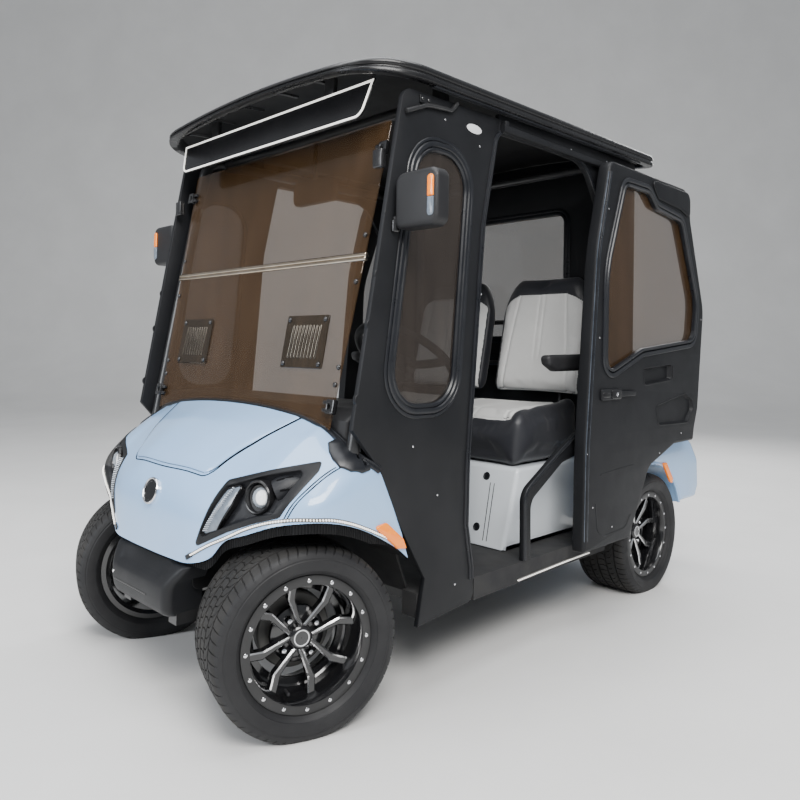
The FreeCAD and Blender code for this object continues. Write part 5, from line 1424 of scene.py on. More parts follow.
    def raised_panel(self) -> list[bpy.types.Object]:
        """The hood's raised panel with round front corners, and round it a dark double line of painted seam
        shadow.
        """
        insets = [0.0, 1.5, 5.0, 12.0, 20.0]
        levels = (-0.3, 0.5, 0.68, 0.88, 1.0)
        flat = insets[-1]
        length = self.panel_rear - self.panel_front
        inner = 24
        from_front = insets + [flat + (length - flat) * k / inner for k in range(1, inner + 1)]
        rows, border_left, border_right = [], [], []
        for gap in from_front:
            share = gap / length
            half = self.panel_half[0] + (self.panel_half[1] - self.panel_half[0]) * share
            if gap < self.panel_corner:
                r = self.panel_corner
                half -= r - math.sqrt(r * r - (r - gap) ** 2)
            rise = self.panel_rise[0] + (self.panel_rise[1] - self.panel_rise[0]) * min(1.0, share * 1.4)
            sides = [half - d for d in insets]
            sides += [sides[-1] * (1 - k / inner) for k in range(1, inner)]
            row = []
            for x in [-s for s in sides] + [0.0] + sides[::-1]:
                inset = min(half - abs(x), gap)
                level = levels[min(range(5), key=lambda k: abs(insets[k] - inset))] if inset < flat else 1.0
                bow = self.panel_bow * (x / self.panel_half[0]) ** 2 * max(0.0, 1 - share * 2)
                row.append(from_above(self.tree, x, self.panel_front + gap + bow, rise * level)[0])
            rows.append(row)
            border_left.append(row[0])
            border_right.append(row[-1])
        panel = painted(facing(sheet("hood_raised_panel", rows), UP), "paint")
        border = border_left[::-1] + rows[0][1:-1] + border_right
        border = [p for k, p in enumerate(border) if k == 0 or (p - border[k - 1]).length > 0.0008]
        middle = Vector((0, (self.panel_front + self.panel_rear) / 2)) * MM
        # Two near-black strips of painted shadow follow the panel's border.
        lines = []
        for apart, width in ((0.4, 2.2), (1.0, 1.5)):
            spots = []
            for k, p in enumerate(border):
                along = (border[min(k + 1, len(border) - 1)] - border[max(k - 1, 0)]).to_2d().normalized()
                away = Vector((along.y, -along.x))
                if away.dot(p.to_2d() - middle) < 0:
                    away = -away
                reach = (apart > 0.5) * (3.2 + 4.0 * along.x ** 2)
                spot = p.to_2d() + away * (reach * MM)
                spots.append(from_above(self.tree, spot.x / MM, spot.y / MM, 0.8))
            section = [(-width, -0.8), (width, -0.8), (width * 0.8, 0.5), (-width * 0.8, 0.5)]
            lines.append(strip("seam", "seam", [s[0] for s in spots], section, [s[1] for s in spots]))
        return [panel, *lines]

    def fender_lines(self) -> list[bpy.types.Object]:
        """The double line of painted seam shadow that runs down the left fender from the side panel to the
        arch.
        """
        pieces = []
        for shift in (0.0, 7.0):
            spots = [from_ahead(self.tree, x - shift, z, 0.5) for x, z in self.fender_seam]
            line = spline([s[0] for s in spots], 6)
            ups = [self.tree.find_nearest(p)[1] for p in line]
            pieces.append(strip("seam", "fender_line", line,
                                [(-1.5, -0.8), (1.5, -0.8), (1.2, 0.4), (-1.2, 0.4)], ups))
        return pieces

    def pillar_boot(self) -> bpy.types.Object:
        """The left black boot over the pillar's foot."""
        loop = dense([Vector(p) * MM for p in self.boot], 0.012)
        middle = Vector(self.boot_middle) * MM
        rows = []
        for scale, lift in ((1.0, -4.0), (1.0, 3.0), (0.97, 6.0), (0.88, 8.5), (0.6, 10.5), (0.3, 11.0)):
            spots = [middle + (p - middle) * scale for p in loop]
            rows.append([from_above(self.tree, p.x / MM, p.y / MM, lift)[0] for p in spots])
        return painted(sheet("pillar_boot", rows, closed=True, capped=True), "gasket")

    def badge(self) -> list[bpy.types.Object]:
        """The round badge with a chrome rim and a blank face."""
        place, normal = from_ahead(self.tree, *self.badge_place)
        matrix = axis_matrix(place, normal)
        r = self.badge_radius
        rim = spun("badge_rim", [(-3, r), (5, r), (7.5, r - 1.6), (8, r - 3.4), (7, r - 5.4), (4.5, r - 6),
                                 (-3, r - 6)],
                   matrix, 64)
        face = spun("badge_face", [(-2, r - 5), (5.0, r - 6.2), (5.4, r - 12), (4.6, r - 13), (4.9, r - 26),
                                   (4.9, 0.01)],
                    matrix, 64, closed=False)
        return [painted(rim, "chrome"), painted(face, "gloss")]

    def trim(self) -> bpy.types.Object:
        """The black rubber trim along the windshield's base and down to the pillars' boots."""
        points, ups = self.edge(0, -9, 9, 2.5)
        profile = [(-9, -4), (-9, 3), (-6.5, 6), (-3.5, 6.5), (-1.5, 3.5), (0, 3.2), (1.5, 3.5), (3.5, 5.5),
                   (6.5, 5), (9, 1), (9, -4)]
        return strip("gasket", "cowl_trim", points, profile, ups)

    def lamp_bowl(self) -> bpy.types.Object:
        """The left headlight's bezel, wide at its rear end, round a sunken dark bowl."""
        count = 120
        outer, inner = (even(rounded(rows, 5), count) for rows in (self.headlight, self.opening))
        middle = sum(inner, Vector((0, 0))) / count
        rows = []
        for share, scale, height in ((0, 1, -1.5), (0, 1, 1.2), (0.1, 1, 2.4), (0.85, 1, 2.8), (1, 1, 1.4),
                                     (1, 0.99, -6), (1, 0.95, -17), (1, 0.9, -21), (1, 0.7, -24),
                                     (1, 0.45, -26), (1, 0.2, -27), (1, 0, -27)):
            row = []
            for p, q in zip(outer, inner):
                spot = middle + (p.lerp(q, share) - middle) * scale
                row.append(from_ahead(self.tree, spot.x / MM, spot.y / MM, height)[0])
            rows.append(row)
        bowl = painted(facing(sheet("bowl", rows, closed=True), AHEAD), "bumper", "lamp_fill")
        for number, face in enumerate(bowl.data.polygons):
            face.material_index = 1 if number // count > 4 else 0
        return bowl

    def headlight_parts(self) -> list[bpy.types.Object]:
        """The left headlight: bezel, bowl, bar with facets, projector lamp in its housing, two slots of
        painted shade.
        """
        bar = draped("bar", self.tree, self.light_bar,
                     [(0, 1, -24), (0, 1, -9), (1.5, 1, -7), (4, 1, -6.2), (6, 0.6, -6), (6, 0, -6)])
        rim = draped("bar_rim", self.tree, self.light_bar,
                     [(-4, 1, -24), (-4, 1, -7), (-2.5, 1, -5), (0, 1, -5.4), (0.2, 1, -9)])
        line = [from_ahead(self.tree, x, z, -5.6)[0] for x, z in self.facet_line]
        facets = PATH.make("facets", block_unit(2.6, 26.0, 2.4, 0.8), Finish.get("facet"), spline(line, 6),
                           count=self.facets)
        pieces = [self.lamp_bowl(), painted(bar, "clear"), painted(rim, "gloss"), facets]
        matrix = axis_matrix(Vector(self.lamp_centre) * MM, Vector(self.lamp_axis))
        r = self.lamp_radius
        ring = spun("ring", [(-34, r + 2), (-6, r + 2), (0, r + 1), (3, r - 2), (2, r - 5), (-4, r - 7),
                             (-12, r - 10), (-18, r - 12), (-34, r - 10)], matrix, 56)
        chrome = spun("reflector", [(-10, r - 10), (-6.5, r - 12), (-7, r - 15), (-12, r - 18), (-14, 0.01)],
                      matrix, 56,
                      closed=False)
        eye = Matrix.Translation(Vector((0.006, 0, 0))) @ matrix
        lens = spun("lens", [(-14, 25), (-6, 24.5), (-1, 21), (3, 14), (4.6, 7), (5, 0.01)], eye, 40,
                    closed=False)
        glow = spun("lamp_core", [(-13, 19), (-8, 17), (-7, 9), (-7, 0.01)], eye, 24, closed=False)
        start, end = (Vector(p) * MM for p in self.housing)
        housing = spun("housing", [(26, 0.01), (26, r - 9), (42, r - 7), (62, r - 9), (84, r - 17),
                                   (106, r - 30), (113, 0.01)],
                       axis_matrix(start, end - start), 48, closed=False)
        pieces += [painted(ring, "gloss"), painted(chrome, "ring"), painted(lens, "lamp_lens"),
                   painted(glow, "led"),
                   painted(housing, "lamp_fill")]
        cone = tree_of(housing)
        # The slots are not cut: dark strips of painted shade lie on the housing instead.
        for a, b in self.slots:
            spots = [from_ahead(cone, a[0] + (b[0] - a[0]) * t, a[1] + (b[1] - a[1]) * t, 0.2)[0]
                     for t in (0, 0.5, 1)]
            pieces.append(strip("seam", "slot", spots, [(-2.2, -2), (-2.2, 1), (2.2, 1), (2.2, -2)],
                                Vector((0, -1, 0.3))))
        return pieces

    def strip_line(self) -> tuple[list[Vector], list[Vector]]:
        """The lamp strip's line over the wheel arch, with the surface's directions."""
        spots = [from_ahead(self.tree, x, z)[0] for x, z in self.strip] + [
            Vector(p) * MM for p in self.strip_side]
        line = spline(spots, 7)
        ups = [self.tree.find_nearest(p)[1] for p in line]
        return [self.tree.find_nearest(p)[0] for p in line], ups

    def lamp_strip(self) -> list[bpy.types.Object]:
        """White beads on a pale tape over the left wheel arch; the tape's warm grey is partly painted shadow
        between the beads.
        """
        line, ups = self.strip_line()
        tape = sweep("tape", line, [(-4.6, -1), (-4.6, 0.8), (-3.8, 1.4), (3.8, 1.4), (4.6, 0.8), (4.6, -1)],
                     ups)
        lifted = [p + n * 0.0024 for p, n in zip(line, ups)]
        beads = PATH.make("beads", block_unit(3.8, 7.6, 4.4, 1.4), Finish.get("led"), lifted,
                          count=self.beads)
        end = sweep("strip_end", [line[0] - (line[1] - line[0]) * 2.2, line[0]],
                    [(-5.5, -1), (-5.5, 3), (5.5, 3), (5.5, -1)],
                    ups[0])
        return [painted(tape, "led_tape"), beads, painted(end, "gasket")]

    def arch_liner(self) -> list[bpy.types.Object]:
        """The left arch's liner, its ribbed skirt under the lip and the inner wall beside the wheel."""
        points, _ = self.edge(-1, 2, 12, 0.0)
        rows = []
        for inwards, drop in ((3, 2), (20, 3), (60, 3), (150, 3)):
            row = []
            for p in points:
                x = max(p.x - inwards * MM, 0.2) if p.x > 0.3 else p.x - min(inwards, 40) * MM * 0.5
                row.append(Vector((x, p.y + 0.004 * (1 if p.x < 0.45 else 0), p.z - 0.001 + drop * MM)))
            rows.append(row)
        roof = sheet("arch_liner", rows)
        ribbed = dense(points, 0.004, closed=False)
        rows = []
        for share in (-0.2, 0.1, 0.55, 1.0):
            row = []
            for k, p in enumerate(ribbed):
                length = self.skirt_drop * min(1.0, max(0.15, (-760 - p.y / MM) / 90), 0.25 + k / 24)
                row.append(p + Vector((-0.004 - 0.0022 * (k % 2), 0.005 * (p.x < 0.5) + 0.0022 * (k % 2),
                                       -share * length * MM)))
            rows.append(row)
        skirt = sheet("arch_skirt", rows)
        pieces = [painted(thickened(piece, 0.002), "liner") for piece in (roof, skirt)]
        wall = slab("liner", "inner_wall", rounded(self.inner_wall, 5), *self.inner_wall_x, Across.X,
                    edge=0.001, steps=1)
        return [*pieces, wall]

    def build(self) -> None:
        """Builds the front body on the cart."""
        shell = self.skin()
        self.tree = tree_of(shell)
        panel, *lines = self.raised_panel()
        lines += [with_mirror(piece) for piece in self.fender_lines()]
        boots = with_mirror(self.pillar_boot())
        lamps = self.headlight_parts()
        thickened(shell, self.wall * MM)
        tool = plate("tool", grown(rounded(self.headlight, 5), -0.002), -1.3, -0.87, Across.Y)
        cut(shell, [mirrored(tool, "tool_other"), tool])
        painted(shell, "paint")
        mount(shell, replaces=("front_cowl",), angle=38)
        mount(panel, replaces=("hood_panel",), angle=50)
        mount(joined("body_seams", lines))
        mount(joined("hood_badge", self.badge()))
        mount(joined("cowl_trim_and_boots", [self.trim(), boots]))
        mount(with_mirror(joined("headlight_pair", lamps)), replaces=("headlights",))
        mount(with_mirror(joined("arch_lamp_strips", self.lamp_strip())))
        mount(with_mirror(joined("arch_liners", self.arch_liner())))


@dataclass
class FrontBumper:
    """The black moulded bumper with a set-back upper panel, groove and screw. Lengths in millimetres."""

    levels: Sequence[Row] = (
        (393, 190, -1140, 0), (391, 196, -1148, 0), (386, 197, -1155, 5), (380, 194, -1161, 9),
        (358, 180, -1176, 10), (352, 176, -1179, 5), (344, 170, -1185, 0), (330, 164, -1190, 0),
        (300, 161, -1191, 0), (276, 157, -1188, 0), (262, 152, -1182, 0), (252, 146, -1170, 0),
        (248, 140, -1155, 0))
    rear: float = -1082.0
    corner: float = 26.0
    groove_z: float = 296.0
    groove_x: Row = (-132.0, 60.0)

    def build(self) -> None:
        """Builds the bumper on the cart."""
        rows = []
        for z, half, front, depth in self.levels:
            outline = [(-half, self.rear), (-half, front, self.corner), (-half * 0.66, front),
                       (-half * 0.6, front + depth), (half * 0.6, front + depth), (half * 0.66, front),
                       (half, front, self.corner), (half, self.rear)]
            rows.append([Vector((p.x, p.y, z * MM)) for p in rounded(outline, 6)])
        body = painted(sheet("bumper_body", rows, closed=True, capped=True), "bumper")
        tree = tree_of(body)
        spots = [from_ahead(tree, x, self.groove_z, 0.2)[0]
                 for x in (self.groove_x[0], -90, -30, 20, self.groove_x[1])]
        groove = strip("gloss", "groove", spline(spots, 5), [(-2, -1), (-2, 0.8), (2, 0.8), (2, -1)], AHEAD)
        place, normal = from_ahead(tree, self.groove_x[0] - 6, self.groove_z + 18)
        screw = POINTS.make("screw", dome_unit(5.0, 2.6, 12), Finish.get("machined"), [place], [normal])
        mount(joined("front_bumper_cover", [body, groove, screw]), replaces=("front_bumper",),
              angle=38)


# Cab


@dataclass
class Windscreen:
    """Two tinted panes with a bright bar, two louvred vent plates, bolts and clips.

    Lengths in millimetres.
    """

    hinge: Row = (0.0, -804.0, 1197.0)
    slope: float = 0.195
    half_at_bottom: float = 450.0
    bottom: float = 735.0
    top: float = 1570.0
    widening: float = 0.06
    thickness: float = 5.0
    base_line: Sequence[Row] = ((0, 793), (205, 786), (320, 775), (385, 762), (425, 752), (449, 745))
    vent_x: float = 291.0
    vent_middle: float = 971.0
    vent_half: Row = (91.0, 74.0)
    slots: int = 9
    slot_pitch: float = 14.6
    clip_heights: Row = (1485.0, 803.0)

    def matrix(self) -> Matrix:
        """Takes plane coordinates (across, up, out) from the bar's middle to the frame."""
        up = Vector((0, self.slope, 1)).normalized()
        out = Vector((0, -1, self.slope)).normalized()
        place = Vector(self.hinge) * MM
        return Matrix(((1, up.x, out.x, place.x), (0, up.y, out.y, place.y), (0, up.z, out.z, place.z),
                       (0, 0, 0, 1)))

    def up_plane(self, z: float) -> float:
        """The plane's own height for a height in the frame."""
        return (z - self.hinge[2]) * math.hypot(1, self.slope)

    def half(self, z: float) -> float:
        """Half the windshield's width at a height."""
        return self.half_at_bottom + (z - self.bottom) * self.widening

    def panes(self) -> bpy.types.Object:
        """The lower pane, shaped to the cowl, and the upper pane."""
        low_line = [(x, self.up_plane(z)) for x, z in self.base_line]
        bar = self.hinge[2]
        lower = [(-x, v) for x, v in reversed(low_line)] + low_line[1:]
        lower += [(self.half(bar), self.up_plane(bar - 9), 4), (-self.half(bar), self.up_plane(bar - 9), 4)]
        upper = [(-self.half(bar), self.up_plane(bar + 9), 4), (self.half(bar), self.up_plane(bar + 9), 4),
                 (self.half(self.top), self.up_plane(self.top), 14),
                 (-self.half(self.top), self.up_plane(self.top), 14)]
        pieces = [plate("pane", rounded(rows, 3), 0.0, self.thickness * MM, Across.Z, edge=0.0012, steps=1)
                  for rows in (lower, upper)]
        piece = joined("windshield_panes", pieces)
        piece.data.transform(self.matrix())
        return painted(piece, "pane")

    def vents(self) -> list[bpy.types.Object]:
        """Both vent plates with slanted slots and pale lips."""
        pieces = []
        a, b = self.vent_half
        middle = self.up_plane(self.vent_middle)
        for side in (1, -1):
            x = side * self.vent_x
            outline = rounded(rectangle(x - a, middle - b, x + a, middle + b, 5), 3)
            holes = []
            for k in range(self.slots):
                c = x + (k - (self.slots - 1) / 2) * self.slot_pitch
                holes.append(rounded([(c - 5.5, middle - 46, 2), (c - 0.5, middle - 46, 2),
                                      (c + 5.5, middle + 46, 2), (c + 0.5, middle + 46, 2)], 2))
            face = self.thickness * MM
            pieces.append(slab("vent", "vent", outline, face, face + 0.004, Across.Z, holes, edge=0.0008,
                               steps=1))
            for hole in holes:
                line = [Vector((p.x, p.y, face + 0.0045)) for p in hole]
                pieces.append(strip("vent_lip", "lip", line, disc_profile(0.55, 5), UP, closed=True))
        for piece in pieces:
            piece.data.transform(self.matrix())
        return pieces

    def bolts(self) -> bpy.types.Object:
        """Black bolts of the vents, the bar's ends and the panes' edges."""
        a, b = self.vent_half
        middle = self.up_plane(self.vent_middle)
        spots = [(side * self.vent_x + i * (a - 13), middle + j * (b - 12), self.thickness + 4)
                 for side in (1, -1)
                 for i in (-1, 1) for j in (-1, 1)]
        for z in (1255.0, 1130.0, 860.0, 905.0):
            spots += [(side * (self.half(z) - 12), self.up_plane(z), self.thickness) for side in (1, -1)]
        matrix = self.matrix()
        out = matrix.to_3x3() @ UP
        places = [matrix @ (Vector(s) * MM) for s in spots]
        return studs("windshield_bolts", dome_unit(7.2, 6.5, 10), "bolt", places, out)

    def bar_and_clips(self) -> list[bpy.types.Object]:
        """The bright double bar between the panes, and black clips at the pillars."""
        matrix = self.matrix()
        half = self.half(self.hinge[2]) + 6
        pieces = []
        for height, radius in ((5.0, 6.6), (-6.0, 6.0)):
            centre = matrix @ Vector((0, height * MM, self.thickness * MM / 2))
            profile = [(-half, 0.1), (-half, radius - 1), (-half + 1, radius), (half - 1, radius),
                       (half, radius - 1), (half, 0.1)]
            pieces.append(turned("bar", "bar", profile, axis_matrix(centre, OUT), 20, closed=False))
        back = plate("bar_back", rounded([(-half, -9), (half, -9), (half, 9), (-half, 9)]), -0.002, 0.004,
                     Across.Z, edge=0.001,
                     steps=1)
        back.data.transform(matrix)
        pieces.append(painted(back, "gasket"))
        for side in (1, -1):
            for z in self.clip_heights:
                x, v = self.half(z), self.up_plane(z)
                for low, high in ((5, 15), (-15, -5)):
                    arm = rounded(rectangle(x - 34, v + low, x + 10, v + high, 3, 2, 2, 3), 3)
                    pieces.append(plate("clip_arm", arm, 0.0055, 0.017, Across.Z, edge=0.002, steps=2))
                block = rounded(rectangle(x - 16, v - 19, x + 15, v + 19, 3), 3)
                hole = rounded(rectangle(x - 9, v - 8, x + 2, v + 8, 2), 2)
                pieces.append(plate("clip_block", block, 0.0055, 0.021, Across.Z, [hole], edge=0.0025,
                                    steps=2))
                for piece in pieces[-3:]:
                    piece.data.transform(matrix)
                    if side < 0:
                        flipped(piece, -1, 1)
                    painted(piece, "bolt")
        return pieces

    def build(self) -> None:
        """Builds the windshield on the cart."""
        mount(self.panes(), replaces=("windshield",))
        mount(joined("windshield_vents", [*self.vents(), self.bolts()]))
        mount(joined("windshield_bar_and_clips", self.bar_and_clips()),
              replaces=("windshield_fittings",))


@dataclass
class SideWall:
    """The grained side panel, its capsule window's gasket, and the frame round the doorway.

    Lengths in millimetres.
    """

    inner: float = 544.0
    outer: float = 560.0
    panel: Sequence[Row] = (
        (-915, 755), (-820, 650), (-739, 489), (-646, 341), (-671, 217), (-560, 226), (-434, 236, 30),
        (-439, 330), (-465, 460), (-462, 643), (-407, 1320), (-345, 1610, 50), (-345, 1650), (-755, 1640, 40))
    window: Sequence[Row] = ((-700, 1505, 95), (-482, 1505, 110), (-540, 800, 100), (-800, 800, 100))
    frame: Sequence[Row] = (
        (-344.7, 1664), (520, 1683, 20), (520, 646, 60), (330, 646, 60), (30, 586, 60), (-150, 482, 50),
        (-146, 300), (-188, 300), (-192, 515, 60), (0, 622, 70), (300, 770, 90), (335, 1140, 400),
        (268, 1443, 260), (140, 1610, 130), (-344.7, 1610))
    front_seal: Sequence[Row] = ((-439, 300), (-439, 330, 100), (-465, 460, 60), (-462, 643, 200),
                                 (-407, 1320, 400), (-345, 1612, 60), (-250, 1612))
    rear_seal: Sequence[Row] = ((-250, 1612), (140, 1612, 130), (268, 1445, 260), (337, 1140, 400),
                                (302, 769, 90), (0, 620, 70), (-192, 515, 60), (-188, 302))
    track_y: Row = (-340.0, 500.0)
    track_z: Row = (1610.0, 1632.0)
    tabs: Sequence[Row] = ((-893, 830), (-858, 1015), (-833, 1142), (-802, 1300))
    rivets: Sequence[Row] = ((-590, 1590), (-436, 1548), (-420, 1120), (-452, 760), (-700, 700), (-600, 560),
                             (-520, 300),
                             (380, 1560), (420, 1300), (430, 1000), (420, 720), (60, 1640), (300, 1645))
    plate_oval: Row = (-463.0, 1592.0)
    tube: Sequence[Row] = ((-752, 1574), (-700, 1596), (-666, 1609), (-600, 1616), (-572, 1619), (-548, 1643))
    brackets: Sequence[Row] = ((-676, 1622),)
    clamp: Row = (-806.0, -788.0, 1425.0, 1474.0)

    def line(self, rows: Sequence[Row], x: float) -> list[Vector]:
        """An open side-view line at one X, with its corners rounded."""
        loop = rounded([*rows], 6)
        return dense(at_side(x * MM, loop), 0.02, closed=False)

    def gasket(self) -> list[bpy.types.Object]:
        """Three rubber beads round the capsule window."""
        return window_beads(dense(rounded(self.window, 14), 0.02), self.outer, (
            (9.0, [(-8, -4), (-8, 3), (-5, 6.5), (0, 7.5), (5, 6.5), (8, 3), (8, -4)]),
            (-6.0, [(-7, -12), (-7, 2), (-3, 5.0), (2, 4.2), (6, 0), (6, -12)]),
            (23.0, [(-5, -3), (-5, 1.2), (-3, 3), (3, 3), (5, 1.2), (5, -3)])))

    def seals(self) -> list[bpy.types.Object]:
        """Double rubber seals round the doorway."""
        pieces = []
        for rows in (self.front_seal, self.rear_seal):
            for x, shift in ((self.outer + 1, -5), (self.outer + 0.5, -14)):
                aside = shift if rows is self.front_seal else -shift * 0.8
                moved = [(row[0] + aside, row[1] + (6 if row[1] > 1500 else 0), *row[2:]) for row in rows]
                points = self.line(moved, x)
                pieces.append(strip("gasket", "seal", points, disc_profile(4.2, 8), OUT))
        return pieces

    def track(self) -> list[bpy.types.Object]:
        """The door's rail over the doorway, with end stops."""
        y0, y1 = self.track_y
        z0, z1 = self.track_z
        section = rounded(rectangle(self.outer, z0, self.outer + 18, z1, 2, 3, 6, 2), 3)
        rail = sheet("rail", [[Vector((p.x, y * MM, p.y)) for p in section]
                              for y in (y0, y1)], closed=True, capped=True)
        stops = [plate("stop", rounded(rectangle(y - 9, z0 + 1, y + 9, z1 + 12, 3, 3, 4, 4), 3),
                       (self.outer - 1) * MM, (self.outer + 17.6) * MM, Across.X,
                       edge=0.002) for y in (y0 + 14, y1 - 10)]
        return [painted(piece, "abs") for piece in [rail, *stops]]

    def details(self) -> list[bpy.types.Object]:
        """Tabs on the front edge, rivets, the blank oval plate, the top tube with its bracket and the
        clamp.
        """
        pieces = []
        for y, z in self.tabs:
            matrix = axis_matrix(Vector((self.outer - 6, y, z)) * MM, OUT)
            pieces.append(turned("abs", "tab", [(-4, 0.1), (-4, 15), (4, 15), (5.5, 13.5), (5.5, 0.1)],
                                 matrix, 28, closed=False))
        places = [Vector((self.outer, y, z)) * MM for y, z in self.rivets]
        pieces.append(studs("rivets", dome_unit(3.4, 1.8, 8), "machined", places, OUT))
        y, z = self.plate_oval
        oval = [Vector((y + 34 * math.cos(t * math.pi / 16), z + 13 * math.sin(t * math.pi / 16))) * MM
                for t in range(32)]
        pieces.append(slab("blank_plate", "oval", oval, self.outer * MM, (self.outer + 1.4) * MM, Across.X,
                           edge=0.0008, steps=2))
        out = OUT
        path = spline([Vector((self.outer + 6, y, z)) * MM for y, z in self.tube], 5)
        pieces.append(strip("frame", "tube", path, disc_profile(6.5, 12), out))
        y0, y1, z0, z1 = self.clamp
        pieces.append(slab("bolt", "clamp", rounded(rectangle(y0, z0, y1, z1, 4), 3), (self.outer - 62) * MM,
                           (self.outer - 28) * MM, Across.X, edge=0.003))
        for y, z in self.brackets:
            loop = rounded(rectangle(y - 22, z - 11, y + 22, z + 11, 3), 3)
            pieces.append(slab("bumper", "bracket", loop, (self.outer - 1) * MM, (self.outer + 5) * MM,
                               Across.X, edge=0.0015))
        spots = [Vector((self.outer + 5, y + side, z)) * MM for y, z in self.brackets for side in (-12, 12)]
        pieces.append(studs("bracket_bolts", dome_unit(5.0, 3.6, 10), "bolt", spots, out))
        return pieces

    def build(self) -> None:
        """Builds both side walls on the cart."""
        panel = plate("side_panel_moulding", rounded(self.panel, 8), self.inner * MM, self.outer * MM,
                      Across.X,
                      holes=[dense(rounded(self.window, 14), 0.03)], edge=0.003, steps=2)
        painted(panel, "abs")
        whole = joined("side_panel_dressed_left", [panel, *self.gasket(), *self.details()])
        right = mirrored(whole, "side_panel_dressed_right")
        mount(whole, replaces=("side_panel_left",))
        mount(right, replaces=("side_panel_right",))
        surround = plate("surround", rounded(self.frame, 10), self.inner * MM, self.outer * MM, Across.X,
                         edge=0.003, steps=2)
        painted(surround, "abs")
        mount(with_mirror(joined("door_frames_dressed", [surround, *self.seals(), *self.track()])),
              replaces=("door_frames",))


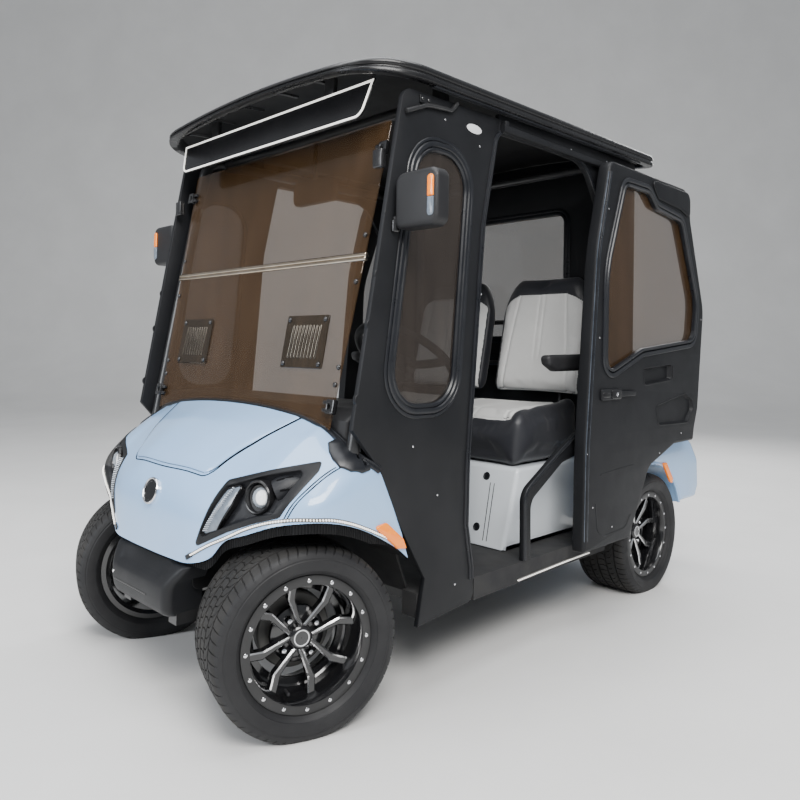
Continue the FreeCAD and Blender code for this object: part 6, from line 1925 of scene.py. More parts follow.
@dataclass
class SlidingDoor:
    """A grained sliding door with a gasketed window, latch, grips and bright front seals.

    Lengths in millimetres.
    """

    inner: float = 585.0
    outer: float = 631.0
    outline: Sequence[Row] = (
        (55, 292, 10), (60, 640, 900), (118, 1300, 900), (205, 1622, 40), (851, 1622, 70), (866, 1500, 60),
        (1006, 1139, 160), (957, 730, 60), (926, 655, 20), (914, 602, 8), (740, 600, 80), (520, 530, 70),
        (371, 292, 10))
    window: Sequence[Row] = (
        (302, 1560, 50), (181, 1240, 400), (177, 870, 50), (448, 962, 80), (906, 1006, 60), (929, 1169, 140),
        (775, 1490, 50), (556, 1510, 60), (486, 1562, 50))
    pad: Sequence[Row] = ((500, 1606, 16), (560, 1540, 26), (760, 1528, 30), (846, 1504, 20), (846, 1608, 40))
    grip: Sequence[Row] = ((456, 900, 14), (698, 917, 14), (700, 852, 14), (468, 836, 14))
    grab: Row = (706.0, 861.0, 906.0)
    pocket: Sequence[Row] = ((563, 758, 18), (702, 780, 200), (825, 799, 40), (899, 772, 30), (907, 728, 30),
                             (849, 677, 30), (589, 681, 22))
    crease: Sequence[Row] = ((156, 541), (284, 549, 200), (390, 552))
    emboss: Sequence[Row] = ((124, 450), (139, 350, 40), (190, 330, 60), (336, 335, 60), (374, 376))
    seal: Sequence[Row] = ((62, 330), (66, 640, 500), (124, 1300, 500), (196, 1580))
    latch: Row = (144.0, 278.0, 793.0, 831.0)
    lever: Row = (270.0, 389.0, 802.0, 821.0)
    lock_y: float = 243.0
    rivets: Sequence[Row] = ((106, 438), (238, 354), (68, 619), (139, 1006), (190, 1450), (602, 577),
                             (793, 640), (975, 1100), (905, 1370), (120, 1180))
    hangers: Row = (250.0, 420.0)

    def gasket(self) -> list[bpy.types.Object]:
        """Two rubber beads round the window."""
        return window_beads(dense(rounded(self.window, 8), 0.02), self.outer, (
            (13.0, [(-8, -4), (-8, 3), (-5, 6), (5, 6), (8, 3), (8, -4)]),
            (-3.0, [(-8, -10), (-8, 3), (-4, 7), (2, 6), (6, 0), (6, -10)])))

    def bowl(self, rows: Sequence[Row], depth: float) -> bpy.types.Object:
        """A recess with a rolled edge, sunk in the outer face."""
        loop = rounded(rows, 6)
        middle = sum(loop, Vector((0, 0))) / len(loop)
        rings = [(0.002, 1, 0.2), (0, 1, 1.6), (-0.003, 1, 1.2), (-0.006, 1, -depth * 0.6),
                 (-0.010, 1, -depth), (-0.010, 0.5, -depth), (-0.010, 0, -depth)]
        levels = []
        for inset, scale, height in rings:
            ring = grown(loop, inset)
            levels.append([Vector(((self.outer + height) * MM, *(middle + (p - middle) * scale)))
                           for p in ring])
        return painted(facing(sheet("recess", levels, closed=True), OUT), "abs")

    def fittings(self) -> list[bpy.types.Object]:
        """Latch with its lock, hangers, seals, crease, emboss and rivets."""
        y0, y1, z0, z1 = self.latch
        x = self.outer
        pieces = []
        for ya, yb, za, zb, proud, key in ((y0, y1, z0, z1, 9.0, "bumper"),
                                           (self.lock_y - 34, y1 - 3, z0 + 3, z1 - 3, 13.5, "gloss"),
                                           (*self.lever, 10.0, "bumper"),
                                           (y0 + 8, self.lock_y - 38, z0 + 9, z1 - 9, 11.0, "gloss")):
            loop = rounded(rectangle(ya, za, yb, zb, 6), 4)
            pieces.append(slab(key, "latch", loop, (x - 2) * MM, (x + proud) * MM, Across.X, edge=0.003))
        lock = spun("lock", [(8, 0.1), (8, 7.5), (13.6, 7.5), (14.6, 6), (14.2, 3.4), (13.6, 3),
                             (13.6, 0.1)], axis_matrix(Vector((x, self.lock_y, (z0 + z1) / 2)) * MM, OUT),
                             24, closed=False)
        grab_y, grab_low, grab_high = self.grab
        grab = sweep("grab", [Vector((x - 3, grab_y, grab_low)) * MM,
                              Vector((x - 3, grab_y, grab_high)) * MM], disc_profile(7, 16), OUT)
        pieces += [painted(lock, "chrome"), painted(grab, "gloss")]
        for place in self.hangers:
            block = plate("hanger", rounded(rectangle(place - 20, 1601, place + 20, 1619.5, 4), 3), 0.5786,
                          0.587, Across.X, edge=0.0015)
            pieces.append(painted(block, "bumper"))
        # Two thin pale bluish seal lines with a dark gasket between them.
        for shift, width, key in ((-1.0, 2.2, "seal_bright"), (12.0, 1.6, "seal_bright"),
                                  (5.5, 4.0, "gasket")):
            points = at_side((x - 4 + 4.2 * (shift > 0)) * MM,
                             rounded([(row[0] + shift, *row[1:]) for row in self.seal], 8))
            points = dense(points, 0.03, closed=False)
            pieces.append(strip(key, "edge_seal", points, disc_profile(width, 8), OUT))
        for rows, width in ((self.crease, 2.6), (self.emboss, 3.0)):
            points = dense(at_side((x + 0.2) * MM, rounded(rows, 10)), 0.03, closed=False)
            bead = sweep("crease", points, [(-width, -1), (-width * 0.6, 0.9), (width * 0.6, 0.9),
                                            (width, -1)], OUT)
            pieces.append(painted(bead, "abs"))
        spots = [Vector((x, y, z)) * MM for y, z in self.rivets]
        pieces.append(studs("rivets", dome_unit(3.4, 1.8, 8), "machined", spots, OUT))
        return pieces

    def build(self) -> None:
        """Builds both doors on their bodies."""
        loop = dense(rounded(self.outline, 8), 0.06)
        hole = dense(rounded(self.window, 8), 0.06)
        panel = plate("panel", loop, self.inner * MM, self.outer * MM, Across.X, holes=[hole], edge=0.012,
                      steps=4,
                      back_edge=0.004)
        raised = plate("pad", rounded(self.pad, 6), (self.outer - 3) * MM, (self.outer + 7) * MM, Across.X,
                       edge=0.006, steps=3)
        tools = [plate("tool", rounded(rows, 6), (self.outer - depth) * MM, (self.outer + 5) * MM, Across.X)
                 for rows, depth in ((self.grip, 16.0), (self.pocket, 12.0))]
        cut(panel, tools)
        bowls = [self.bowl(self.grip, 15.0), self.bowl(self.pocket, 11.0)]
        painted(panel, "abs")
        whole = joined("door_dressed_left", [panel, painted(raised, "abs"), *bowls, *self.gasket(),
                                             *self.fittings()])
        right = mirrored(whole, "door_dressed_right")
        mount(whole, Body.DOOR_LEFT, ("door_left",))
        mount(right, Body.DOOR_RIGHT, ("door_right",))


@dataclass
class Roof:
    """The arched roof with a rolled lip, side gutters and ribs below, and the visor under it.

    Lengths in millimetres.
    """

    half: float = 592.0
    front: float = -880.0
    rear: float = 650.0
    edge_z: float = 1655.0
    rise: float = 24.0
    height: float = 46.0
    crown: float = 38.0
    nose_sink: float = 22.0
    nose_length: float = 90.0
    lip: Sequence[Row] = ((62, 30), (46, 26), (40, 14), (34, 4), (26, 0.5), (16, 0), (6, 1.5), (1, 6),
                          (0, 13), (2.5, 18), (5.5, 20), (5.5, 23), (2.5, 25), (0.5, 30), (1.5, 36),
                          (6, 41.5), (14, 44.5), (26, 46), (60, 46.5))
    ribs: Row = (-430.0, -260.0, -90.0, 90.0, 260.0, 430.0)
    visor: Sequence[Row] = ((-490, 1668), (-466, 1562, 34), (466, 1562, 34), (490, 1668))
    visor_top_y: float = -786.0
    visor_lean: float = 0.245
    visor_wall: float = 6.0

    def level(self, x: float, y: float, height: float) -> float:
        """Height of a point of the roof, from its height over the arched edge."""
        sink = max(0.0, 1 - (y - self.front) / self.nose_length) ** 2 * self.nose_sink
        along = self.rise * (y - self.front) / (self.rear - self.front)
        arch = self.crown * (1 - min(1.0, (x / self.half) ** 2))
        return self.edge_z + along + arch + height - sink * height / self.height

    def shell(self) -> bpy.types.Object:
        """The roof as rings from the ceiling round the lip to the top."""
        outline = dense(rounded(rectangle(-self.half, self.rear, self.half, self.front, 60, 60, 190, 190),
                                16), 0.045)
        middle = Vector((0, (self.front + self.rear) / 2)) * MM
        rings = [(62, s, 34 - 4 * (s > 0.9)) for s in (0.0, 0.3, 0.6, 0.85, 0.97)]
        rings += [(inset, 1.0, height) for inset, height in self.lip]
        rings += [(60, s, 46.5) for s in (0.97, 0.9, 0.75, 0.5, 0.25, 0.0)]
        rows = []
        for inset, scale, height in rings:
            row = []
            for p in grown(outline, -inset * MM):
                q = middle + (p - middle) * scale
                row.append(Vector((q.x, q.y, self.level(q.x / MM, q.y / MM, height) * MM)))
            rows.append(row)
        piece = sheet("roof_moulding", rows, closed=True)
        painted(piece, "roof", "ceiling")
        for face in piece.data.polygons:
            centre = face.center
            edge = min(self.half * MM - abs(centre.x), centre.y - self.front * MM, self.rear * MM - centre.y)
            face.material_index = 1 if edge > 0.055 and face.normal.z < 0 else 0
        return piece

    def underside(self) -> list[bpy.types.Object]:
        """Ribs under the front lip and side gutters."""
        pieces = []
        for x in self.ribs:
            spots = [Vector((x, y, self.level(x, y, h) - 1)) * MM
                     for y, h in ((-846, 10), (-830, 22), (-800, 30), (-740, 33))]
            pieces.append(strip("roof", "rib", spline(spots, 5), [(-9, -3), (-6, 5), (6, 5), (9, -3)],
                                Vector((0, 0, -1))))
        for side in (1, -1):
            for inset, drop, radius in ((9.0, 0.5, 3.2), (22.0, 0.0, 2.6)):
                x = side * (self.half - inset)
                spots = [Vector((x, y, self.level(self.half, y, 0) - drop)) * MM
                         for y in range(-660, 590, 90)]
                pieces.append(strip("gasket", "gutter", spots, disc_profile(radius, 8), UP))
        return pieces

    def visor_parts(self) -> list[bpy.types.Object]:
        """The dark visor panel with its bright outline."""
        rows = [(x, z) for x, z, *_ in self.visor]
        lean = self.visor_lean
        top = max(z for _, z in rows)

        def place(point: Vector, proud: float) -> Vector:
            z = point.y / MM
            return Vector((point.x, (self.visor_top_y - (top - z) * lean - proud) * MM,
                           point.y + 0.23 * proud * MM))

        loop = dense(rounded(self.visor, 6), 0.05)
        levels = []
        for inset, proud in ((2, 0), (0, 1.5), (0, self.visor_wall - 1.5), (1.5, self.visor_wall)):
            levels.append([place(p, proud) for p in grown(loop, -inset * MM)])
        panel = painted(sheet("visor_panel", levels, closed=True, capped=True), "gloss")
        line = [place(p, self.visor_wall + 0.4) for p in grown(loop, -0.006)]
        out = Vector((0, -1, 0.23))
        glow = strip("led", "visor_line", line, [(-3.2, -1), (-3.2, 0.8), (-2, 2), (2, 2), (3.2, 0.8),
                                                 (3.2, -1)], out, closed=True)
        brackets = []
        for x in (-300, 300):
            arm = plate("visor_arm", rounded(rectangle(x - 20, -792, x + 20, -774, 4), 3), 1.655,
                        self.level(x, -783, 32) * MM, Across.Z, edge=0.002)
            brackets.append(painted(arm, "frame"))
        return [panel, glow, *brackets]

    def build(self) -> None:
        """Builds the roof and visor on the cart."""
        mount(joined("roof_dressed", [self.shell(), *self.underside()]), replaces=("roof",),
              angle=40)
        mount(joined("visor_dressed", self.visor_parts()), replaces=("visor",))


@dataclass
class RearWall:
    """The cab's back wall with a gasketed window. Lengths in millimetres."""

    half: float = 543.5
    front: float = 504.0
    rear: float = 520.0
    low: float = 640.5
    under_roof: float = 30.0
    window: Sequence[Row] = ((-275, 1010, 45), (275, 1010, 45), (275, 1530, 45), (-275, 1530, 45))
    groove: Sequence[Row] = ((-480, 720, 60), (480, 720, 60), (480, 930, 60), (-480, 930, 60))

    def build(self) -> None:
        """Builds the wall on the cart."""
        roof = Roof()
        top = [(x, roof.level(x, self.rear, self.under_roof) - 0.5)
               for x in [self.half * (1 - k / 8) for k in range(17)]]
        outline = rounded([(-self.half, self.low, 4), (self.half, self.low, 4), *top], 5)
        wall = slab("abs", "wall", outline, self.front * MM, self.rear * MM, Across.Y,
                    holes=[dense(rounded(self.window, 8), 0.06)], edge=0.003, steps=2)
        pieces = [wall]
        loop = dense(rounded(self.window, 8), 0.06)
        for y, out in ((self.front, -1), (self.rear, 1)):
            for distance, high in ((10.0, 5.0), (-4.0, 6.5)):
                ring = [Vector((p.x, y * MM, p.y)) for p in grown(loop, distance * MM)]
                profile = [(-7, -4), (-7, high - 3), (-3, high), (3, high), (7, high - 3), (7, -4)]
                pieces.append(strip("gasket", "bead", ring, profile, Vector((0, out, 0)), closed=True))
            ring = [Vector((p.x, y * MM, p.y)) for p in dense(rounded(self.groove, 8), 0.08)]
            pieces.append(strip("abs", "bead", ring, [(-6, -1), (-3, 2.4), (3, 2.4), (6, -1)],
                                Vector((0, out, 0)), closed=True))
        spots = [Vector((x, self.rear, z)) * MM for x in (-500, -250, 0, 250, 500) for z in (690, 1610)]
        spots += [Vector((x, self.rear, z)) * MM for x in (-500, 500) for z in (900, 1130, 1370)]
        pieces.append(studs("rivets", dome_unit(4.2, 2.2, 8), "machined", spots, BACKWARDS))
        mount(joined("rear_wall_dressed", pieces), replaces=("rear_panel",))


# Seats and controls


@dataclass
class Upholstery:
    """Makes a closed form into padded vinyl by a cloth simulation."""

    voxel: float = 0.0075
    pressure: float = 4.0
    frames: int = 20
    cap: float = 0.018

    def inflate(self, piece: bpy.types.Object, fill: float) -> bpy.types.Object:
        """Swells a form, keeps each point near where it was and smooths it.

        Args:
            piece: The closed form.
            fill: How tight the pad is, from 0 to 1.

        Returns:
            The same object, with the padded shape.
        """
        remesh = piece.modifiers.new("remesh", "REMESH")
        remesh.mode = "VOXEL"
        remesh.voxel_size = self.voxel
        baked(piece)
        start = [v.co.copy() for v in piece.data.vertices]
        cloth = piece.modifiers.new("cloth", "CLOTH")
        cloth.settings.use_pressure = True
        cloth.settings.uniform_pressure_force = self.pressure * fill
        cloth.settings.effector_weights.gravity = 0.0
        cloth.settings.quality = 5
        cloth.point_cache.frame_start = 1
        cloth.point_cache.frame_end = self.frames
        scene = bpy.context.scene
        for frame in range(1, self.frames + 1):
            scene.frame_set(frame)
        baked(piece)
        scene.frame_set(1)
        for vertex, old in zip(piece.data.vertices, start):
            move = vertex.co - old
            if move.length > self.cap:
                vertex.co = old + move.normalized() * self.cap
        relax = piece.modifiers.new("relax", "SMOOTH")
        relax.factor = 0.5
        relax.iterations = 4
        return baked(piece)


@dataclass
class Seat:
    """The long cushion, two backs with pale quilted inserts and the arm rests. Lengths in millimetres."""

    half: float = 455.0
    front: float = -72.0
    rear: float = 338.0
    base_top: float = 565.3
    thickness: float = 176.0
    back_width: float = 430.0
    back_gap: float = 20.0
    back_bottom: float = 786.0
    back_top: float = 1262.0
    back_front: float = 318.0
    back_lean: float = 90.0
    back_thickness: float = 92.0
    insert_half: Row = (146.0, 106.0, 186.0)
    channel: float = 12.0
    channel_depth: float = 4.2
    shoulder: float = 56.0
    wing: Row = (27.0, 404.0, 44.0, 34.0, 150.0)
    fill: float = 0.7
    arm_x: float = 486.0
    arm_half: float = 22.0
    arm: Sequence[Row] = ((24, 944, 22), (34, 910, 16), (84, 887, 24), (300, 890, 10), (300, 950, 12))

    def cushion(self) -> bpy.types.Object:
        """The seat cushion with two pale tops and sewn channels."""
        top = self.base_top + self.thickness
        swell = 7.0
        outline = rounded([(self.front + swell, self.base_top + 1, 14), (self.front + swell + 8, top - 4, 46),
                           (self.rear - 6, top + 18, 36), (self.rear - 6, self.base_top + 1, 10)], 8)
        piece = plate("cushion", outline, -(self.half - swell) * MM, (self.half - swell) * MM, Across.X,
                      edge=0.03, steps=5)
        Upholstery(cap=0.011).inflate(piece, self.fill)
        floor = (self.base_top + 0.5) * MM
        for vertex in piece.data.vertices:
            vertex.co.z = max(vertex.co.z, floor)
            vertex.co.y = min(max(vertex.co.y, self.front * MM), (self.rear + 2) * MM)
            vertex.co.x = min(max(vertex.co.x, -self.half * MM), self.half * MM)
        subdivided(piece)
        rise, wing_x, ease_x, wing_y, ease_y = self.wing
        for vertex in piece.data.vertices:
            if vertex.co.z < (top - 60) * MM:
                continue
            share = 1.0
            for gap, ease in ((abs(vertex.co.x) / MM - wing_x, ease_x), (vertex.co.y / MM - wing_y, ease_y)):
                part = min(1.0, max(0.0, gap / ease + 0.5))
                share *= part * part * (3 - 2 * part)
            vertex.co.z += share * rise * MM
        painted(piece, "vinyl_dark", "vinyl_light")
        for side in (1, -1):
            self.quilt(piece, UP, side * 222.0, (150.0, 150.0, 176.0), (self.front + 34, self.rear - 30),
                       Across.Z)
        return piece

    def quilt(self, piece: bpy.types.Object, out: Vector, middle: float, halves: Row, reach: Row,
              across: Across) -> None:
        """Marks a pale insert on a pad, with bolsters beside it,
        and presses its seams and its middle channel.

        Args:
            piece: The pad.
            out: The direction that the insert faces.
            middle: The insert's middle X in millimetres.
            halves: Half width of the panel at its start and end, and of the panel with its bolsters.
            reach: Where the insert starts and ends along the pad.
            across: The pad's thickness axis, which tells the insert's long axis.
        """
        first, last, whole = halves
        low, high = reach
        mesh = piece.data
        normals = [n.vector.copy() for n in mesh.vertex_normals]

        def place(point: Vector) -> tuple[float, float, float, float]:
            """Distance from the middle, place along the pad, and the panel's and the bolsters' half
            widths there.
            """
            v = (point.y if across is Across.Z else point.z) / MM
            share = min(1.0, max(0.0, (v - low) / (high - low)))
            inner = first + (last - first) * share ** 1.5
            drop = max(0.0, (v - (high - self.shoulder)) / self.shoulder)
            outer = whole - (whole - inner) * min(1.0, drop) ** 2
            return abs(point.x / MM - middle), v, inner, outer

        for vertex, normal in zip(mesh.vertices, normals):
            if normal.dot(out) < 0.3:
                continue
            x, v, inner, outer = place(vertex.co)
            depth = 0.0
            if low < v < high and x < outer:
                depth += self.channel_depth * math.exp(-(((x - inner) / 5.5) ** 2))
                fade = min(1.0, max(0.0, (v - low - 0.3 * (high - low)) / 30)) if across is Across.Y else 1.0
                depth += 0.7 * self.channel_depth * fade * math.exp(-(((x - self.channel) / 4.0) ** 2))
            edges = [abs(x - outer) if low - 8 < v < high + 8 else 99, abs(v - low) if x < outer else 99,
                     abs(v - high) if x < inner else 99]
            depth += self.channel_depth * math.exp(-((min(edges) / 5.0) ** 2))
            vertex.co -= normal * (depth * MM)
        for face in mesh.polygons:
            x, v, inner, outer = place(face.center)
            if face.normal.dot(out) > 0.25 and x < outer and low < v < high:
                face.material_index = 1

    def back(self) -> bpy.types.Object:
        """The left back: dark top and wings round a pale channelled insert with side bolsters."""
        rise = self.back_top - self.back_bottom
        centre = self.back_gap + self.back_width / 2
        half = self.back_width / 2 - 6
        rings = []
        steps = 26
        for k in range(steps + 1):
            v = k / steps
            z = self.back_bottom + 5 + (rise - 8) * v
            width = half
            if v > 0.62:
                width = half * (1 - 0.30 * ((v - 0.62) / 0.38) ** 2.2)
            taper = 1.0
            for gap in (v * rise, (1 - v) * rise):
                if gap < 34:
                    taper = min(taper, 0.55 + 0.45 * math.sin(math.pi / 2 * gap / 34))
            front = self.back_front + 5 + self.back_lean * v
            depth = self.back_thickness - 8 + 8 * math.sin(math.pi * v)
            middle = front + depth / 2
            ring = []
            for t in range(40):
                angle = 2 * math.pi * t / 40
                c, s = math.cos(angle), math.sin(angle)
                px = math.copysign(abs(c) ** 0.45, c) * width * (0.9 + 0.1 * taper)
                py = math.copysign(abs(s) ** 0.55, s) * depth / 2 * taper
                dish = 10 * math.cos(px / half * math.pi / 2) if s < 0 else 0
                ring.append(Vector((centre + px, middle + py + dish * taper, z)) * MM)
            rings.append(ring)
        piece = sheet("seat_back", rings, closed=True, capped=True)
        Upholstery(cap=0.009).inflate(piece, self.fill)
        subdivided(piece)
        painted(piece, "vinyl_dark", "vinyl_light")
        self.quilt(piece, Vector((0, -1, 0.15)), centre, self.insert_half,
                   (self.back_bottom + 14, self.back_top - 76), Across.Y)
        return piece

    def arm_rest(self) -> bpy.types.Object:
        """The left padded arm rest."""
        piece = plate("arm_rest", rounded(self.arm, 6), (self.arm_x - self.arm_half + 2) * MM,
                      (self.arm_x + self.arm_half - 2) * MM,
                      Across.X, edge=0.013, steps=4)
        return painted(subdivided(piece), "grip")

    def finish(self, piece: bpy.types.Object, nodes: Sequence[str], body: Body = Body.CART) -> None:
        mount(piece, body, nodes, 60)

    def build(self) -> None:
        """Builds the cushion on its lid, and the backs and arm rests on the cart."""
        cushion = self.cushion()
        cushion.name = "seat_cushion_padded"
        self.finish(cushion, ("seat_cushion",), Body.SEAT_LID)
        left = self.back()
        right = mirrored(left, "seat_back_other")
        self.finish(joined("seat_backs_padded", [left, right]), ("seat_backs",))
        arms = with_mirror(self.arm_rest())
        arms.name = "arm_rests_padded"
        self.finish(arms, ("arm_rests",))


@dataclass
class SeatBase:
    """The pale pod under the seat with dark access holes, closed by black discs of painted shade. Lengths in
    millimetres.
    """

    half: float = 455.0
    outline: Sequence[Row] = ((-152, 301, 4), (-70, 563, 22), (345, 563, 4), (345, 301, 4))
    holes: Sequence[Row] = ((333, 524), (332, 358))
    seams: Sequence[Sequence[Row]] = (((350, 560), (368, 320)), ((367, 560), (383, 320)))
    hole_radius: float = 10.0

    def build(self) -> None:
        """Builds the pod on the cart."""
        body = plate("pod", rounded(self.outline, 7), -self.half * MM, self.half * MM, Across.X, edge=0.014,
                     steps=4)
        pieces = [painted(body, "pod")]
        tree = tree_of(body)
        r = self.hole_radius
        for side in (1, -1):
            for x, z in self.holes:
                place, out = on_surface(tree, Vector((side * x * MM, -0.4, z * MM)), BACKWARDS)
                # Each grommet is a rubber ring round a closed black disc, painted shade standing for the open
                # hole.
                pieces.append(turned("gasket", "grommet",
                                     [(-3, r + 4), (0.6, r + 4), (2.4, r + 2.6), (2.4, r), (0.5, r - 1.5),
                                      (0.5, 0.1)], axis_matrix(place, out), 28, closed=False))
            # Dark strips of painted shadow stand for the pod's double seams.
            for (x0, z0), (x1, z1) in self.seams:
                spots = [on_surface(tree, Vector((side * (x0 + (x1 - x0) * t) * MM, -0.4,
                                                  (z0 + (z1 - z0) * t) * MM)),
                                                  BACKWARDS) for t in (0, 0.25, 0.5, 0.75, 1)]
                pieces.append(strip("seam", "pod_seam",
                                    [s[0] for s in spots], [(-1.3, -1), (-1.3, 0.5), (1.3, 0.5), (1.3, -1)],
                                    [s[1] for s in spots]))
        mount(joined("seat_pod", pieces), replaces=("seat_base",))


def column_axis() -> Vector:
    """Direction of the steering column, towards the driver."""
    return Vector((0, math.cos(math.radians(COLUMN_TILT)), math.sin(math.radians(COLUMN_TILT))))


@dataclass
class Dash:
    """The dash, its open pocket, dials and the column's shroud. Lengths in millimetres."""

    half: float = 489.0
    outline: Sequence[Row] = ((-874, 730), (-870, 770, 6), (-830, 800, 24), (-650, 806, 30), (-606, 776, 28),
                              (-600, 676, 34), (-640, 600, 12), (-874, 600))
    pocket: Row = (-449.0, -60.0, -660.0, 700.0, 760.0)
    column_radius: float = 24.0

    def build(self) -> None:
        """Builds the dash on the cart."""
        body = plate("dash", rounded(self.outline, 7), -self.half * MM, self.half * MM, Across.X, edge=0.012,
                     steps=3)
        x0, x1, y, z0, z1 = self.pocket
        tool = plate("tool", rounded(rectangle(x0, z0, x1, z1, 14), 4), y * MM, -0.55, Across.Y)
        cut(body, [tool])
        pieces = [painted(body, "dash")]
        axis = column_axis()
        top = Vector(STEERING_CENTRE) * MM - axis * 0.0624
        matrix = axis_matrix(top, -axis)
        r = self.column_radius
        pieces.append(turned("dash", "column", [(0, 0.1), (0, r + 6), (8, r + 9), (120, r + 12),
                                                (190, r + 16), (215, r + 10), (216, r), (300, r),
                                                (300, 0.1)], matrix, 32, closed=False))
        for x, z, radius in ((128, 742, 17), (332, 742, 17), (60, 735, 11)):
            place = axis_matrix(Vector((x * MM, -0.6035, z * MM)), BACKWARDS)
            pieces.append(turned("gloss", "dial", [(-6, radius), (3, radius), (5, radius - 2),
                                                   (4, radius - 4), (2.5, radius - 5), (2.5, 0.1)], place,
                                                   28, closed=False))
        lower = Vector(STEERING_CENTRE) * MM - axis * 0.062
        foot = lower - axis * 0.49
        pieces.append(strip("frame", "lower_column", [lower - axis * 0.28, foot], disc_profile(r, 24), OUT))
        mount(joined("dash_dressed", pieces), replaces=("dashboard",))


@dataclass
class SteeringWheel:
    """The soft steering wheel with three spokes. Lengths in millimetres."""

    radius: float = 172.0
    grip: float = 13.0

    def build(self) -> None:
        """Builds the wheel on its body."""
        matrix = axis_matrix(Vector(STEERING_CENTRE) * MM, column_axis())
        g, r = self.grip, self.radius
        section = [(g * math.sin(a * math.pi / 7), r + g * math.cos(a * math.pi / 7)) for a in range(14)]
        pieces = [turned("grip", "rim", section, matrix, 96)]
        pieces.append(turned("gloss", "boss", [(-61, 0.1), (-61, 19), (-48, 21), (-47, 43), (-40, 46),
                                               (-18, 46), (-9, 42), (-7, 34), (-5, 30), (-5, 0.1)], matrix,
                                               40, closed=False))
        for angle in (0, 180, 90):
            turn = matrix @ Matrix.Rotation(math.radians(angle), 4, "X")
            spots = [turn @ (Vector((h, d, 0)) * MM)
                     for h, d in ((-22, 30), (-20, 80), (-13, 130), (-3, r - 2))]
            out = turn.to_3x3() @ OUT
            pieces.append(strip("dash", "spoke", spline(spots, 5), [(-17, -4), (-15, 4), (15, 4), (17, -4)],
                                out))
        mount(joined("steering_wheel_dressed", pieces), Body.STEERING_WHEEL, ("steering_wheel",),
              40)


@dataclass
class Mirrors:
    """Square side mirrors with pill lamps, and the cabin mirror. Lengths in millimetres."""

    centre: Row = (642.0, -772.0, 1330.0)
    half: float = 72.0
    rim: float = 8.0
    lamp_inset: float = 19.0
    depth: float = 24.0
    cabin: Row = (-80.0, 124.0, 1425.0, 1505.0)
    cabin_y: float = -610.0

    def side(self) -> list[bpy.types.Object]:
        """The left mirror: crowned case, glass, pill lamp, arm and clamp."""
        cx, cy, cz = self.centre
        h = self.half
        case = plate("case", rounded(rectangle(cx - h, cz - h, cx + h, cz + h, 22, 26, 26, 30), 6),
                     -(cy + self.depth) * MM, -(cy - self.depth) * MM, Across.Y, edge=0.013, steps=5,
                     back_edge=0.004)
        pieces = [painted(flipped(case, 1, -1), "mirror_case")]
        h = self.half - self.rim
        pane = rounded(rectangle(cx - h, cz - h, cx + h, cz + h, 18, 20, 20, 24), 6)
        pieces.append(slab("mirror", "glass", pane, (cy + self.depth - 1) * MM, (cy + self.depth + 1) * MM,
                           Across.Y, edge=0.0008, steps=1))
        x = cx + self.half - self.lamp_inset
        for low, high, key in ((cz - 2, cz + 52, "amber"), (cz - 50, cz - 3, "clear")):
            ends = (2, 11) if key == "amber" else (11, 2)
            rows = [(x - 10, low, ends[0]), (x + 10, low, ends[0]), (x + 10, high, ends[1]),
                    (x - 10, high, ends[1])]
            lens = plate("pill", rounded(rows, 6), -(cy - self.depth + 2) * MM, -(cy - self.depth - 4) * MM,
                         Across.Y, edge=0.003)
            pieces.append(painted(flipped(lens, 1, -1), key))
        spots = [Vector((cx - 30, cy + 6, cz - 50)), Vector((cx - 66, cy - 4, cz - 50)),
                 Vector((561, cy - 12, cz - 50))]
        pieces.append(strip("mirror_case", "arm", [p * MM for p in spots],
                            [(-8, -14), (-8, 14), (8, 14), (8, -14)], UP))
        clamp = spun("clamp", [(-16, 9), (-13, 12), (13, 12), (16, 9), (16, 0.1)],
                     axis_matrix(Vector((564, cy - 12, cz - 60)) * MM, UP, OUT), 20, closed=False)
        pieces.append(painted(clamp, "bolt"))
        return pieces

    def cabin_parts(self) -> list[bpy.types.Object]:
        """The cabin mirror on its stem."""
        x0, x1, z0, z1 = self.cabin
        y = self.cabin_y
        loop = rounded(rectangle(x0, z0, x1, z1, 20), 6)
        case = plate("cabin_case", loop, -(y + 12) * MM, -(y - 14) * MM, Across.Y, edge=0.009, steps=4,
                     back_edge=0.002)
        flipped(case, 1, -1)
        glass = plate("cabin_glass", grown(loop, -0.006), (y + 11) * MM, (y + 13.5) * MM, Across.Y,
                      edge=0.0008, steps=1)
        stem = sweep("stem", [Vector((22, y, 1500)) * MM, Vector((22, y, 1621)) * MM], disc_profile(7, 16),
                     BACKWARDS)
        return [painted(case, "mirror_case"), painted(glass, "mirror"), painted(stem, "bolt")]

    def build(self) -> None:
        """Builds the mirrors on the cart."""
        pair = with_mirror(joined("side_mirrors", self.side()))
        mount(joined("mirrors_dressed", [pair, *self.cabin_parts()]), replaces=("mirrors",))


# Rear body and what stays from the frame


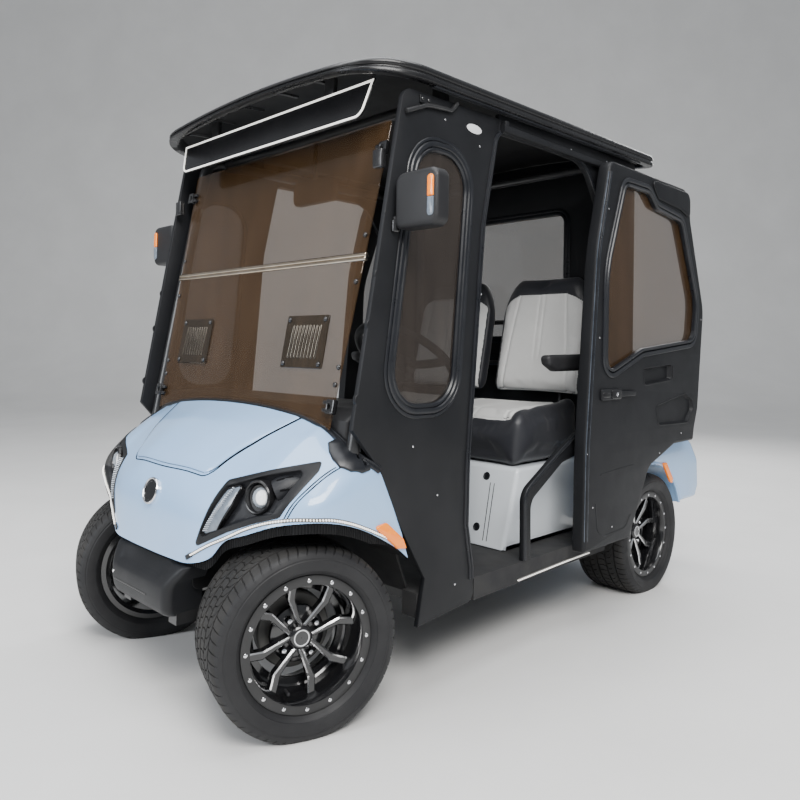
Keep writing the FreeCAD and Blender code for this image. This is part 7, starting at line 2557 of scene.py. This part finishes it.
@dataclass
class RearBody:
    """The painted rear fenders, the bag well between them and the lamps. Lengths in millimetres."""

    half: float = 560.0
    well_half: float = 312.0
    axle: Row = (693.0, 238.5)
    arch: float = 276.0
    bottom: float = 330.0
    outline: Sequence[Row] = ((1120, 330, 20), (1150, 380, 30), (1140, 500, 60), (1060, 590, 90),
                              (760, 640, 200), (346.5, 640, 14), (346.5, 330, 4))
    middle: Sequence[Row] = ((346.5, 404), (346.5, 639.5, 10), (548, 639.5, 12), (552, 410, 14),
                             (1092, 410, 14), (1092, 574, 10), (1138, 500, 60), (1148, 404, 16))
    marker_front: Sequence[Row] = ((-838, 510, 5), (-797, 515, 8), (-736, 465, 6), (-722, 436, 4),
                                   (-757, 442, 6))
    marker_rear: Sequence[Row] = ((780, 512, 6), (812, 512, 8), (872, 440, 8), (866, 420, 6), (846, 430, 6))
    tail: Row = (440.0, 1150.0, 500.0)
    tail_radius: float = 38.0
    sill_strip: Sequence[Row] = ((-212, 246), (40, 252), (209, 254))

    def fender(self) -> list[bpy.types.Object]:
        """The left fender, cut for its wheel, with a rolled arch and a moulded side line."""
        cy, cz = self.axle
        reach = math.sqrt(self.arch ** 2 - (self.bottom - cz) ** 2)
        start = math.atan2(self.bottom - cz, -reach)
        end = math.atan2(self.bottom - cz, reach)
        turns = [start + (end - start) * k / 28 for k in range(29)]
        arc, rim = ([(cy + r * math.cos(turn), cz + r * math.sin(turn)) for turn in turns]
                    for r in (self.arch, self.arch + 5))
        loop = rounded([*arc, *self.outline], 8)
        body = plate("fender", dense(loop, 0.05), self.well_half * MM, self.half * MM, Across.X, edge=0.022,
                     steps=5, back_edge=0.004)
        points = [Vector(((self.half - 7) * MM, y * MM, z * MM)) for y, z in rim]
        lip = sweep("arch_lip", points, [(-5, -6), (-5, 4), (-2, 6), (3, 6), (6, 3), (6, -6)], OUT)
        return [painted(body, "paint"), painted(lip, "paint")]

    def lamps(self) -> list[bpy.types.Object]:
        """The left amber marker lamps and the round tail lamp."""
        pieces = []
        for rows, low in ((self.marker_front, 555.0), (self.marker_rear, 557.0)):
            pieces.append(slab("amber", "marker", rounded(rows, 4), low * MM, (self.half + 8) * MM, Across.X,
                               edge=0.004))
        matrix = axis_matrix(Vector(self.tail) * MM, BACKWARDS)
        r = self.tail_radius
        pieces.append(turned("gasket", "tail_ring",
                             [(-22, r), (-3, r), (-0.5, r - 1.5), (-0.5, r - 5), (-4, r - 6), (-22, r - 6)],
                             matrix, 48))
        pieces.append(turned("red", "tail_lens", [(-20, r - 5.5), (-4, r - 6), (-1.5, r - 10),
                                                  (-0.2, r - 20), (0, 0.1)], matrix, 48, closed=False))
        return pieces

    def sill_lamps(self) -> list[bpy.types.Object]:
        """The white lamp strip along the left rocker."""
        points = spline([Vector((558.5, y, z)) * MM for y, z in self.sill_strip], 10)
        # The tape's warm grey is partly painted shadow between the beads.
        tape = strip("led_tape", "sill_tape", points, [(-5, -1), (-5, 1.2), (5, 1.2), (5, -1)], OUT)
        lifted = [p + OUT * 0.0016 for p in points]
        beads = PATH.make("sill_beads", block_unit(6.0, 6.5, 3.0, 1.3), Finish.get("led"), lifted, count=44)
        return [tape, beads]

    def build(self) -> None:
        """Builds the rear body on the cart."""
        left = joined("fender_left", self.fender())
        right = mirrored(left, "fender_right")
        middle = slab("paint", "well", dense(rounded(self.middle, 6), 0.08), -(self.well_half + 1) * MM,
                      (self.well_half + 1) * MM, Across.X, edge=0.0)
        mat = slab("mat", "well_mat", rounded(rectangle(-300, 562, 300, 1084, 20), 5), 0.4095, 0.4135,
                   Across.Z, edge=0.002)
        ribs = []
        for k in range(13):
            x = (-264 + 44 * k) * MM
            ribs.append(strip("mat", "mat_rib", [Vector((x, 0.575, 0.4133)), Vector((x, 1.071, 0.4133))],
                              [(-4, -1), (-3, 2), (3, 2), (4, -1)], UP))
        mount(joined("rear_body_dressed", [left, right, middle, mat, *ribs]),
              replaces=("rear_body",), angle=38)
        lamps = with_mirror(joined("lamp_group", self.lamps()))
        lamps.name = "marker_and_tail_lamps"
        mount(lamps, replaces=("marker_lamps", "tail_lamps"))
        strips = with_mirror(joined("sill_lamp_strips", self.sill_lamps()))
        mount(strips)


KEPT_FINISHES = {
    "chassis_frame": "frame", "floor_pan": "mat", "pillar_frame": "frame", "side_windows": "side_pane",
    "door_window_left": "pane", "door_window_right": "pane", "rear_window": "pane", "seat_frame": "frame",
    "pedals": "grip",
    "rear_bumper": "bumper", "rear_drive": "drive", "front_axle": "frame", "knuckle_left": "drive",
    "knuckle_right": "drive", "tie_rod": "frame",
}


def finish_kept_nodes() -> None:
    """Gives each node that stays from the frame its own finish."""
    for name, key in KEPT_FINISHES.items():
        piece = bpy.data.objects[name]
        for slot in piece.material_slots:
            slot.material = Finish.get(key)
        log.info("%s: finished as %s", name, key)


# Studio


@dataclass
class Studio:
    """Camera, floor and soft lights."""

    camera_place: Row = (1.8716, -2.1052, 0.9537)
    yaw: float = 0.7945
    pitch: float = 0.0112
    roll: float = 0.016
    focal_pixels: float = 727.89
    frame_pixels: float = 800.0
    axis_pixel: Row = (382.9, 341.5)
    sensor: float = 36.0
    floor_half: float = 14.0
    sky: Row = (0.86, 0.9, 0.95, 1)
    sky_strength: float = 0.42
    lamps: Sequence[tuple] = (
        ("key", (3.6, -2.6, 4.2), (0, 0, 0.7), 380.0, (3.0, 2.2), (1.0, 0.985, 0.96)),
        ("top", (0.0, -0.6, 4.8), (0, 0, 0.6), 230.0, (4.0, 4.0), (0.97, 0.985, 1.0)),
        ("front", (-0.9, -5.4, 2.6), (0, -0.6, 0.7), 150.0, (2.4, 2.0), (0.93, 0.96, 1.0)),
        ("rear", (-1.2, 4.6, 3.2), (0, 0.6, 0.9), 140.0, (3.0, 2.0), (1.0, 1.0, 1.0)))

    def camera(self) -> None:
        """Makes the camera at the photo's viewing angle."""
        forward = Vector((-math.sin(self.yaw) * math.cos(self.pitch),
                          math.cos(self.yaw) * math.cos(self.pitch),
                          math.sin(self.pitch)))
        right = forward.cross(UP).normalized()
        up = right.cross(forward)
        turned_right = right * math.cos(self.roll) + up * math.sin(self.roll)
        turned_up = up * math.cos(self.roll) - right * math.sin(self.roll)
        data = bpy.data.cameras.new("camera")
        data.sensor_width = self.sensor
        data.lens = self.focal_pixels / self.frame_pixels * self.sensor
        data.shift_x = (self.frame_pixels / 2 - self.axis_pixel[0]) / self.frame_pixels
        data.shift_y = (self.axis_pixel[1] - self.frame_pixels / 2) / self.frame_pixels
        data.clip_end = 100.0
        camera = bpy.data.objects.new("camera", data)
        bpy.context.scene.collection.objects.link(camera)
        matrix = Matrix((turned_right, turned_up, -forward)).transposed().to_4x4()
        matrix.translation = Vector(self.camera_place)
        camera.matrix_world = matrix
        bpy.context.scene.camera = camera

    def floor(self) -> None:
        """Makes a pale floor that curves up far behind the cart."""
        half = self.floor_half
        rows = []
        for place, height in ((-half, 0.0), (half * 0.45, 0.0), (half * 0.55, 0.25), (half * 0.62, 0.9),
                              (half * 0.66, 2.2), (half * 0.68, 9.0)):
            rows.append([Vector((side * half * 1.4, place, height)) for side in (-1, 1)])
        piece = sheet("studio_floor", rows)
        turn = Matrix.Rotation(self.yaw, 4, "Z")
        piece.data.transform(turn)
        subdivided(piece, 3)
        shader = Shader("pale_floor").set(Roughness=0.62)
        shader.dust((0.74, 0.735, 0.725), (0.79, 0.785, 0.775), 1.5)
        shader.bump(shader.noise(60.0, 4.0), 0.12, 0.002)
        piece.data.materials.append(shader.material)
        smooth(piece, 60)

    def light(self, name: str, place: Row, target: Row, power: float, size: Row, colour: Row) -> None:
        """Makes one soft rectangular light that faces a target."""
        data = bpy.data.lights.new(name, "AREA")
        data.shape = "RECTANGLE"
        data.size, data.size_y = size
        data.energy = power
        data.color = colour
        lamp = bpy.data.objects.new(name, data)
        bpy.context.scene.collection.objects.link(lamp)
        lamp.location = place
        lamp.rotation_euler = (Vector(target) - Vector(place)).to_track_quat("-Z", "Y").to_euler()

    def lights(self) -> None:
        """Makes the studio's lights and its pale surroundings."""
        for name, place, target, power, size, colour in self.lamps:
            self.light(name, place, target, power, size, colour)
        world = bpy.data.worlds.new("surroundings")
        world.use_nodes = True
        background = world.node_tree.nodes["Background"]
        background.inputs["Color"].default_value = self.sky
        background.inputs["Strength"].default_value = self.sky_strength
        bpy.context.scene.world = world

    def build(self) -> None:
        """Builds the whole studio."""
        self.camera()
        self.floor()
        self.lights()


def main() -> None:
    """Builds every sub-assembly in order."""
    logging.basicConfig(level=logging.INFO, format="%(name)s %(message)s")
    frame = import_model()
    Studio().build()
    finish_kept_nodes()
    for wheel in wheels(frame["joints"]):
        wheel.build()
    for part in (Cowl(), FrontBumper(), Windscreen(), SideWall(), SlidingDoor(), Roof(), RearWall(),
                 SeatBase(), Seat(), Dash(), SteeringWheel(), Mirrors(), RearBody()):
        part.build()


if __name__ == "__main__":
    main()
